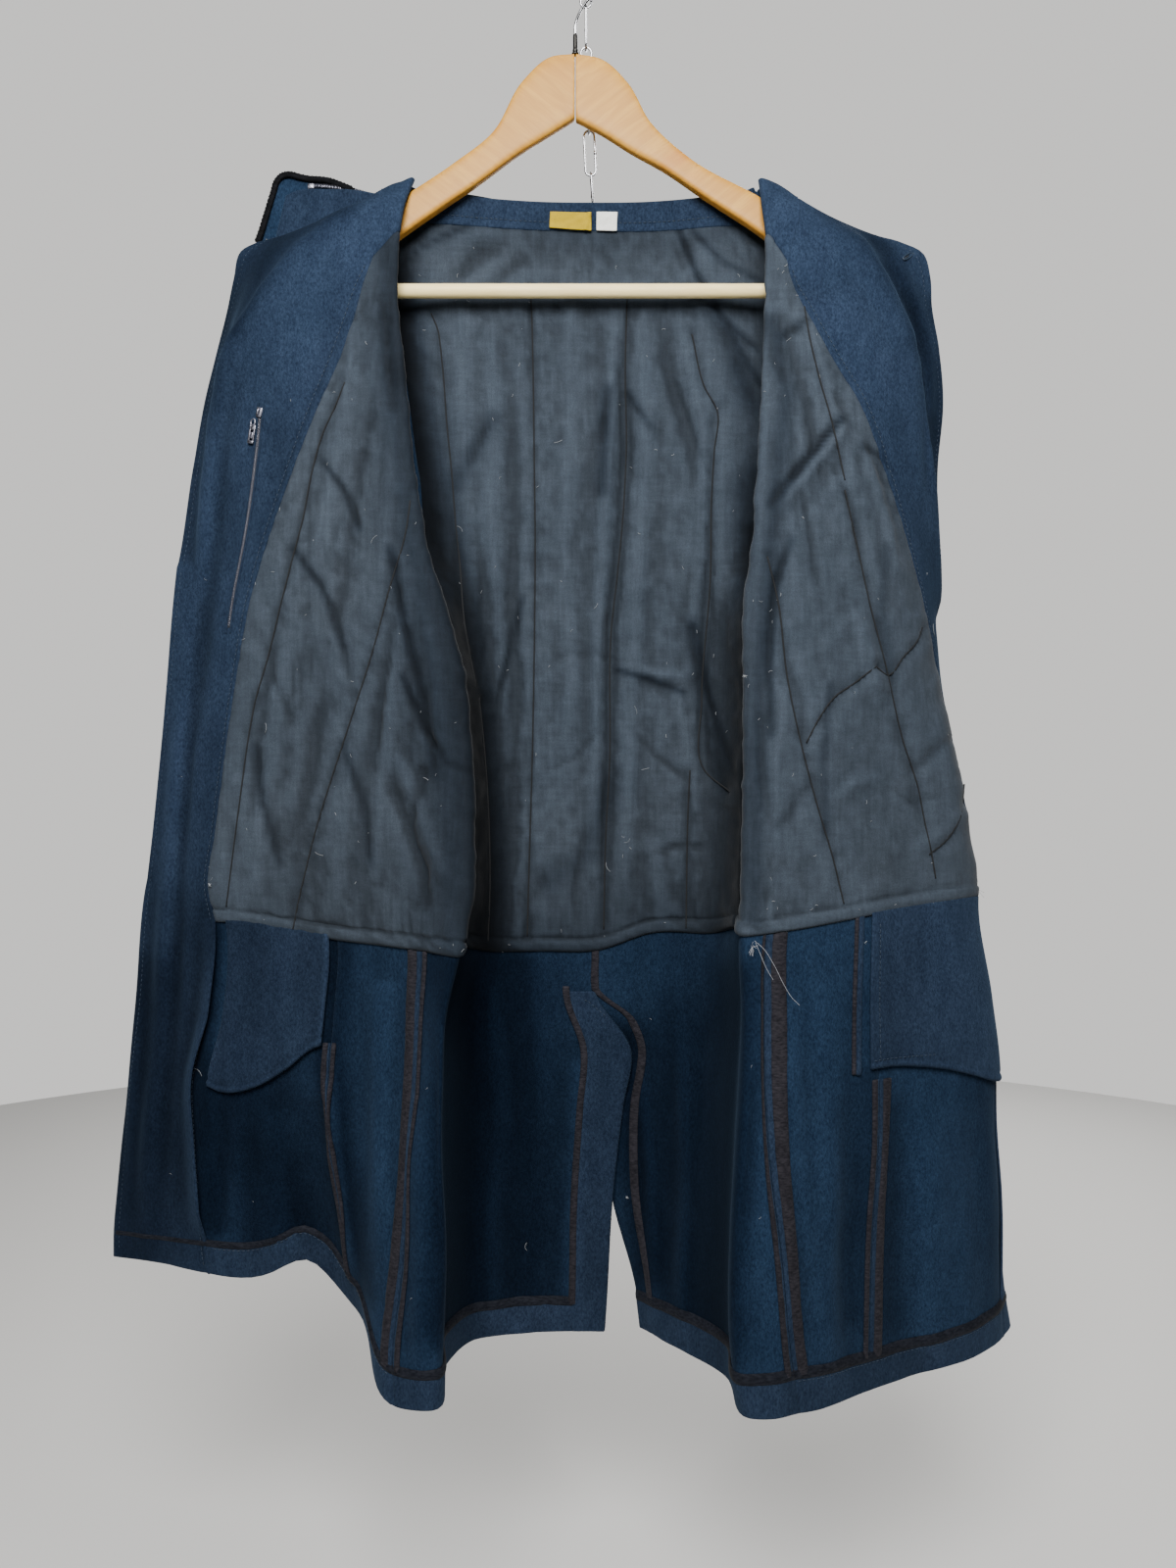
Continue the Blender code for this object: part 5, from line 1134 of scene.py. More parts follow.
def shell_pieces():
    """Navy shell: fronts, side panels and backs."""
    for side, word in ((-1, "left"), (1, "right")):
        down = edged(stops_down(0, 20, STEP), 0, 0.05)
        s = edged(stops_across(0, 6, STEP, (3.0 - 0.008,)), 0.03, 0)
        p, n = body(side, s, down)
        mask = np.ones((len(s) - 1, len(down) - 1), bool)
        mask[(s[:-1] >= 2.99)[:, None] & (down[:-1] >= 9.0)[None, :]] = False
        front = sheet_piece(f"front_{word}_cloth", p, n, -2.0, 0.0, NAVY, mask)
        rooted(front, "navy_wool", f"front_{word}")
        area = 0.19 if side < 0 else 0.205
        cut(front, flat=(0.40, 1.02), held="hung", rests_on=["wood_arm_" + word], area=area)
        s = stops_across(3, 4, STEP)
        down = edged(stops_down(9, 20, STEP), 0, 0.05)
        p, n = body(side, s + np.where(np.arange(len(s)) == 0, 0.004, 0) - np.where(np.arange(len(s)) == len(s) - 1, 0.004, 0), down)
        panel = sheet_piece(f"side_panel_{word}_cloth", p, n, -2.0, 0.0, NAVY)
        rooted(panel, "navy_wool", f"side_panel_{word}")
        cut(panel, flat=(0.115, 0.64), held="hung", rests_on=[front.name], area=0.057)
        s = stops_across(4, 9, STEP)
        down = edged(stops_down(0, 20, STEP), 0, 0.05)
        p, n = body(side, s, down, True)
        mask = np.ones((len(s) - 1, len(down) - 1), bool)
        mask[(s[1:] <= 6.0 + 1e-6)[:, None] & (down[1:] <= 9.0 + 1e-6)[None, :]] = False
        back = sheet_piece(f"back_{word}_cloth", p, n, -2.0, 0.0, NAVY, mask)
        rooted(back, "navy_wool", f"back_{word}")
        cut(back, flat=(0.30, 1.02), held="hung", rests_on=["wood_arm_" + word], area=0.235 if side < 0 else 0.215)


def edge_round(values, first, last, reach):
    """1 inside, falling to 0 within reach of an end that is rounded."""
    f = np.ones(len(values))
    if first:
        f = np.minimum(f, np.clip((values - values[0]) / reach, 0, 1))
    if last:
        f = np.minimum(f, np.clip((values[-1] - values) / reach, 0, 1))
    return np.sqrt(1 - (1 - f) ** 2)


def facings():
    """Front facings with the lapel, hem turn-ups and the vent's facing."""
    for side, word in ((-1, "left"), (1, "right")):
        down = edged(stops_down(0, 20, STEP), 0.08, 0.05)
        s = edged(stops_across(0, 6, STEP), 0.03, 0)
        k = int(np.argmin(np.abs(s - 2.0)))
        s = np.array(sorted(set(list(s) + [1.94, 1.97, 1.985])))
        p, n = body(side, s, down)
        mask = (s[1:] <= 2.0 + 1e-6)[:, None] | (down[1:] <= 2.0 + 1e-6)[None, :]
        mask = mask & np.ones((len(s) - 1, len(down) - 1), bool)
        # a rounded fold at the seam with the lining, and a shallow topstitched groove beside it
        groove = np.exp(-(((s - 1.93) * 60) / 1.6) ** 2)
        high = 2.0 - 0.45 * groove[:, None] * np.ones(len(down))[None, :] + 0.5 * np.exp(-(((s - 1.975) * 60) / 1.4) ** 2)[:, None]
        edge = np.clip(s / 0.12, 0, 1)
        high = high - 0.35 * (np.exp(-((s * 60 - 7) / 1.2) ** 2))[:, None]
        # the left one's free edge stands off the front below the lining
        free = ease(s, 1.50, 2.0)[:, None] * (ease(down, 13.7, 14.8) * (1 - ease(down, 18.2, 19.0)))[None, :] * (7.5 if side < 0 else 1.0)
        facing = sheet_piece(f"facing_{word}_cloth", p, n, 0.4 + free, high + free, NAVY_IN, mask, 0.6)
        rooted(facing, "navy_inside", f"facing_{word}")
        cut(facing, flat=(0.21, 1.02), held="hung", rests_on=[f"front_{word}_cloth"], area=0.098 if side < 0 else 0.088)
        down = edged(stops_down(19, 20, 3.0), 0.05, 0.05)
        s = stops_across(2, 4, STEP)
        p, n = body(side, s, down)
        hem = sheet_piece(f"hem_front_{word}_cloth", p, n, 0.4, 2.1 - 0.4 * np.exp(-(((down - 19.16) * 26) / 1.0) ** 2)[None, :] * np.ones((len(s), 1)), NAVY_IN)
        rooted(hem, "navy_inside", f"hem_front_{word}")
        cut(hem, flat=(0.24, 0.03), held="hung", rests_on=[f"front_{word}_cloth"])
        s = stops_across(4, 8 if side < 0 else 9, STEP)
        if side < 0:
            s = np.append(s, (8.25, 8.5))
        p, n = body(side, s, down, True)
        hem = sheet_piece(f"hem_back_{word}_cloth", p, n, 0.4, 2.1 - 0.4 * np.exp(-(((down - 19.16) * 26) / 1.0) ** 2)[None, :] * np.ones((len(s), 1)), NAVY_IN)
        rooted(hem, "navy_inside", f"hem_back_{word}")
        cut(hem, flat=(0.26, 0.03), held="hung", rests_on=[f"back_{word}_cloth"])
    s = stops_across(8, 9, STEP)
    s = np.array(sorted(set(list(s[s >= 8.5]) + [8.5])))
    down = edged(stops_down(15, 20, STEP), 0.04, 0.05)
    p, n = body(-1, s, down, True)
    vent = sheet_piece("vent_facing_cloth", p, n, 0.4, 2.0, NAVY_IN)
    rooted(vent, "navy_inside", "vent_facing")
    cut(vent, flat=(0.045, 0.28), held="hung", rests_on=["back_left_cloth"])


def both_backs(first, last, step, down, from_s=6.0):
    """One grid over both halves of the back, from the left return to the right return."""
    s = stops_across(int(from_s), 9, step)
    s = s[s >= from_s - 1e-6]
    pl, nl = body(-1, s, down, True)
    pr, nr = body(1, s[:-1][::-1], down, True)
    p, n = np.concatenate([pl, pr]), np.concatenate([nl, nr])
    k = len(s) - 1  # even out the join at the centre
    m = nl[-1] + nr[0]
    n[k] = m / np.linalg.norm(m, axis=-1, keepdims=True)
    return p, n, np.concatenate([s, 18.0 - s[:-1][::-1]])


def neck():
    down = edged(stops_down(0, 1, 3.0), 0.06, 0.05)
    p, n, s = both_backs(0, 1, STEP, down)
    high = 2.0 + 0.4 * np.exp(-(((down - 0.93) * 18) / 1.4) ** 2) - 0.45 * np.exp(-(((down - 0.70) * 18) / 1.0) ** 2)
    facing = sheet_piece("neck_facing_cloth", p, n, 0.4, high[None, :] * np.ones((len(s), 1)), NAVY_IN)
    rooted(facing, "navy_inside", "neck_facing")
    cut(facing, flat=(0.32, 0.027), held="hung", rests_on=["back_left_cloth", "back_right_cloth"])


# Quilting seams of the lining, in the front view: part, and line.
QUILTING = (
    ("front", ((811, 262), (817, 290), (826, 343), (836, 385), (848, 427), (862, 490))),
    ("front", ((352, 390), (342, 415), (330, 441), (319, 479), (309, 530), (298, 572), (287, 615), (274, 669), (261, 714), (255, 744), (247, 800), (239, 861), (231, 925))),
    ("front", ((420, 500), (414, 543), (397, 602), (379, 669), (362, 722), (349, 762), (336, 802), (322, 848), (312, 888), (304, 923), (299, 948))),
    ("front", ((783, 568), (794, 614), (803, 689), (818, 761), (834, 822), (850, 876), (861, 922))),
    ("front", ((862, 500), (877, 568), (887, 614), (904, 680), (922, 758), (936, 801), (944, 841), (950, 868), (956, 905))),
    ("front", ((941, 640), (936, 654), (922, 670), (906, 689), (894, 680))),
    ("front", ((894, 680), (869, 699), (853, 710), (837, 731), (823, 758))),
    ("front", ((984, 800), (979, 836), (965, 858), (948, 872))),
    ("back", ((440, 320), (446, 334), (451, 369), (456, 433), (461, 484), (465, 535), (469, 573), (474, 635), (486, 700))),
    ("back", ((541, 290), (542, 308), (544, 382), (545, 459), (546, 535), (545, 676), (543, 779), (540, 881), (538, 955))),
    ("back", ((640, 300), (638, 374), (639, 459), (635, 535), (630, 586), (624, 640), (622, 779), (618, 855), (616, 948))),
    ("back", ((706, 341), (719, 395), (732, 420), (729, 459), (726, 510), (725, 586), (716, 715), (719, 786), (745, 808))),
    ("back", ((704, 786), (702, 830), (700, 947))),
    ("back", ((489, 712), (494, 760), (499, 840), (500, 900), (498, 960))),
)


def quilting(uv, part):
    """Height in millimetres of the padding: a groove along each seam, small puckers beside it, fullness between."""
    height = np.zeros(len(uv))
    for where, line in QUILTING:
        if where != part:
            continue
        line = np.array(line, float)
        near = ((uv[:, 0] > line[:, 0].min() - 30) & (uv[:, 0] < line[:, 0].max() + 30)
                & (uv[:, 1] > line[:, 1].min() - 14) & (uv[:, 1] < line[:, 1].max() + 14))
        if not near.any():
            continue
        q = uv[near]
        best, along, gone = np.full(len(q), 1e9), np.zeros(len(q)), 0.0
        for a, b in zip(line[:-1], line[1:]):
            run = np.linalg.norm(b - a)
            f = np.clip(((q - a) @ (b - a)) / run**2, 0, 1)
            far = np.linalg.norm(q - a - f[:, None] * (b - a), axis=1)
            closer = far < best
            best[closer], along[closer] = far[closer], (gone + f * run)[closer]
            gone += run
        groove = -1.35 * np.exp(-((best / 2.6) ** 2))
        side = np.sign(noise(along / 9.0, along * 0 + 3, 5))
        pucker = 0.55 * np.exp(-(((best - 9) / 8) ** 2)) * noise(along / 6.5, best / 14.0, 17)
        full = 0.75 * np.exp(-(((best - 12) / 9) ** 2))
        height[near] += groove + pucker + full
    return height


def lining_height(p, s_flat, t, part, hem, drop):
    """Height of the quilted lining above its underside, in millimetres; hem is the length to its lower edge."""
    uv = seen(p).reshape(-1, 2)
    h = 2.7 + quilting(uv, part)
    h += 0.50 * noise(uv[:, 0] / 7.0, uv[:, 1] / 16.0, 21) + 0.36 * noise(uv[:, 0] / 3.6, uv[:, 1] / 8.0, 22)
    turned = (uv[:, 0] * 0.8 + uv[:, 1] * 0.6), (uv[:, 1] * 0.8 - uv[:, 0] * 0.6)
    h += 0.38 * noise(turned[0] / 6.0, turned[1] / 22.0, 23) + 0.30 * noise(turned[1] / 5.0, turned[0] / 26.0, 24)
    ridge = 1 - np.abs(noise(uv[:, 0] / 15.0, uv[:, 1] / 34.0, 25))
    h += 0.8 * (ridge**4 - 0.3)
    # gathers above the hem, then the rolled hem with its stitching
    d = hem.ravel()
    gather = np.exp(-np.clip(d - 12, 0, None) / 16.0) * (d > 10)
    strength = 0.55 + 0.9 * np.exp(-(((uv[:, 0] - 428) / 34) ** 2)) + 0.6 * np.exp(-(((uv[:, 0] - 780) / 30) ** 2))
    h += 1.7 * gather * strength * noise(uv[:, 0] / 5.2, uv[:, 1] / 30.0, 31)
    roll = np.sqrt(np.clip(1 - ((d - 5.6) / 5.6) ** 2, 0, 1))
    twist = noise((uv[:, 0] + 1.1 * d) / 5.5, d / 9.0, 33)
    inside = d < 11.2
    h = np.where(inside, 1.4 + roll * (2.7 + 0.95 * twist * strength), h)
    h -= 1.5 * np.exp(-(((d - 12.2) / 1.3) ** 2))
    return np.maximum(h, 0.9)


def to_foot(p):
    """Length from each point of a grid down its column to the lower edge, in millimetres."""
    b = np.linalg.norm(np.diff(p, axis=1), axis=-1) * 1000
    total = np.concatenate([np.zeros((p.shape[0], 1)), np.cumsum(b, axis=1)], axis=1)
    return total[:, -1:] - total


OUTER = {}


def seam_threads():
    """The thread that lies in the quilting's grooves."""
    parts = []
    for where, line in QUILTING:
        key = ("back", 0) if where == "back" else ("front", -1 if line[0][0] < 600 else 1)
        points = OUTER[key].reshape(-1, 3)
        uv = seen(points)
        line = np.array(line, float)
        path = smooth_line(np.concatenate([line, np.zeros((len(line), 1))], axis=1), max(20, int(np.abs(np.diff(line[:, 1])).sum() / 4)))[:, :2]
        close = ((uv[:, 0] > path[:, 0].min() - 12) & (uv[:, 0] < path[:, 0].max() + 12)
                 & (uv[:, 1] > path[:, 1].min() - 12) & (uv[:, 1] < path[:, 1].max() + 12))
        points, uv = points[close], uv[close]
        out = []
        for q in path:
            d2 = ((uv - q) ** 2).sum(axis=1)
            if d2.min() > 7:
                continue
            w = np.exp(-(d2 - d2.min()) / (2 * 2.0**2))
            depth = (points[:, 1] * w).sum() / w.sum()
            out.append(np.array(place(q[0], q[1], depth * 1000 - 0.15)) / 1000)
        if len(out) > 4:
            parts.append(tube_arrays(np.array(out), 0.00068, 6))
    obj = tubes_object("quilting_threads", parts, SEAM)
    rooted(obj, "lining")


def linings():
    for side, word in ((-1, "left"), (1, "right")):
        down = stops_down(2, 14, FINE, [14 - k for k in (0.40, 0.36, 0.32, 0.28, 0.24, 0.20, 0.16, 0.12, 0.08, 0.045, 0.015)])
        s = edged(stops_across(2, 6, FINE), 0.03, 0.05)
        p, n = body(side, s, down)
        hem = to_foot(p)
        h = lining_height(p, s, down, "front", hem, 0).reshape(len(s), len(down))
        start = np.clip((s - 2.0) / 0.10, 0, 1)[:, None]
        h = 0.9 + (h - 0.9) * np.sqrt(1 - (1 - start) ** 2 * 0.9)
        top = np.clip((down - 2.0) / 0.15, 0, 1)[None, :]
        h = 0.9 + (h - 0.9) * np.sqrt(1 - (1 - top) ** 2 * 0.9)
        p2 = p.copy()
        lining = sheet_piece(f"lining_front_{word}_cloth", p2, n, 0.5, h, LINED)
        OUTER[("front", side)] = p + n * (h / 1000)[..., None]
        rooted(lining, "lining", f"lining_front_{word}")
        cut(lining, flat=(0.25, 0.60), held="hung", rests_on=[f"front_{word}_cloth"], area=0.112 if side < 0 else 0.106)
    down = stops_down(1, 14, FINE, [14 - k for k in (0.40, 0.36, 0.32, 0.28, 0.24, 0.20, 0.16, 0.12, 0.08, 0.045, 0.015)])
    p, n, s = both_backs(1, 14, FINE, down)
    hem = to_foot(p)
    h = lining_height(p, s, down, "back", hem, 0).reshape(len(s), len(down))
    edge = np.clip(np.minimum(s - 6.0, 12.0 - s) / 0.12, 0, 1)[:, None]
    h = 0.9 + (h - 0.9) * np.sqrt(1 - (1 - edge) ** 2 * 0.9)
    top = np.clip((down - 1.0) / 0.12, 0, 1)[None, :]
    h = 0.9 + (h - 0.9) * np.sqrt(1 - (1 - top) ** 2 * 0.9)
    lining = sheet_piece("lining_back_cloth", p, n, 0.5, h, LINED)
    OUTER[("back", 0)] = p + n * (h / 1000)[..., None]
    rooted(lining, "lining", "lining_back")
    cut(lining, flat=(0.36, 0.64), held="hung", rests_on=["back_left_cloth", "back_right_cloth"], area=0.21)


def ribbon(name, side, track, widths, low, high, material, late=False, ripple=0.0, curve=0.0):
    """A band along a track of (s, t); widths is (left, right) in millimetres from it, across the coat."""
    track = np.array(track, float)
    s, t = track[:, 0], track[:, 1]
    a, _ = cloth(side, s - 0.01, t, late)
    b, _ = cloth(side, s + 0.01, t, late)
    per = 0.02 / (np.linalg.norm(b - a, axis=-1) * 1000)
    offsets = np.linspace(widths[0], widths[1], 7)
    grid_s = s[None, :] + offsets[:, None] * per[None, :]
    grid_t = np.broadcast_to(t, grid_s.shape)
    p, n = cloth(side, grid_s, grid_t, late)
    f = (offsets - widths[0]) / (widths[1] - widths[0])
    dome = np.sqrt(np.clip(1 - (2 * f - 1) ** 2, 0, 1))[:, None]
    wave = ripple * noise(np.arange(len(t))[None, :] * 0.45 + offsets[:, None] * 0.25, f[:, None] * 2 + np.zeros(len(t))[None, :], 41)
    top = low + (high - low) * (0.45 + 0.55 * dome) + wave
    return sheet_piece(name, p, n, low, np.maximum(top, low + 0.15), material)


def run(s, first, last, step=0.06):
    t = np.arange(first, last, step)
    return [(float(np.interp(r, s[1], s[0])) if isinstance(s, tuple) else s, r) for r in list(t) + [last]]


def bindings():
    """Seam allowances of the dart and side seams with their brown tape, hem tape, vent and centre tapes."""
    for side, word in ((-1, "left"), (1, "right")):
        for line, at in (("dart", 3.0), ("side", 4.0)):
            top = 16.05 if line == "dart" and side > 0 else (15.42 if line == "dart" else 14.02)
            foot = 19.0
            for which, sign in (("outer", -1), ("inner", 1)):
                narrow = 0.62 if line == "dart" and side < 0 else 1.0
                w = (0.4 * sign, 4.4 * sign * narrow)
                allowance = ribbon(f"{line}_allowance_{which}_{word}", side, run(at, top, foot), (min(w), max(w)), 0.4, 1.5, NAVY_IN, ripple=0.05)
                rooted(allowance, "navy_inside")
                w = (3.4 * sign * narrow, 9.6 * sign * narrow)
                band = ribbon(f"{line}_tape_{which}_{word}", side, run(at, top, foot), (min(w), max(w)), 0.9 if narrow == 1 else 1.0, 3.0, BROWN, ripple=0.30)
                rooted(band, "binding", f"{line}_seam_binding_{which}_{word}")
                sewn(band, f"side_panel_{word}_cloth")
                sewn(allowance, f"side_panel_{word}_cloth")
        # tape on the upper edge of the hem turn-up
        for name, first, last in (("front", 0.05, 4.0), ("back", 4.0, 8.5 if side < 0 else 9.0)):
            s = np.arange(first, last, 0.06)
            s = np.append(s, last)
            t = 19.0 + np.array((-0.05, -0.02, 0.03, 0.08, 0.115))
            p, n = cloth(side, s[:, None] + 0 * t[None, :], t[None, :] + 0 * s[:, None], name == "back")
            high = np.array((0.7, 2.5, 2.8, 2.6, 2.2))[None, :] + 0.15 * noise(s * 30, s * 0, 51)[:, None]
            low = np.array((0.1, 2.0, 2.0, 2.0, 2.0))[None, :] + 0 * s[:, None]
            band = sheet_piece(f"hem_tape_{name}_{word}", p, n, np.minimum(low + 0.15, high - 0.2), high, BROWN_LOW)
            rooted(band, "binding")
            sewn(band, f"hem_{name}_{word}_cloth")
    # tape down the vent facing's inner edge
    track = [(8.5, t) for t in np.arange(14.85, 19.05, 0.05)]
    band = ribbon("vent_facing_tape", -1, track, (-3.0, 2.6), 1.9, 2.9, BROWN, True, 0.15)
    rooted(band, "binding")
    sewn(band, "vent_facing_cloth")
    # tape of the right back's vent edge, slanting in from the centre seam
    track = [(9.0 - 0.45 * ease(t, 14.9, 15.5) - 0.02, t) for t in np.arange(14.02, 15.55, 0.05)]
    band = ribbon("centre_seam_tape", 1, track, (-3.2, 3.2), 0.6, 1.9, BROWN, True, 0.12)
    rooted(band, "binding")
    sewn(band, "back_right_cloth")
    track = [(8.53, t) for t in np.arange(15.5, 20.0, 0.05)]
    band = ribbon("vent_edge_tape", 1, track, (-3.6, 3.6), 0.6, 1.9, BROWN, True, 0.15)
    rooted(band, "binding", "vent_binding")
    sewn(band, "back_right_cloth")


def pocket_bags():
    """Navy pocket bags hanging free inside the fronts, with a rounded, topstitched foot."""
    plans = {
        -1: (2.11, 2.93, ((0.0, 16.02), (0.12, 16.12), (0.30, 16.10), (0.5, 15.98), (0.72, 15.75), (0.9, 15.5), (1.0, 15.42))),
        1: (2.02, 3.10, ((0.0, 16.22), (0.12, 16.20), (0.25, 16.14), (0.40, 16.02), (0.55, 15.92), (0.8, 15.84), (1.0, 15.85))),
    }
    for side, word in ((-1, "left"), (1, "right")):
        a, b, foot = plans[side]
        f = np.linspace(0, 1, 34)
        f = np.array(sorted(set(list(f) + [0.012, 0.988])))
        g = np.array(sorted(set(list(np.linspace(0, 1, 44)) + [0.985, 0.995])))
        last = spline(np.array(foot)[:, None, :], np.interp(f, [x for x, _ in foot], np.arange(len(foot)))[:, None])[:, 0, 1]
        s = np.broadcast_to((a + (b - a) * f)[:, None], (len(f), len(g)))
        t = 13.9 + (last[:, None] - 13.9) * g[None, :]
        p, n = cloth(side, s, t)
        d = to_foot(p)
        lift = 1.9 + (3.0 if side < 0 else 1.2) * ease(g, 0.3, 1.0)[None, :] * (0.4 + 0.6 * np.sin(np.pi * f))[:, None]
        high = lift + 1.9 + 0.9 * np.exp(-((d - 2.0) / 2.2) ** 2) - 0.6 * np.exp(-((d - 6.0) / 1.1) ** 2)
        if side < 0:
            high = high + 1.6 * np.exp(-(((1 - f) * 75) / 3.0) ** 2)[:, None]
        bag = sheet_piece(f"pocket_bag_{word}_cloth", p, n, lift, high, NAVY_IN)
        rooted(bag, "navy_inside", f"pocket_bag_{word}")
        cut(bag, flat=(0.12, 0.15) if side < 0 else (0.15, 0.16), held="hung", rests_on=[f"front_{word}_cloth"], area=0.014 if side < 0 else 0.0225)


def sleeves():
    """Flattened tubes that hang behind the fronts, with elbow folds and a stitched cuff."""
    for side, word, table in ((-1, "left", SLEEVE_L), (1, "right", SLEEVE_R)):
        count = 84
        q = -0.5 + 19.0 * np.arange(count) / count
        j = ARMPIT - np.abs(q - ARMPIT)
        angle = np.pi * (j + 0.5) / (ARMPIT + 0.5)
        t = np.clip(j, 0, ARMPIT)
        hole_front, hole_back = surface(side, 6.0 + 0 * t, t, False), surface(side, 6.0 + 0 * t, t, True)
        hole = np.where((q < ARMPIT)[:, None], hole_front, hole_back)
        lift = np.clip(1 - t, 0, 1)
        hole[:, 2] -= 0.0035 * lift * (q < ARMPIT)
        hole[:, 1] = np.where(q < ARMPIT, hole[:, 1] * (1 - lift), hole[:, 1] * (1 - lift) + 0.009 * lift)
        closing = (q < 0) | (q > 18)
        first, last = hole[np.argmin(np.abs(q - 0.0))], hole[np.argmin(np.abs(q - 18.0))]
        mix = np.where(q > 18, (q - 18), 1 + q)
        hole[closing] = (last + (first - last) * mix[closing][:, None])
        rings = []
        for outer, inner, front, back in table:
            o, i = np.array(place(*outer)), np.array(place(*inner))
            p = o + (i - o) * ((1 - np.cos(angle)) / 2)[:, None]
            p[:, 1] += np.where(q < ARMPIT, -front, back) * np.abs(np.sin(angle)) ** 0.45
            rings.append(p / 1000)
        step = rings[0] - hole
        out = step / np.linalg.norm(step, axis=1, keepdims=True) + np.array((0.9 * side, 0.0, 0.0))
        start = hole + out / np.linalg.norm(out, axis=1, keepdims=True) * 0.0045
        rings = np.array([start] + rings)
        along = np.concatenate([np.linspace(0, 9, 150)[:-1], [8.985, 9.0]])
        grid = spline(rings, np.repeat(along[:, None], count, axis=1))
        grid = np.concatenate([grid, grid[:, :1]], axis=1)
        a = np.gradient(grid, axis=0)
        wide = np.concatenate([grid[:, -2:-1], grid, grid[:, 1:2]], axis=1)
        b = wide[:, 2:] - wide[:, :-2]
        n = np.cross(a, b)
        n /= np.linalg.norm(n, axis=-1, keepdims=True) + 1e-12
        middle = grid[:, :-1].mean(axis=1, keepdims=True)
        if (n * (grid - middle)).sum() < 0:
            n = -n
        qq = np.concatenate([q, [q[0] + 19]])
        round_at = 2 * np.pi * (qq + 0.5) / 19
        long = along[:, None] * 90
        behind = np.clip((qq - ARMPIT) / 2.0, 0, 1)[None, :]
        h = 1.3 * np.sin(long / 34 + 1.7 * np.sin(round_at)[None, :]) * np.exp(-(((along - 5.4) / 1.3) ** 2))[:, None]
        h = h + 1.5 * np.sin(round_at * 3 + along[:, None] * 1.3) * np.exp(-(((along - 1.6) / 1.2) ** 2))[:, None]
        h = h + 0.8 * noise(np.cos(round_at)[None, :] * 1.6 + 5, long / 60 + np.sin(round_at)[None, :], 61 + side)
        h = np.abs(h) * 0.8 * behind + np.minimum(h, 0) * (1 - behind) * 0.5
        h = h * ease(along, 0.3, 1.5)[:, None]
        seam = np.exp(-((np.abs(qq - 9.0)) / 0.16) ** 2)
        h = h - 0.5 * seam[None, :]
        cuff = -0.5 * np.exp(-((along - 8.62) / 0.02) ** 2)[:, None]
        verts, quads, source = sheet_arrays(grid, n, 0.0, 2.0 + h + cuff)
        obj = mesh_object(f"sleeve_{word}_cloth", verts, quads, NAVY, uv=grid_uv(grid)[source])
        bm = bmesh.new()
        bm.from_mesh(obj.data)
        bmesh.ops.remove_doubles(bm, verts=bm.verts, dist=1e-6)
        bm.to_mesh(obj.data)
        bm.free()
        rooted(obj, "navy_wool", f"sleeve_{word}")
        cut(obj, flat=(0.34, 0.74), held="hung", rests_on=[f"back_{word}_cloth"], area=0.235 if side < 0 else 0.195)


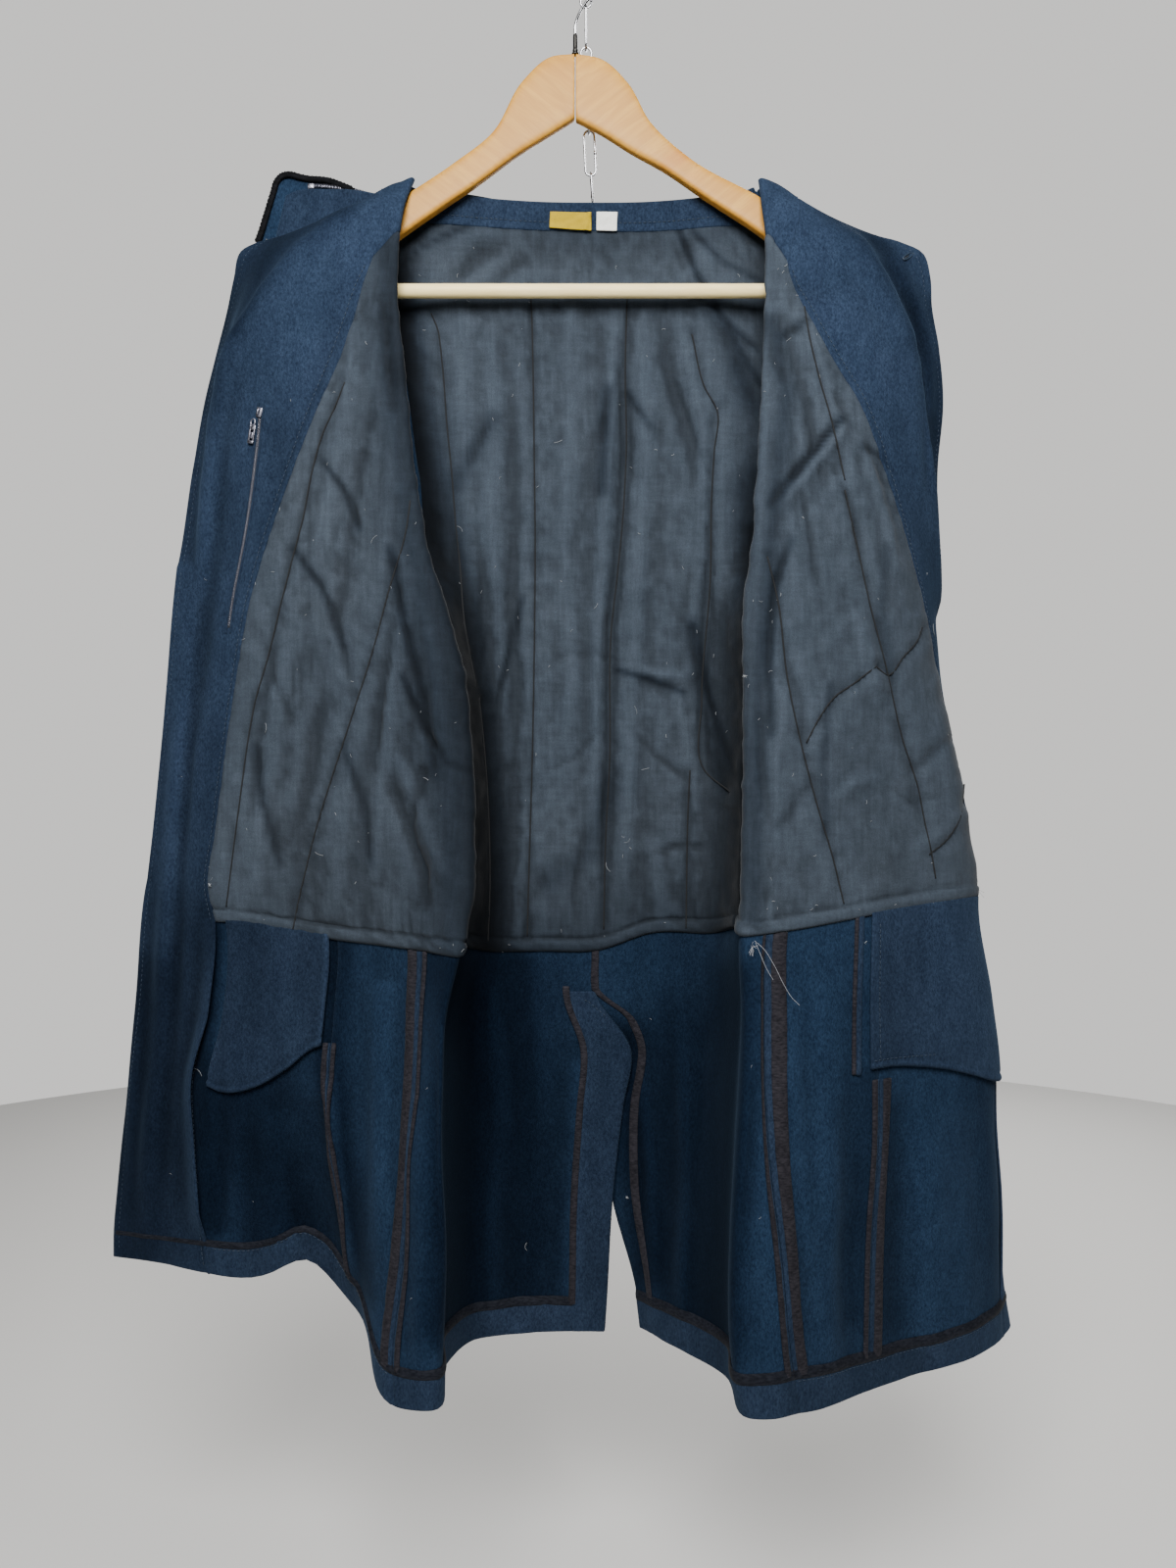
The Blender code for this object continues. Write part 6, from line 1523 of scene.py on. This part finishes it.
def collar():
    """The collar: outer layer all along, an inner layer and braid at the turned-up left end."""
    low = np.array([place(*a) for a, _ in COLLAR]) / 1000
    high = np.array([place(*b) for _, b in COLLAR]) / 1000
    k = np.linspace(0, len(COLLAR) - 1, 110)
    low, high = smooth_line(low, 110), smooth_line(high, 110)
    f = edged(np.linspace(0, 1, 14), 0.02, 0.02)
    grid = high[:, None] + (low - high)[:, None] * f[None, :, None]
    n = np.cross(np.gradient(grid, axis=0), np.gradient(grid, axis=1))
    n /= np.linalg.norm(n, axis=-1, keepdims=True)
    if n[..., 1].sum() > 0:
        n = -n
    wave = 0.8 * noise(k[:, None] * 0.9, f[None, :] * 2.0, 71) * ease(f, 0.0, 0.3)[None, :]
    outer = sheet_piece("collar_cloth", grid, n, -2.2 + wave, 0.0 + wave, NAVY, None, 0.5)
    rooted(outer, "navy_wool", "collar")
    cut(outer, flat=(0.55, 0.05), held="hung", rests_on=["back_left_cloth", "back_right_cloth"])
    # inner layer of the end that stands up
    upper = smooth_line([np.array(place(*a)) / 1000 for a in ((293, 201, 39), (301, 197, 39), (312, 195, 39), (335, 195, 36), (356, 195, 33), (380, 199, 27), (398, 204, 22))], 34)
    lower = smooth_line([np.array(place(*a)) / 1000 for a in ((281, 250, 40), (290, 254, 40), (306, 256, 39), (330, 252, 37), (350, 246, 35), (376, 240, 30), (398, 236, 26))], 34)
    f = edged(np.linspace(0, 1, 12), 0.03, 0.02)
    grid = upper[:, None] + (lower - upper)[:, None] * f[None, :, None]
    n = np.cross(np.gradient(grid, axis=0), np.gradient(grid, axis=1))
    n /= np.linalg.norm(n, axis=-1, keepdims=True)
    if n[..., 1].sum() > 0:
        n = -n
    inner = sheet_piece("collar_inner", grid, n, 0.3, 2.3 - 0.4 * np.exp(-((f * 46 - 6) / 1.0) ** 2)[None, :] * np.ones((34, 1)), NAVY_IN)
    rooted(inner, "navy_inside")
    cut(inner, flat=(0.085, 0.048), held="hung", rests_on=["collar_cloth"])
    # braid along the outer layer's end and top edge: two strands twisted
    edge = [np.array(place(*a)) / 1000 for a in ((263, 247, 40), (267, 236, 41), (271, 223, 42), (275, 210, 43), (279, 197, 43.5), (283, 185, 44), (288, 180, 44), (296, 178.5, 43.5), (306, 181, 43), (316, 183, 42.5), (326, 183.5, 41), (337, 185, 39), (348, 189, 37), (360, 194, 34))]
    spine = spaced(smooth_line(edge, 240), 0.0006)
    parts = []
    for strand in range(3):
        w = np.arange(len(spine)) * 0.0006 / 0.0062 * 2 * np.pi + strand * 2 * np.pi / 3
        off = np.stack([np.cos(w) * 0.0015, -0.0010 + 0 * w, np.sin(w) * 0.0015], axis=1)
        parts.append(tube_arrays(spine + off, 0.0016, 6))
    braid = tubes_object("collar_braid", parts, BRAID)
    rooted(braid, "binding")
    # zip along the top of that end: a metal stop and teeth on a dark tape
    line = spaced(smooth_line([np.array(place(*a)) / 1000 for a in ((318, 189.5, 39), (330, 190, 38), (344, 191.5, 36.5), (357, 193.5, 34.5), (372, 197, 31))], 60), 0.0014)
    parts = []
    for i, c in enumerate(line):
        parts.append(block_arrays(c, (0.0009, 0.0022, 0.0036), 0.0003))
    parts.append(block_arrays(np.array(place(317.5, 190.5, 38.5)) / 1000, (0.0062, 0.0034, 0.0046), 0.0006))
    teeth = tubes_object("collar_zip_teeth", parts, ZIP_METAL)
    rooted(teeth, "zip_metal")


def block_arrays(centre, size, bevel, turn=0.0):
    """A small block with cut corners."""
    x, y, z = (c / 2 for c in size)
    b = min(bevel, x * 0.8, y * 0.8, z * 0.8)
    verts = []
    for sy, shrink in ((-y, b), (-y + b, 0), (y - b, 0), (y, b)):
        w, h = x - shrink, z - shrink
        verts += [(-w, sy, -h + b), (-w, sy, h - b), (-w + b, sy, h), (w - b, sy, h), (w, sy, h - b), (w, sy, -h + b), (w - b, sy, -h), (-w + b, sy, -h)]
    verts = np.array(verts)
    c, s = math.cos(turn), math.sin(turn)
    verts = np.stack([verts[:, 0] * c - verts[:, 2] * s, verts[:, 1], verts[:, 0] * s + verts[:, 2] * c], axis=1) + centre
    quads = [(r * 8 + k, r * 8 + (k + 1) % 8, (r + 1) * 8 + (k + 1) % 8, (r + 1) * 8 + k) for r in range(3) for k in range(8)]
    quads += [(7, 6, 1, 0), (6, 5, 2, 1), (5, 4, 3, 2)]
    quads += [(24, 25, 30, 31), (25, 26, 29, 30), (26, 27, 28, 29)]
    return verts, np.array(quads), np.zeros((0, 3), int)


# ---------------------------------------------------------------- trims
def frame_at(side, s, t, late=False):
    """Point, outward normal, direction across (to larger s) and down the coat."""
    s, t = np.atleast_1d(np.asarray(s, float)), np.atleast_1d(np.asarray(t, float))
    p, n = cloth(side, s, t, late)
    down = cloth(side, s, np.minimum(t + 0.02, 20), late)[0] - cloth(side, s, np.maximum(t - 0.02, 0), late)[0]
    down /= np.linalg.norm(down, axis=-1, keepdims=True)
    across = np.cross(down, n)
    across /= np.linalg.norm(across, axis=-1, keepdims=True)
    return p, n, across, down


def placed(arrays, origin, across, normal, down):
    """Arrays in local millimetres (x across, y out of the cloth, z up) put on the cloth."""
    v, q, t = arrays
    return origin + (v[:, :1] * across + v[:, 1:2] * normal - v[:, 2:3] * down) / 1000, q, t


def capsules(path, normals, pitch, length, radius):
    """Stitches along a path in metres."""
    run = np.concatenate([[0], np.cumsum(np.linalg.norm(np.diff(path, axis=0), axis=1))])
    parts = []
    for start in np.arange(0, run[-1] - length, pitch):
        at = start + np.array((0.0, 0.18, 0.5, 0.82, 1.0)) * length
        p = np.stack([np.interp(at, run, path[:, k]) for k in range(3)], axis=1)
        n = np.stack([np.interp(at, run, normals[:, k]) for k in range(3)], axis=1)
        p = p + n * (np.array((-0.9, 0.2, 0.6, 0.2, -0.9)) * radius)[:, None]
        parts.append(tube_arrays(p, radius * np.array((0.55, 1, 1.05, 1, 0.55)), 5, caps=False))
    return parts


def stitching():
    """Topstitching of the facings, neck, linings' hem, pockets and vent."""
    lines_navy, lines_dark = [], []
    rows = np.arange(0.25, 19.85, 0.05)
    for side in (-1, 1):
        lines_navy.append((side, False, 0.117 + 0 * rows, rows, 1.75))
        below = rows[rows > 2.2]
        lines_navy.append((side, False, 1.905 + 0 * below, below, 1.95))
        s = np.arange(2.08, 5.98, 0.03)
        lines_dark.append((side, False, s, 14 - 0.163 + 0 * s, 2.35))
        s = np.arange(6.05, 9.0, 0.03)
        lines_dark.append((side, True, s, 14 - 0.163 + 0 * s, 2.35))
        lines_navy.append((side, True, s, 0.70 + 0 * s, 1.9))
        lines_navy.append((side, False, np.arange(2.05, 4, 0.04), 19.16 + 0 * np.arange(2.05, 4, 0.04), 2.05))
    f = np.linspace(0, 1, 40)
    lines_navy.append((1, False, 3.04 - 0.02 * f, 14.1 + 1.68 * f, 4.8))
    lines_navy.append((1, False, 3.08 - 0.42 * f, 15.74 - 0.03 * f, 4.9))
    lines_navy.append((-1, True, 8.78 + 0.20 * f, 15.12 + 0.30 * f**2, 2.2))
    for name, tracks, material in (("topstitching", lines_navy, NAVY_THREAD), ("lining_stitching", lines_dark, DARK_THREAD)):
        parts = []
        for side, late, s, t, high in tracks:
            p, n = cloth(side, s, t, late)
            parts += capsules(p + n * high / 1000, n, 0.0042, 0.0030, 0.00030)
        obj = tubes_object(name, parts, material)
        rooted(obj, "navy_inside" if material is NAVY_THREAD else "lining")


def pocket_zip():
    """The zip in the left facing: pressed slit, tape, teeth, slider and pull."""
    t = np.linspace(6.05, 9.35, 90)
    s = 1.40 + (t - 6.22) / 0.74 * 0.05
    for k, (a, b) in enumerate(((-3.6, -1.5), (1.5, 3.6))):
        edge = ribbon(f"zip_lip_{'ab'[k]}", -1, list(zip(s, t)), (a, b), 1.9, 2.75, NAVY_IN)
        rooted(edge, "navy_inside")
        sewn(edge, "facing_left_cloth")
    band = ribbon("zip_tape", -1, list(zip(s[2:-2], t[2:-2])), (-1.7, 1.7), 1.9, 2.25, ZIP_TAPE)
    rooted(band, "zip_tape", "pocket_zip")
    sewn(band, "facing_left_cloth")
    fine_t = np.linspace(6.30, 9.25, 400)
    fine_s = 1.40 + (fine_t - 6.22) / 0.74 * 0.05
    p, n, across, down = frame_at(-1, fine_s, fine_t)
    run = np.concatenate([[0], np.cumsum(np.linalg.norm(np.diff(p, axis=0), axis=1))])
    parts = []
    for k, at in enumerate(np.arange(0, run[-1], 0.00075)):
        i = min(int(np.searchsorted(run, at)), len(p) - 1)
        side_x = -0.42 if k % 2 else 0.42
        v, q, tr = block_arrays(np.array((side_x, 2.55, 0.0)), (1.15, 0.8, 0.62), 0.12)
        parts.append(placed((v, q, tr), p[i], across[i], n[i], down[i]))
    teeth = tubes_object("zip_teeth", parts, ZIP_METAL)
    rooted(teeth, "zip_metal")
    # slider: two plates round the teeth with a bridge; the pull hangs from it
    p, n, across, down = frame_at(-1, 1.395, 6.20)
    p, n, across, down = p[0], n[0], across[0], down[0]
    plate = block_arrays(np.array((0, 3.5, 0)), (5.6, 0.9, 8.0), 0.9)
    v = plate[0].copy()
    narrow = 1 - 0.22 * np.clip((-v[:, 2]) / 4.0, 0, 1)
    v[:, 0] *= narrow
    parts = [(v, plate[1], plate[2]), block_arrays(np.array((2.5, 2.9, 0)), (0.8, 1.3, 7.0), 0.3),
             block_arrays(np.array((-2.5, 2.9, 0)), (0.8, 1.3, 7.0), 0.3)]
    arch = [(0, 3.7, 2.6), (0, 5.0, 2.2), (0, 5.5, 0.6), (0, 5.3, -1.2), (0, 3.8, -2.2)]
    v, q, t2 = tube_arrays(smooth_line(np.array(arch, float), 24), 0.75, 8, up=(1, 0, 0))
    parts.append((v, q, t2))
    slider = tubes_object("zip_slider_body", [placed(a, p, across, n, down) for a in parts], ZIP_METAL)
    rooted(slider, "zip_metal", "zip_slider")
    p, n, across, down = frame_at(-1, 1.36, 6.42)
    p, n, across, down = p[0], n[0], across[0], down[0]
    ring = [(2.1 * math.cos(a), 5.0 - 0.15 * math.sin(a), 3.2 + 2.6 * math.sin(a)) for a in np.linspace(0, 2 * math.pi, 25)[:-1]]
    parts = [tube_arrays(np.array(ring), 0.55, 8, closed=True, up=(0, 1, 0))]
    for x in (-2.1, 2.1):
        parts.append(block_arrays(np.array((x, 4.5, -5.6)), (1.7, 1.0, 13.4), 0.4))
    parts.append(block_arrays(np.array((0, 4.5, -13.2)), (5.9, 1.0, 2.6), 0.5))
    parts.append(block_arrays(np.array((0, 4.5, -1.4)), (5.4, 1.0, 3.4), 0.5))
    parts.append(block_arrays(np.array((0, 4.35, -7.6)), (2.8, 0.6, 5.2), 0.25))
    pull = tubes_object("zip_pull_tab", [placed(a, p, across, n, down) for a in parts], ZIP_METAL)
    rooted(pull, "zip_metal", "zip_pull")


def welt():
    """Standing edge of the right pocket's opening."""
    t = np.linspace(14.0, 15.92, 60)
    s = 3.20 + 0.004 * (t - 14)
    edge = ribbon("welt_edge", 1, list(zip(s, t)), (-2.6, 2.6), 0.5, 3.2, NAVY_IN, ripple=0.1)
    rooted(edge, "navy_inside")
    sewn(edge, "front_right_cloth")
    band = ribbon("welt_tape", 1, list(zip(s + 0.035, t)), (-1.5, 1.5), 0.5, 2.6, BROWN, ripple=0.15)
    rooted(band, "binding", "welt_strip")
    sewn(band, "front_right_cloth")


def labels():
    """A folded yellow ribbon and a white one beside it, both plain, sewn into the neck seam."""
    f, g = np.linspace(0, 1, 40), np.linspace(0, 1, 22)
    s = 8.35 + 0.66 * f
    left_s = np.minimum(s, 8.99)
    grid_s = np.broadcast_to(left_s[:, None], (40, 22))
    grid_t = 0.34 + 0.03 * f[:, None] + (0.66 - 0.07 * (1 - f[:, None])) * g[None, :]
    p, n = cloth(-1, grid_s, grid_t, True)
    fold = 1.4 * np.exp(-(((f[:, None] - 0.93 + 0.10 * g[None, :]) / 0.05) ** 2))
    wave = 0.5 * noise(f[:, None] * 5 + g[None, :], g[None, :] * 3 + 0 * f[:, None], 81)
    lift = 2.7 + 1.3 * g[None, :] ** 2 + wave + fold + 0.8 * f[:, None]
    label = sheet_piece("label_cloth", p, n, lift, lift + 0.7, YELLOW)
    rooted(label, "label", "label")
    cut(label, flat=(0.036, 0.013), held="hung", rests_on=["neck_facing_cloth"])
    f = np.linspace(0, 1, 24)
    grid_s = np.broadcast_to((8.92 - 0.33 * f)[:, None], (24, 22))
    grid_t = 0.33 + 0.68 * g[None, :] + 0 * f[:, None]
    p, n = cloth(1, grid_s, grid_t, True)
    wave = 0.4 * noise(f[:, None] * 3 + g[None, :] * 2, g[None, :] * 3 + 0 * f[:, None], 83)
    lift = 2.9 + 0.7 * g[None, :] + wave
    tag = sheet_piece("tag_cloth", p, n, lift, lift + 0.6, WHITE)
    rooted(tag, "tag", "tag")
    cut(tag, flat=(0.018, 0.013), held="hung", rests_on=["neck_facing_cloth"])


def buttonhole():
    p, n, across, down = (a[0] for a in frame_at(1, 0.225, 2.02))
    loop = []
    for a in np.linspace(0, 2 * np.pi, 73)[:-1]:
        x, z = 8.5 * math.cos(a), 1.7 * math.copysign(abs(math.sin(a)) ** 0.7, math.sin(a))
        loop.append((x, 2.0 + 0.12 * math.cos(a * 36), z))
    v, q, t = tube_arrays(np.array(loop), 0.8, 8, closed=True)
    ring = tubes_object("buttonhole_edge", [placed((v, q, t), p, across, n, down)], NAVY_THREAD)
    rooted(ring, "navy_inside")
    slit = tubes_object("buttonhole_slit", [placed(block_arrays(np.array((0, 1.9, 0)), (15.0, 0.5, 1.5), 0.2), p, across, n, down)], DARK_THREAD)
    rooted(slit, "navy_inside")


SPOTS = {"lining": [], "wool": []}


def lint():
    """Pale fibres and specks caught in the cloth, and the loose thread and frayed ends at the lining's corners."""
    parts = []
    for kind, count in (("lining", 150), ("wool", 50)):
        points = np.concatenate([a for a, _ in SPOTS[kind]])
        normals = np.concatenate([b for _, b in SPOTS[kind]])
        for i in rng.integers(0, len(points), count):
            p, n = points[i], normals[i]
            side = np.cross(n, rng.normal(size=3))
            side /= np.linalg.norm(side)
            other = np.cross(n, side)
            size = rng.uniform(0.0010, 0.0036) if rng.random() < 0.9 else rng.uniform(0.006, 0.012)
            bend = rng.uniform(-0.5, 0.5)
            f = np.linspace(-0.5, 0.5, 6)[:, None]
            path = p + n * (0.00022 + 0.0006 * (0.25 - f**2)) + side * f * size + other * bend * size * (0.25 - f**2) * 2
            parts.append(tube_arrays(path, rng.uniform(0.00009, 0.00020), 5))
    for u, v, y, scale in ((203, 1208, 14, 0.7), (640, 1222, 46, 0.5), (214, 903, 0, 0.8), (882, 962, -52, 0.6), (760, 690, -66, 0.5)):
        centre = np.array(place(u, v, y - 5.5)) / 1000
        for _ in range(9):
            d = rng.normal(size=3) * (0.0016, 0.0003, 0.0016) * scale
            parts.append(tube_arrays(np.array([centre - d, centre + rng.normal(size=3) * 0.0004, centre + d]), 0.00022, 5))
    obj = tubes_object("lint", parts, LINT)
    rooted(obj, "lining")
    parts = []
    for pts in (((770, 960, -86), (779, 968, -90), (790, 985, -92), (800, 1005, -91), (808, 1018, -90), (816, 1026, -90)),
                ((771, 962, -87), (776, 974, -91), (782, 988, -93), (789, 1000, -92))):
        path = smooth_line([np.array(place(*a)) / 1000 for a in pts], 40)
        parts.append(tube_arrays(path, 0.00016, 5))
    for corner in ((768, 966, -84), (996, 908, 20)):
        c = np.array(place(*corner)) / 1000
        for _ in range(16):
            d = rng.normal(size=3) * (0.0030, 0.0012, 0.0034) + (0, -0.0016, -0.0022)
            parts.append(tube_arrays(np.array([c, c + d * 0.6 + rng.normal(size=3) * 0.0005, c + d]), 0.00014, 5))
    obj = tubes_object("loose_threads", parts, woven("pale_thread", (0.30, 0.31, 0.33), 0.8))
    rooted(obj, "lining")


def hanger():
    """Two mitred wooden arms of rounded section, a dowel, the dark stem and the wire hook."""
    for word, table, material in (("left", ARM_L, WOOD_L), ("right", ARM_R, WOOD_R)):
        upper = smooth_line([np.array(place(u, v, 0)) / 1000 for u, v, _, _ in table], 90)
        lower = smooth_line([np.array(place(u, v, 0)) / 1000 for _, _, u, v in table], 90)
        middle, half = (upper + lower) / 2, (upper - lower) / 2
        angle = 2 * np.pi * (np.arange(40) + 0.5) / 40
        c, s = np.cos(angle), np.sin(angle)
        e = 2 / 4.6
        x = np.sign(c) * np.abs(c) ** e
        y = np.sign(s) * np.abs(s) ** e
        sections = []
        grow = np.ones(90)
        for i in range(90):
            sections.append(middle[i] + half[i] * x[:, None] * grow[i] + np.array((0, 0.006, 0)) * y[:, None])
        tip = middle[-1] - middle[-2]
        tip /= np.linalg.norm(tip)
        first = middle[0] - middle[1]
        first /= np.linalg.norm(first)
        ends = []
        for out, size in ((0.0012, 0.94), (0.0022, 0.80), (0.0028, 0.55)):
            ends.append(middle[-1] + tip * out + half[-1] * x[:, None] * size + np.array((0, 0.006 * size, 0)) * y[:, None])
        start = [middle[0] + half[0] * x[:, None] * k + np.array((0, 0.006 * k, 0)) * y[:, None] + first * o for k, o in ((0.97, 0.0003), (0.90, 0.0004))]
        grid = np.array(start[::-1] + sections + ends)
        m, k = grid.shape[:2]
        ids = np.arange(m * k).reshape(m, k)
        quads = np.stack([ids[:-1], ids[1:], np.roll(ids, -1, axis=1)[1:], np.roll(ids, -1, axis=1)[:-1]], axis=-1).reshape(-1, 4)
        verts = grid.reshape(-1, 3)
        verts = np.concatenate([verts, [grid[0].mean(axis=0), grid[-1].mean(axis=0)]])
        tris = [(m * k, j, (j + 1) % k) for j in range(k)] + [(m * k + 1, (m - 1) * k + (j + 1) % k, (m - 1) * k + j) for j in range(k)]
        arm = mesh_object(f"wood_arm_{word}", verts, quads, material, tris=tris, sharp=50)
        bm = bmesh.new()
        bm.from_mesh(arm.data)
        bmesh.ops.recalc_face_normals(bm, faces=bm.faces)
        bm.to_mesh(arm.data)
        bm.free()
        rooted(arm, "wood", f"hanger_arm_{word}")
    u = np.array((333, 334, 340, 362, 363, 364, 470, 590, 700, 822, 822.6, 823, 845, 849, 850), float)
    r = np.array((3.2, 4, 4, 4, 5.6, 6, 6.03, 5.97, 6.02, 6, 5.6, 4, 4, 4, 3.2)) / 1000
    bar = tubes_object("wood_bar", [tube_arrays(np.array([place(a, 297, 0) for a in u]) / 1000, r, 40)], WOOD_BAR)
    rooted(bar, "bar_wood", "hanger_bar")
    x, _, z = (c / 1000 for c in place(587, 57, 0))
    h = np.array((0.3, 0.6, 1.4, 2.0, 2.3, 3.4, 3.8, 5.0, 5.6, 7.0, 9.0, 12.0, 15.0, 17.0, 17.8, 18.0)) / 1000
    r = np.array((1.6, 3.0, 3.1, 2.9, 2.0, 2.0, 2.3, 2.3, 1.9, 1.9, 1.9, 1.9, 1.9, 1.85, 1.7, 1.3)) / 1000
    stem = tubes_object("stem", [tube_arrays(np.stack([x + 0 * h, 0 * h, z + h], axis=1), r, 20)], STEM)
    rooted(stem, "hook_stem", "hook_stem")
    wire = [np.array(place(a, b, -0.8)) / 1000 for a, b in HOOK]
    wire[0] = np.array((x, 0.0, z + 0.0183))
    wire[1] = np.array((x, -0.0006, wire[1][2]))
    path = smooth_line(wire, 150)
    r = np.full(150, 0.0012)
    r[-3:] = (0.00115, 0.0009, 0.0005)
    hook = tubes_object("hook", [tube_arrays(path, r, 16)], BRIGHT)
    rooted(hook, "hook_wire", "hanger_hook")


def chain():
    for i in range(len(JOINTS) - 1):
        a, b = (np.array(place(*JOINTS[k])) / 1000 for k in (i, i + 1))
        axis = (b - a) / np.linalg.norm(b - a)
        across = np.array((1.0, 0.0, 0.0)) if i % 2 else np.array((0.0, 1.0, 0.0))
        across = across - axis * (across @ axis)
        across /= np.linalg.norm(across)
        half = np.linalg.norm(b - a) / 2 + 0.00105
        wide = 0.0045
        middle = (a + b) / 2
        ring = []
        for w in np.linspace(0, 2 * np.pi, 41)[:-1] + 0.0785:
            c, s = math.cos(w), math.sin(w)
            ring.append(middle + across * wide * c + axis * (math.copysign(half - wide, s) + wide * s))
        parts = [tube_arrays(np.array(ring), 0.00098, 12, closed=True)]
        # the weld, halfway down one side
        weld = [middle + across * wide + axis * o for o in (-0.0016, -0.0006, 0.0006, 0.0016)]
        parts.append(tube_arrays(np.array(weld), (0.00095, 0.0013, 0.0013, 0.00095), 12))
        link = tubes_object(f"link_{i + 1}", parts, STEEL)
        rooted(link, "chain_steel", f"chain_link_{i + 1}")


def stage():
    """Pale floor, soft light and the camera."""
    turn = np.linspace(0, 2 * math.pi, 129)[:-1]
    rings = np.concatenate([np.stack([r * np.cos(turn), 0.1 + r * np.sin(turn), -1.52 + 0 * turn], axis=1) for r in (0.02, 2.3)])
    k = np.arange(128)
    floor = mesh_object("floor", rings, np.stack([k, k + 128, (k + 1) % 128 + 128, (k + 1) % 128], axis=1), None)
    material, nodes, links, shader = shade("floor", 0.9)
    shader.inputs["Base Color"].default_value = (0.62, 0.61, 0.59, 1.0)
    shader.inputs["Specular IOR Level"].default_value = 0.1
    floor.data.materials.append(material)
    world = bpy.data.worlds.new("world")
    bpy.context.scene.world = world
    world.use_nodes = True
    nodes, links = world.node_tree.nodes, world.node_tree.links
    dim = nodes["Background"]
    dim.inputs["Color"].default_value = (0.82, 0.81, 0.79, 1.0)
    dim.inputs["Strength"].default_value = 0.11
    pale = nodes.new("ShaderNodeBackground")
    pale.inputs["Color"].default_value = (0.82, 0.81, 0.79, 1.0)
    pale.inputs["Strength"].default_value = 1.05
    both = nodes.new("ShaderNodeMixShader")
    links.new(nodes.new("ShaderNodeLightPath").outputs["Is Camera Ray"], both.inputs[0])
    links.new(dim.outputs[0], both.inputs[1])
    links.new(pale.outputs[0], both.inputs[2])
    links.new(both.outputs[0], nodes["World Output"].inputs["Surface"])
    for name, where, aim, size, power in (
            ("key", (-0.10, -1.45, 0.22), (0.0, 0.0, -0.38), 0.95, 68.0),
            ("top", (0.0, -0.55, 1.2), (0.0, 0.0, -0.4), 0.8, 9.0),
            ("rear", (0.6, 2.0, 0.5), (0.0, 0.0, -0.6), 1.8, 80.0)):
        light = bpy.data.lights.new(name, "AREA")
        light.shape = "DISK"
        light.size = size
        light.energy = power
        obj = bpy.data.objects.new(name, light)
        COLLECTION.objects.link(obj)
        obj.location = where
        d = np.array(aim) - np.array(where)
        d = d / np.linalg.norm(d)
        obj.rotation_euler = (math.acos(-d[2]), 0.0, math.atan2(d[1], d[0]) - math.pi / 2)
    camera = bpy.data.cameras.new("camera")
    camera.sensor_fit = "HORIZONTAL"
    camera.sensor_width = 36.0
    camera.lens = 36.0 * SCALE / 1200.0
    obj = bpy.data.objects.new("camera", camera)
    COLLECTION.objects.link(obj)
    obj.location = (ASIDE / 1000, -SIGHT / 1000, -TOP / 1000)
    obj.rotation_euler = (math.pi / 2, 0.0, 0.0)
    bpy.context.scene.camera = obj


def remember(kind, *names):
    """Places where lint can lie: points of a piece's outer side."""
    for name in names:
        mesh = MADE[name].data
        co, no = np.zeros(len(mesh.vertices) * 3, np.float32), np.zeros(len(mesh.vertices) * 3, np.float32)
        mesh.vertices.foreach_get("co", co)
        mesh.vertices.foreach_get("normal", no)
        co, no = co.reshape(-1, 3), no.reshape(-1, 3)
        front = no[:, 1] < -0.5
        SPOTS[kind].append((co[front], no[front]))


stage()
shell_pieces()
facings()
neck()
linings()
bindings()
pocket_bags()
sleeves()
collar()
hanger()
chain()
pocket_zip()
welt()
labels()
seam_threads()
buttonhole()
stitching()
remember("lining", "lining_front_left_cloth", "lining_front_right_cloth", "lining_back_cloth")
remember("wool", "facing_left_cloth", "facing_right_cloth", "back_left_cloth", "back_right_cloth", "side_panel_left_cloth", "side_panel_right_cloth", "front_left_cloth")
lint()
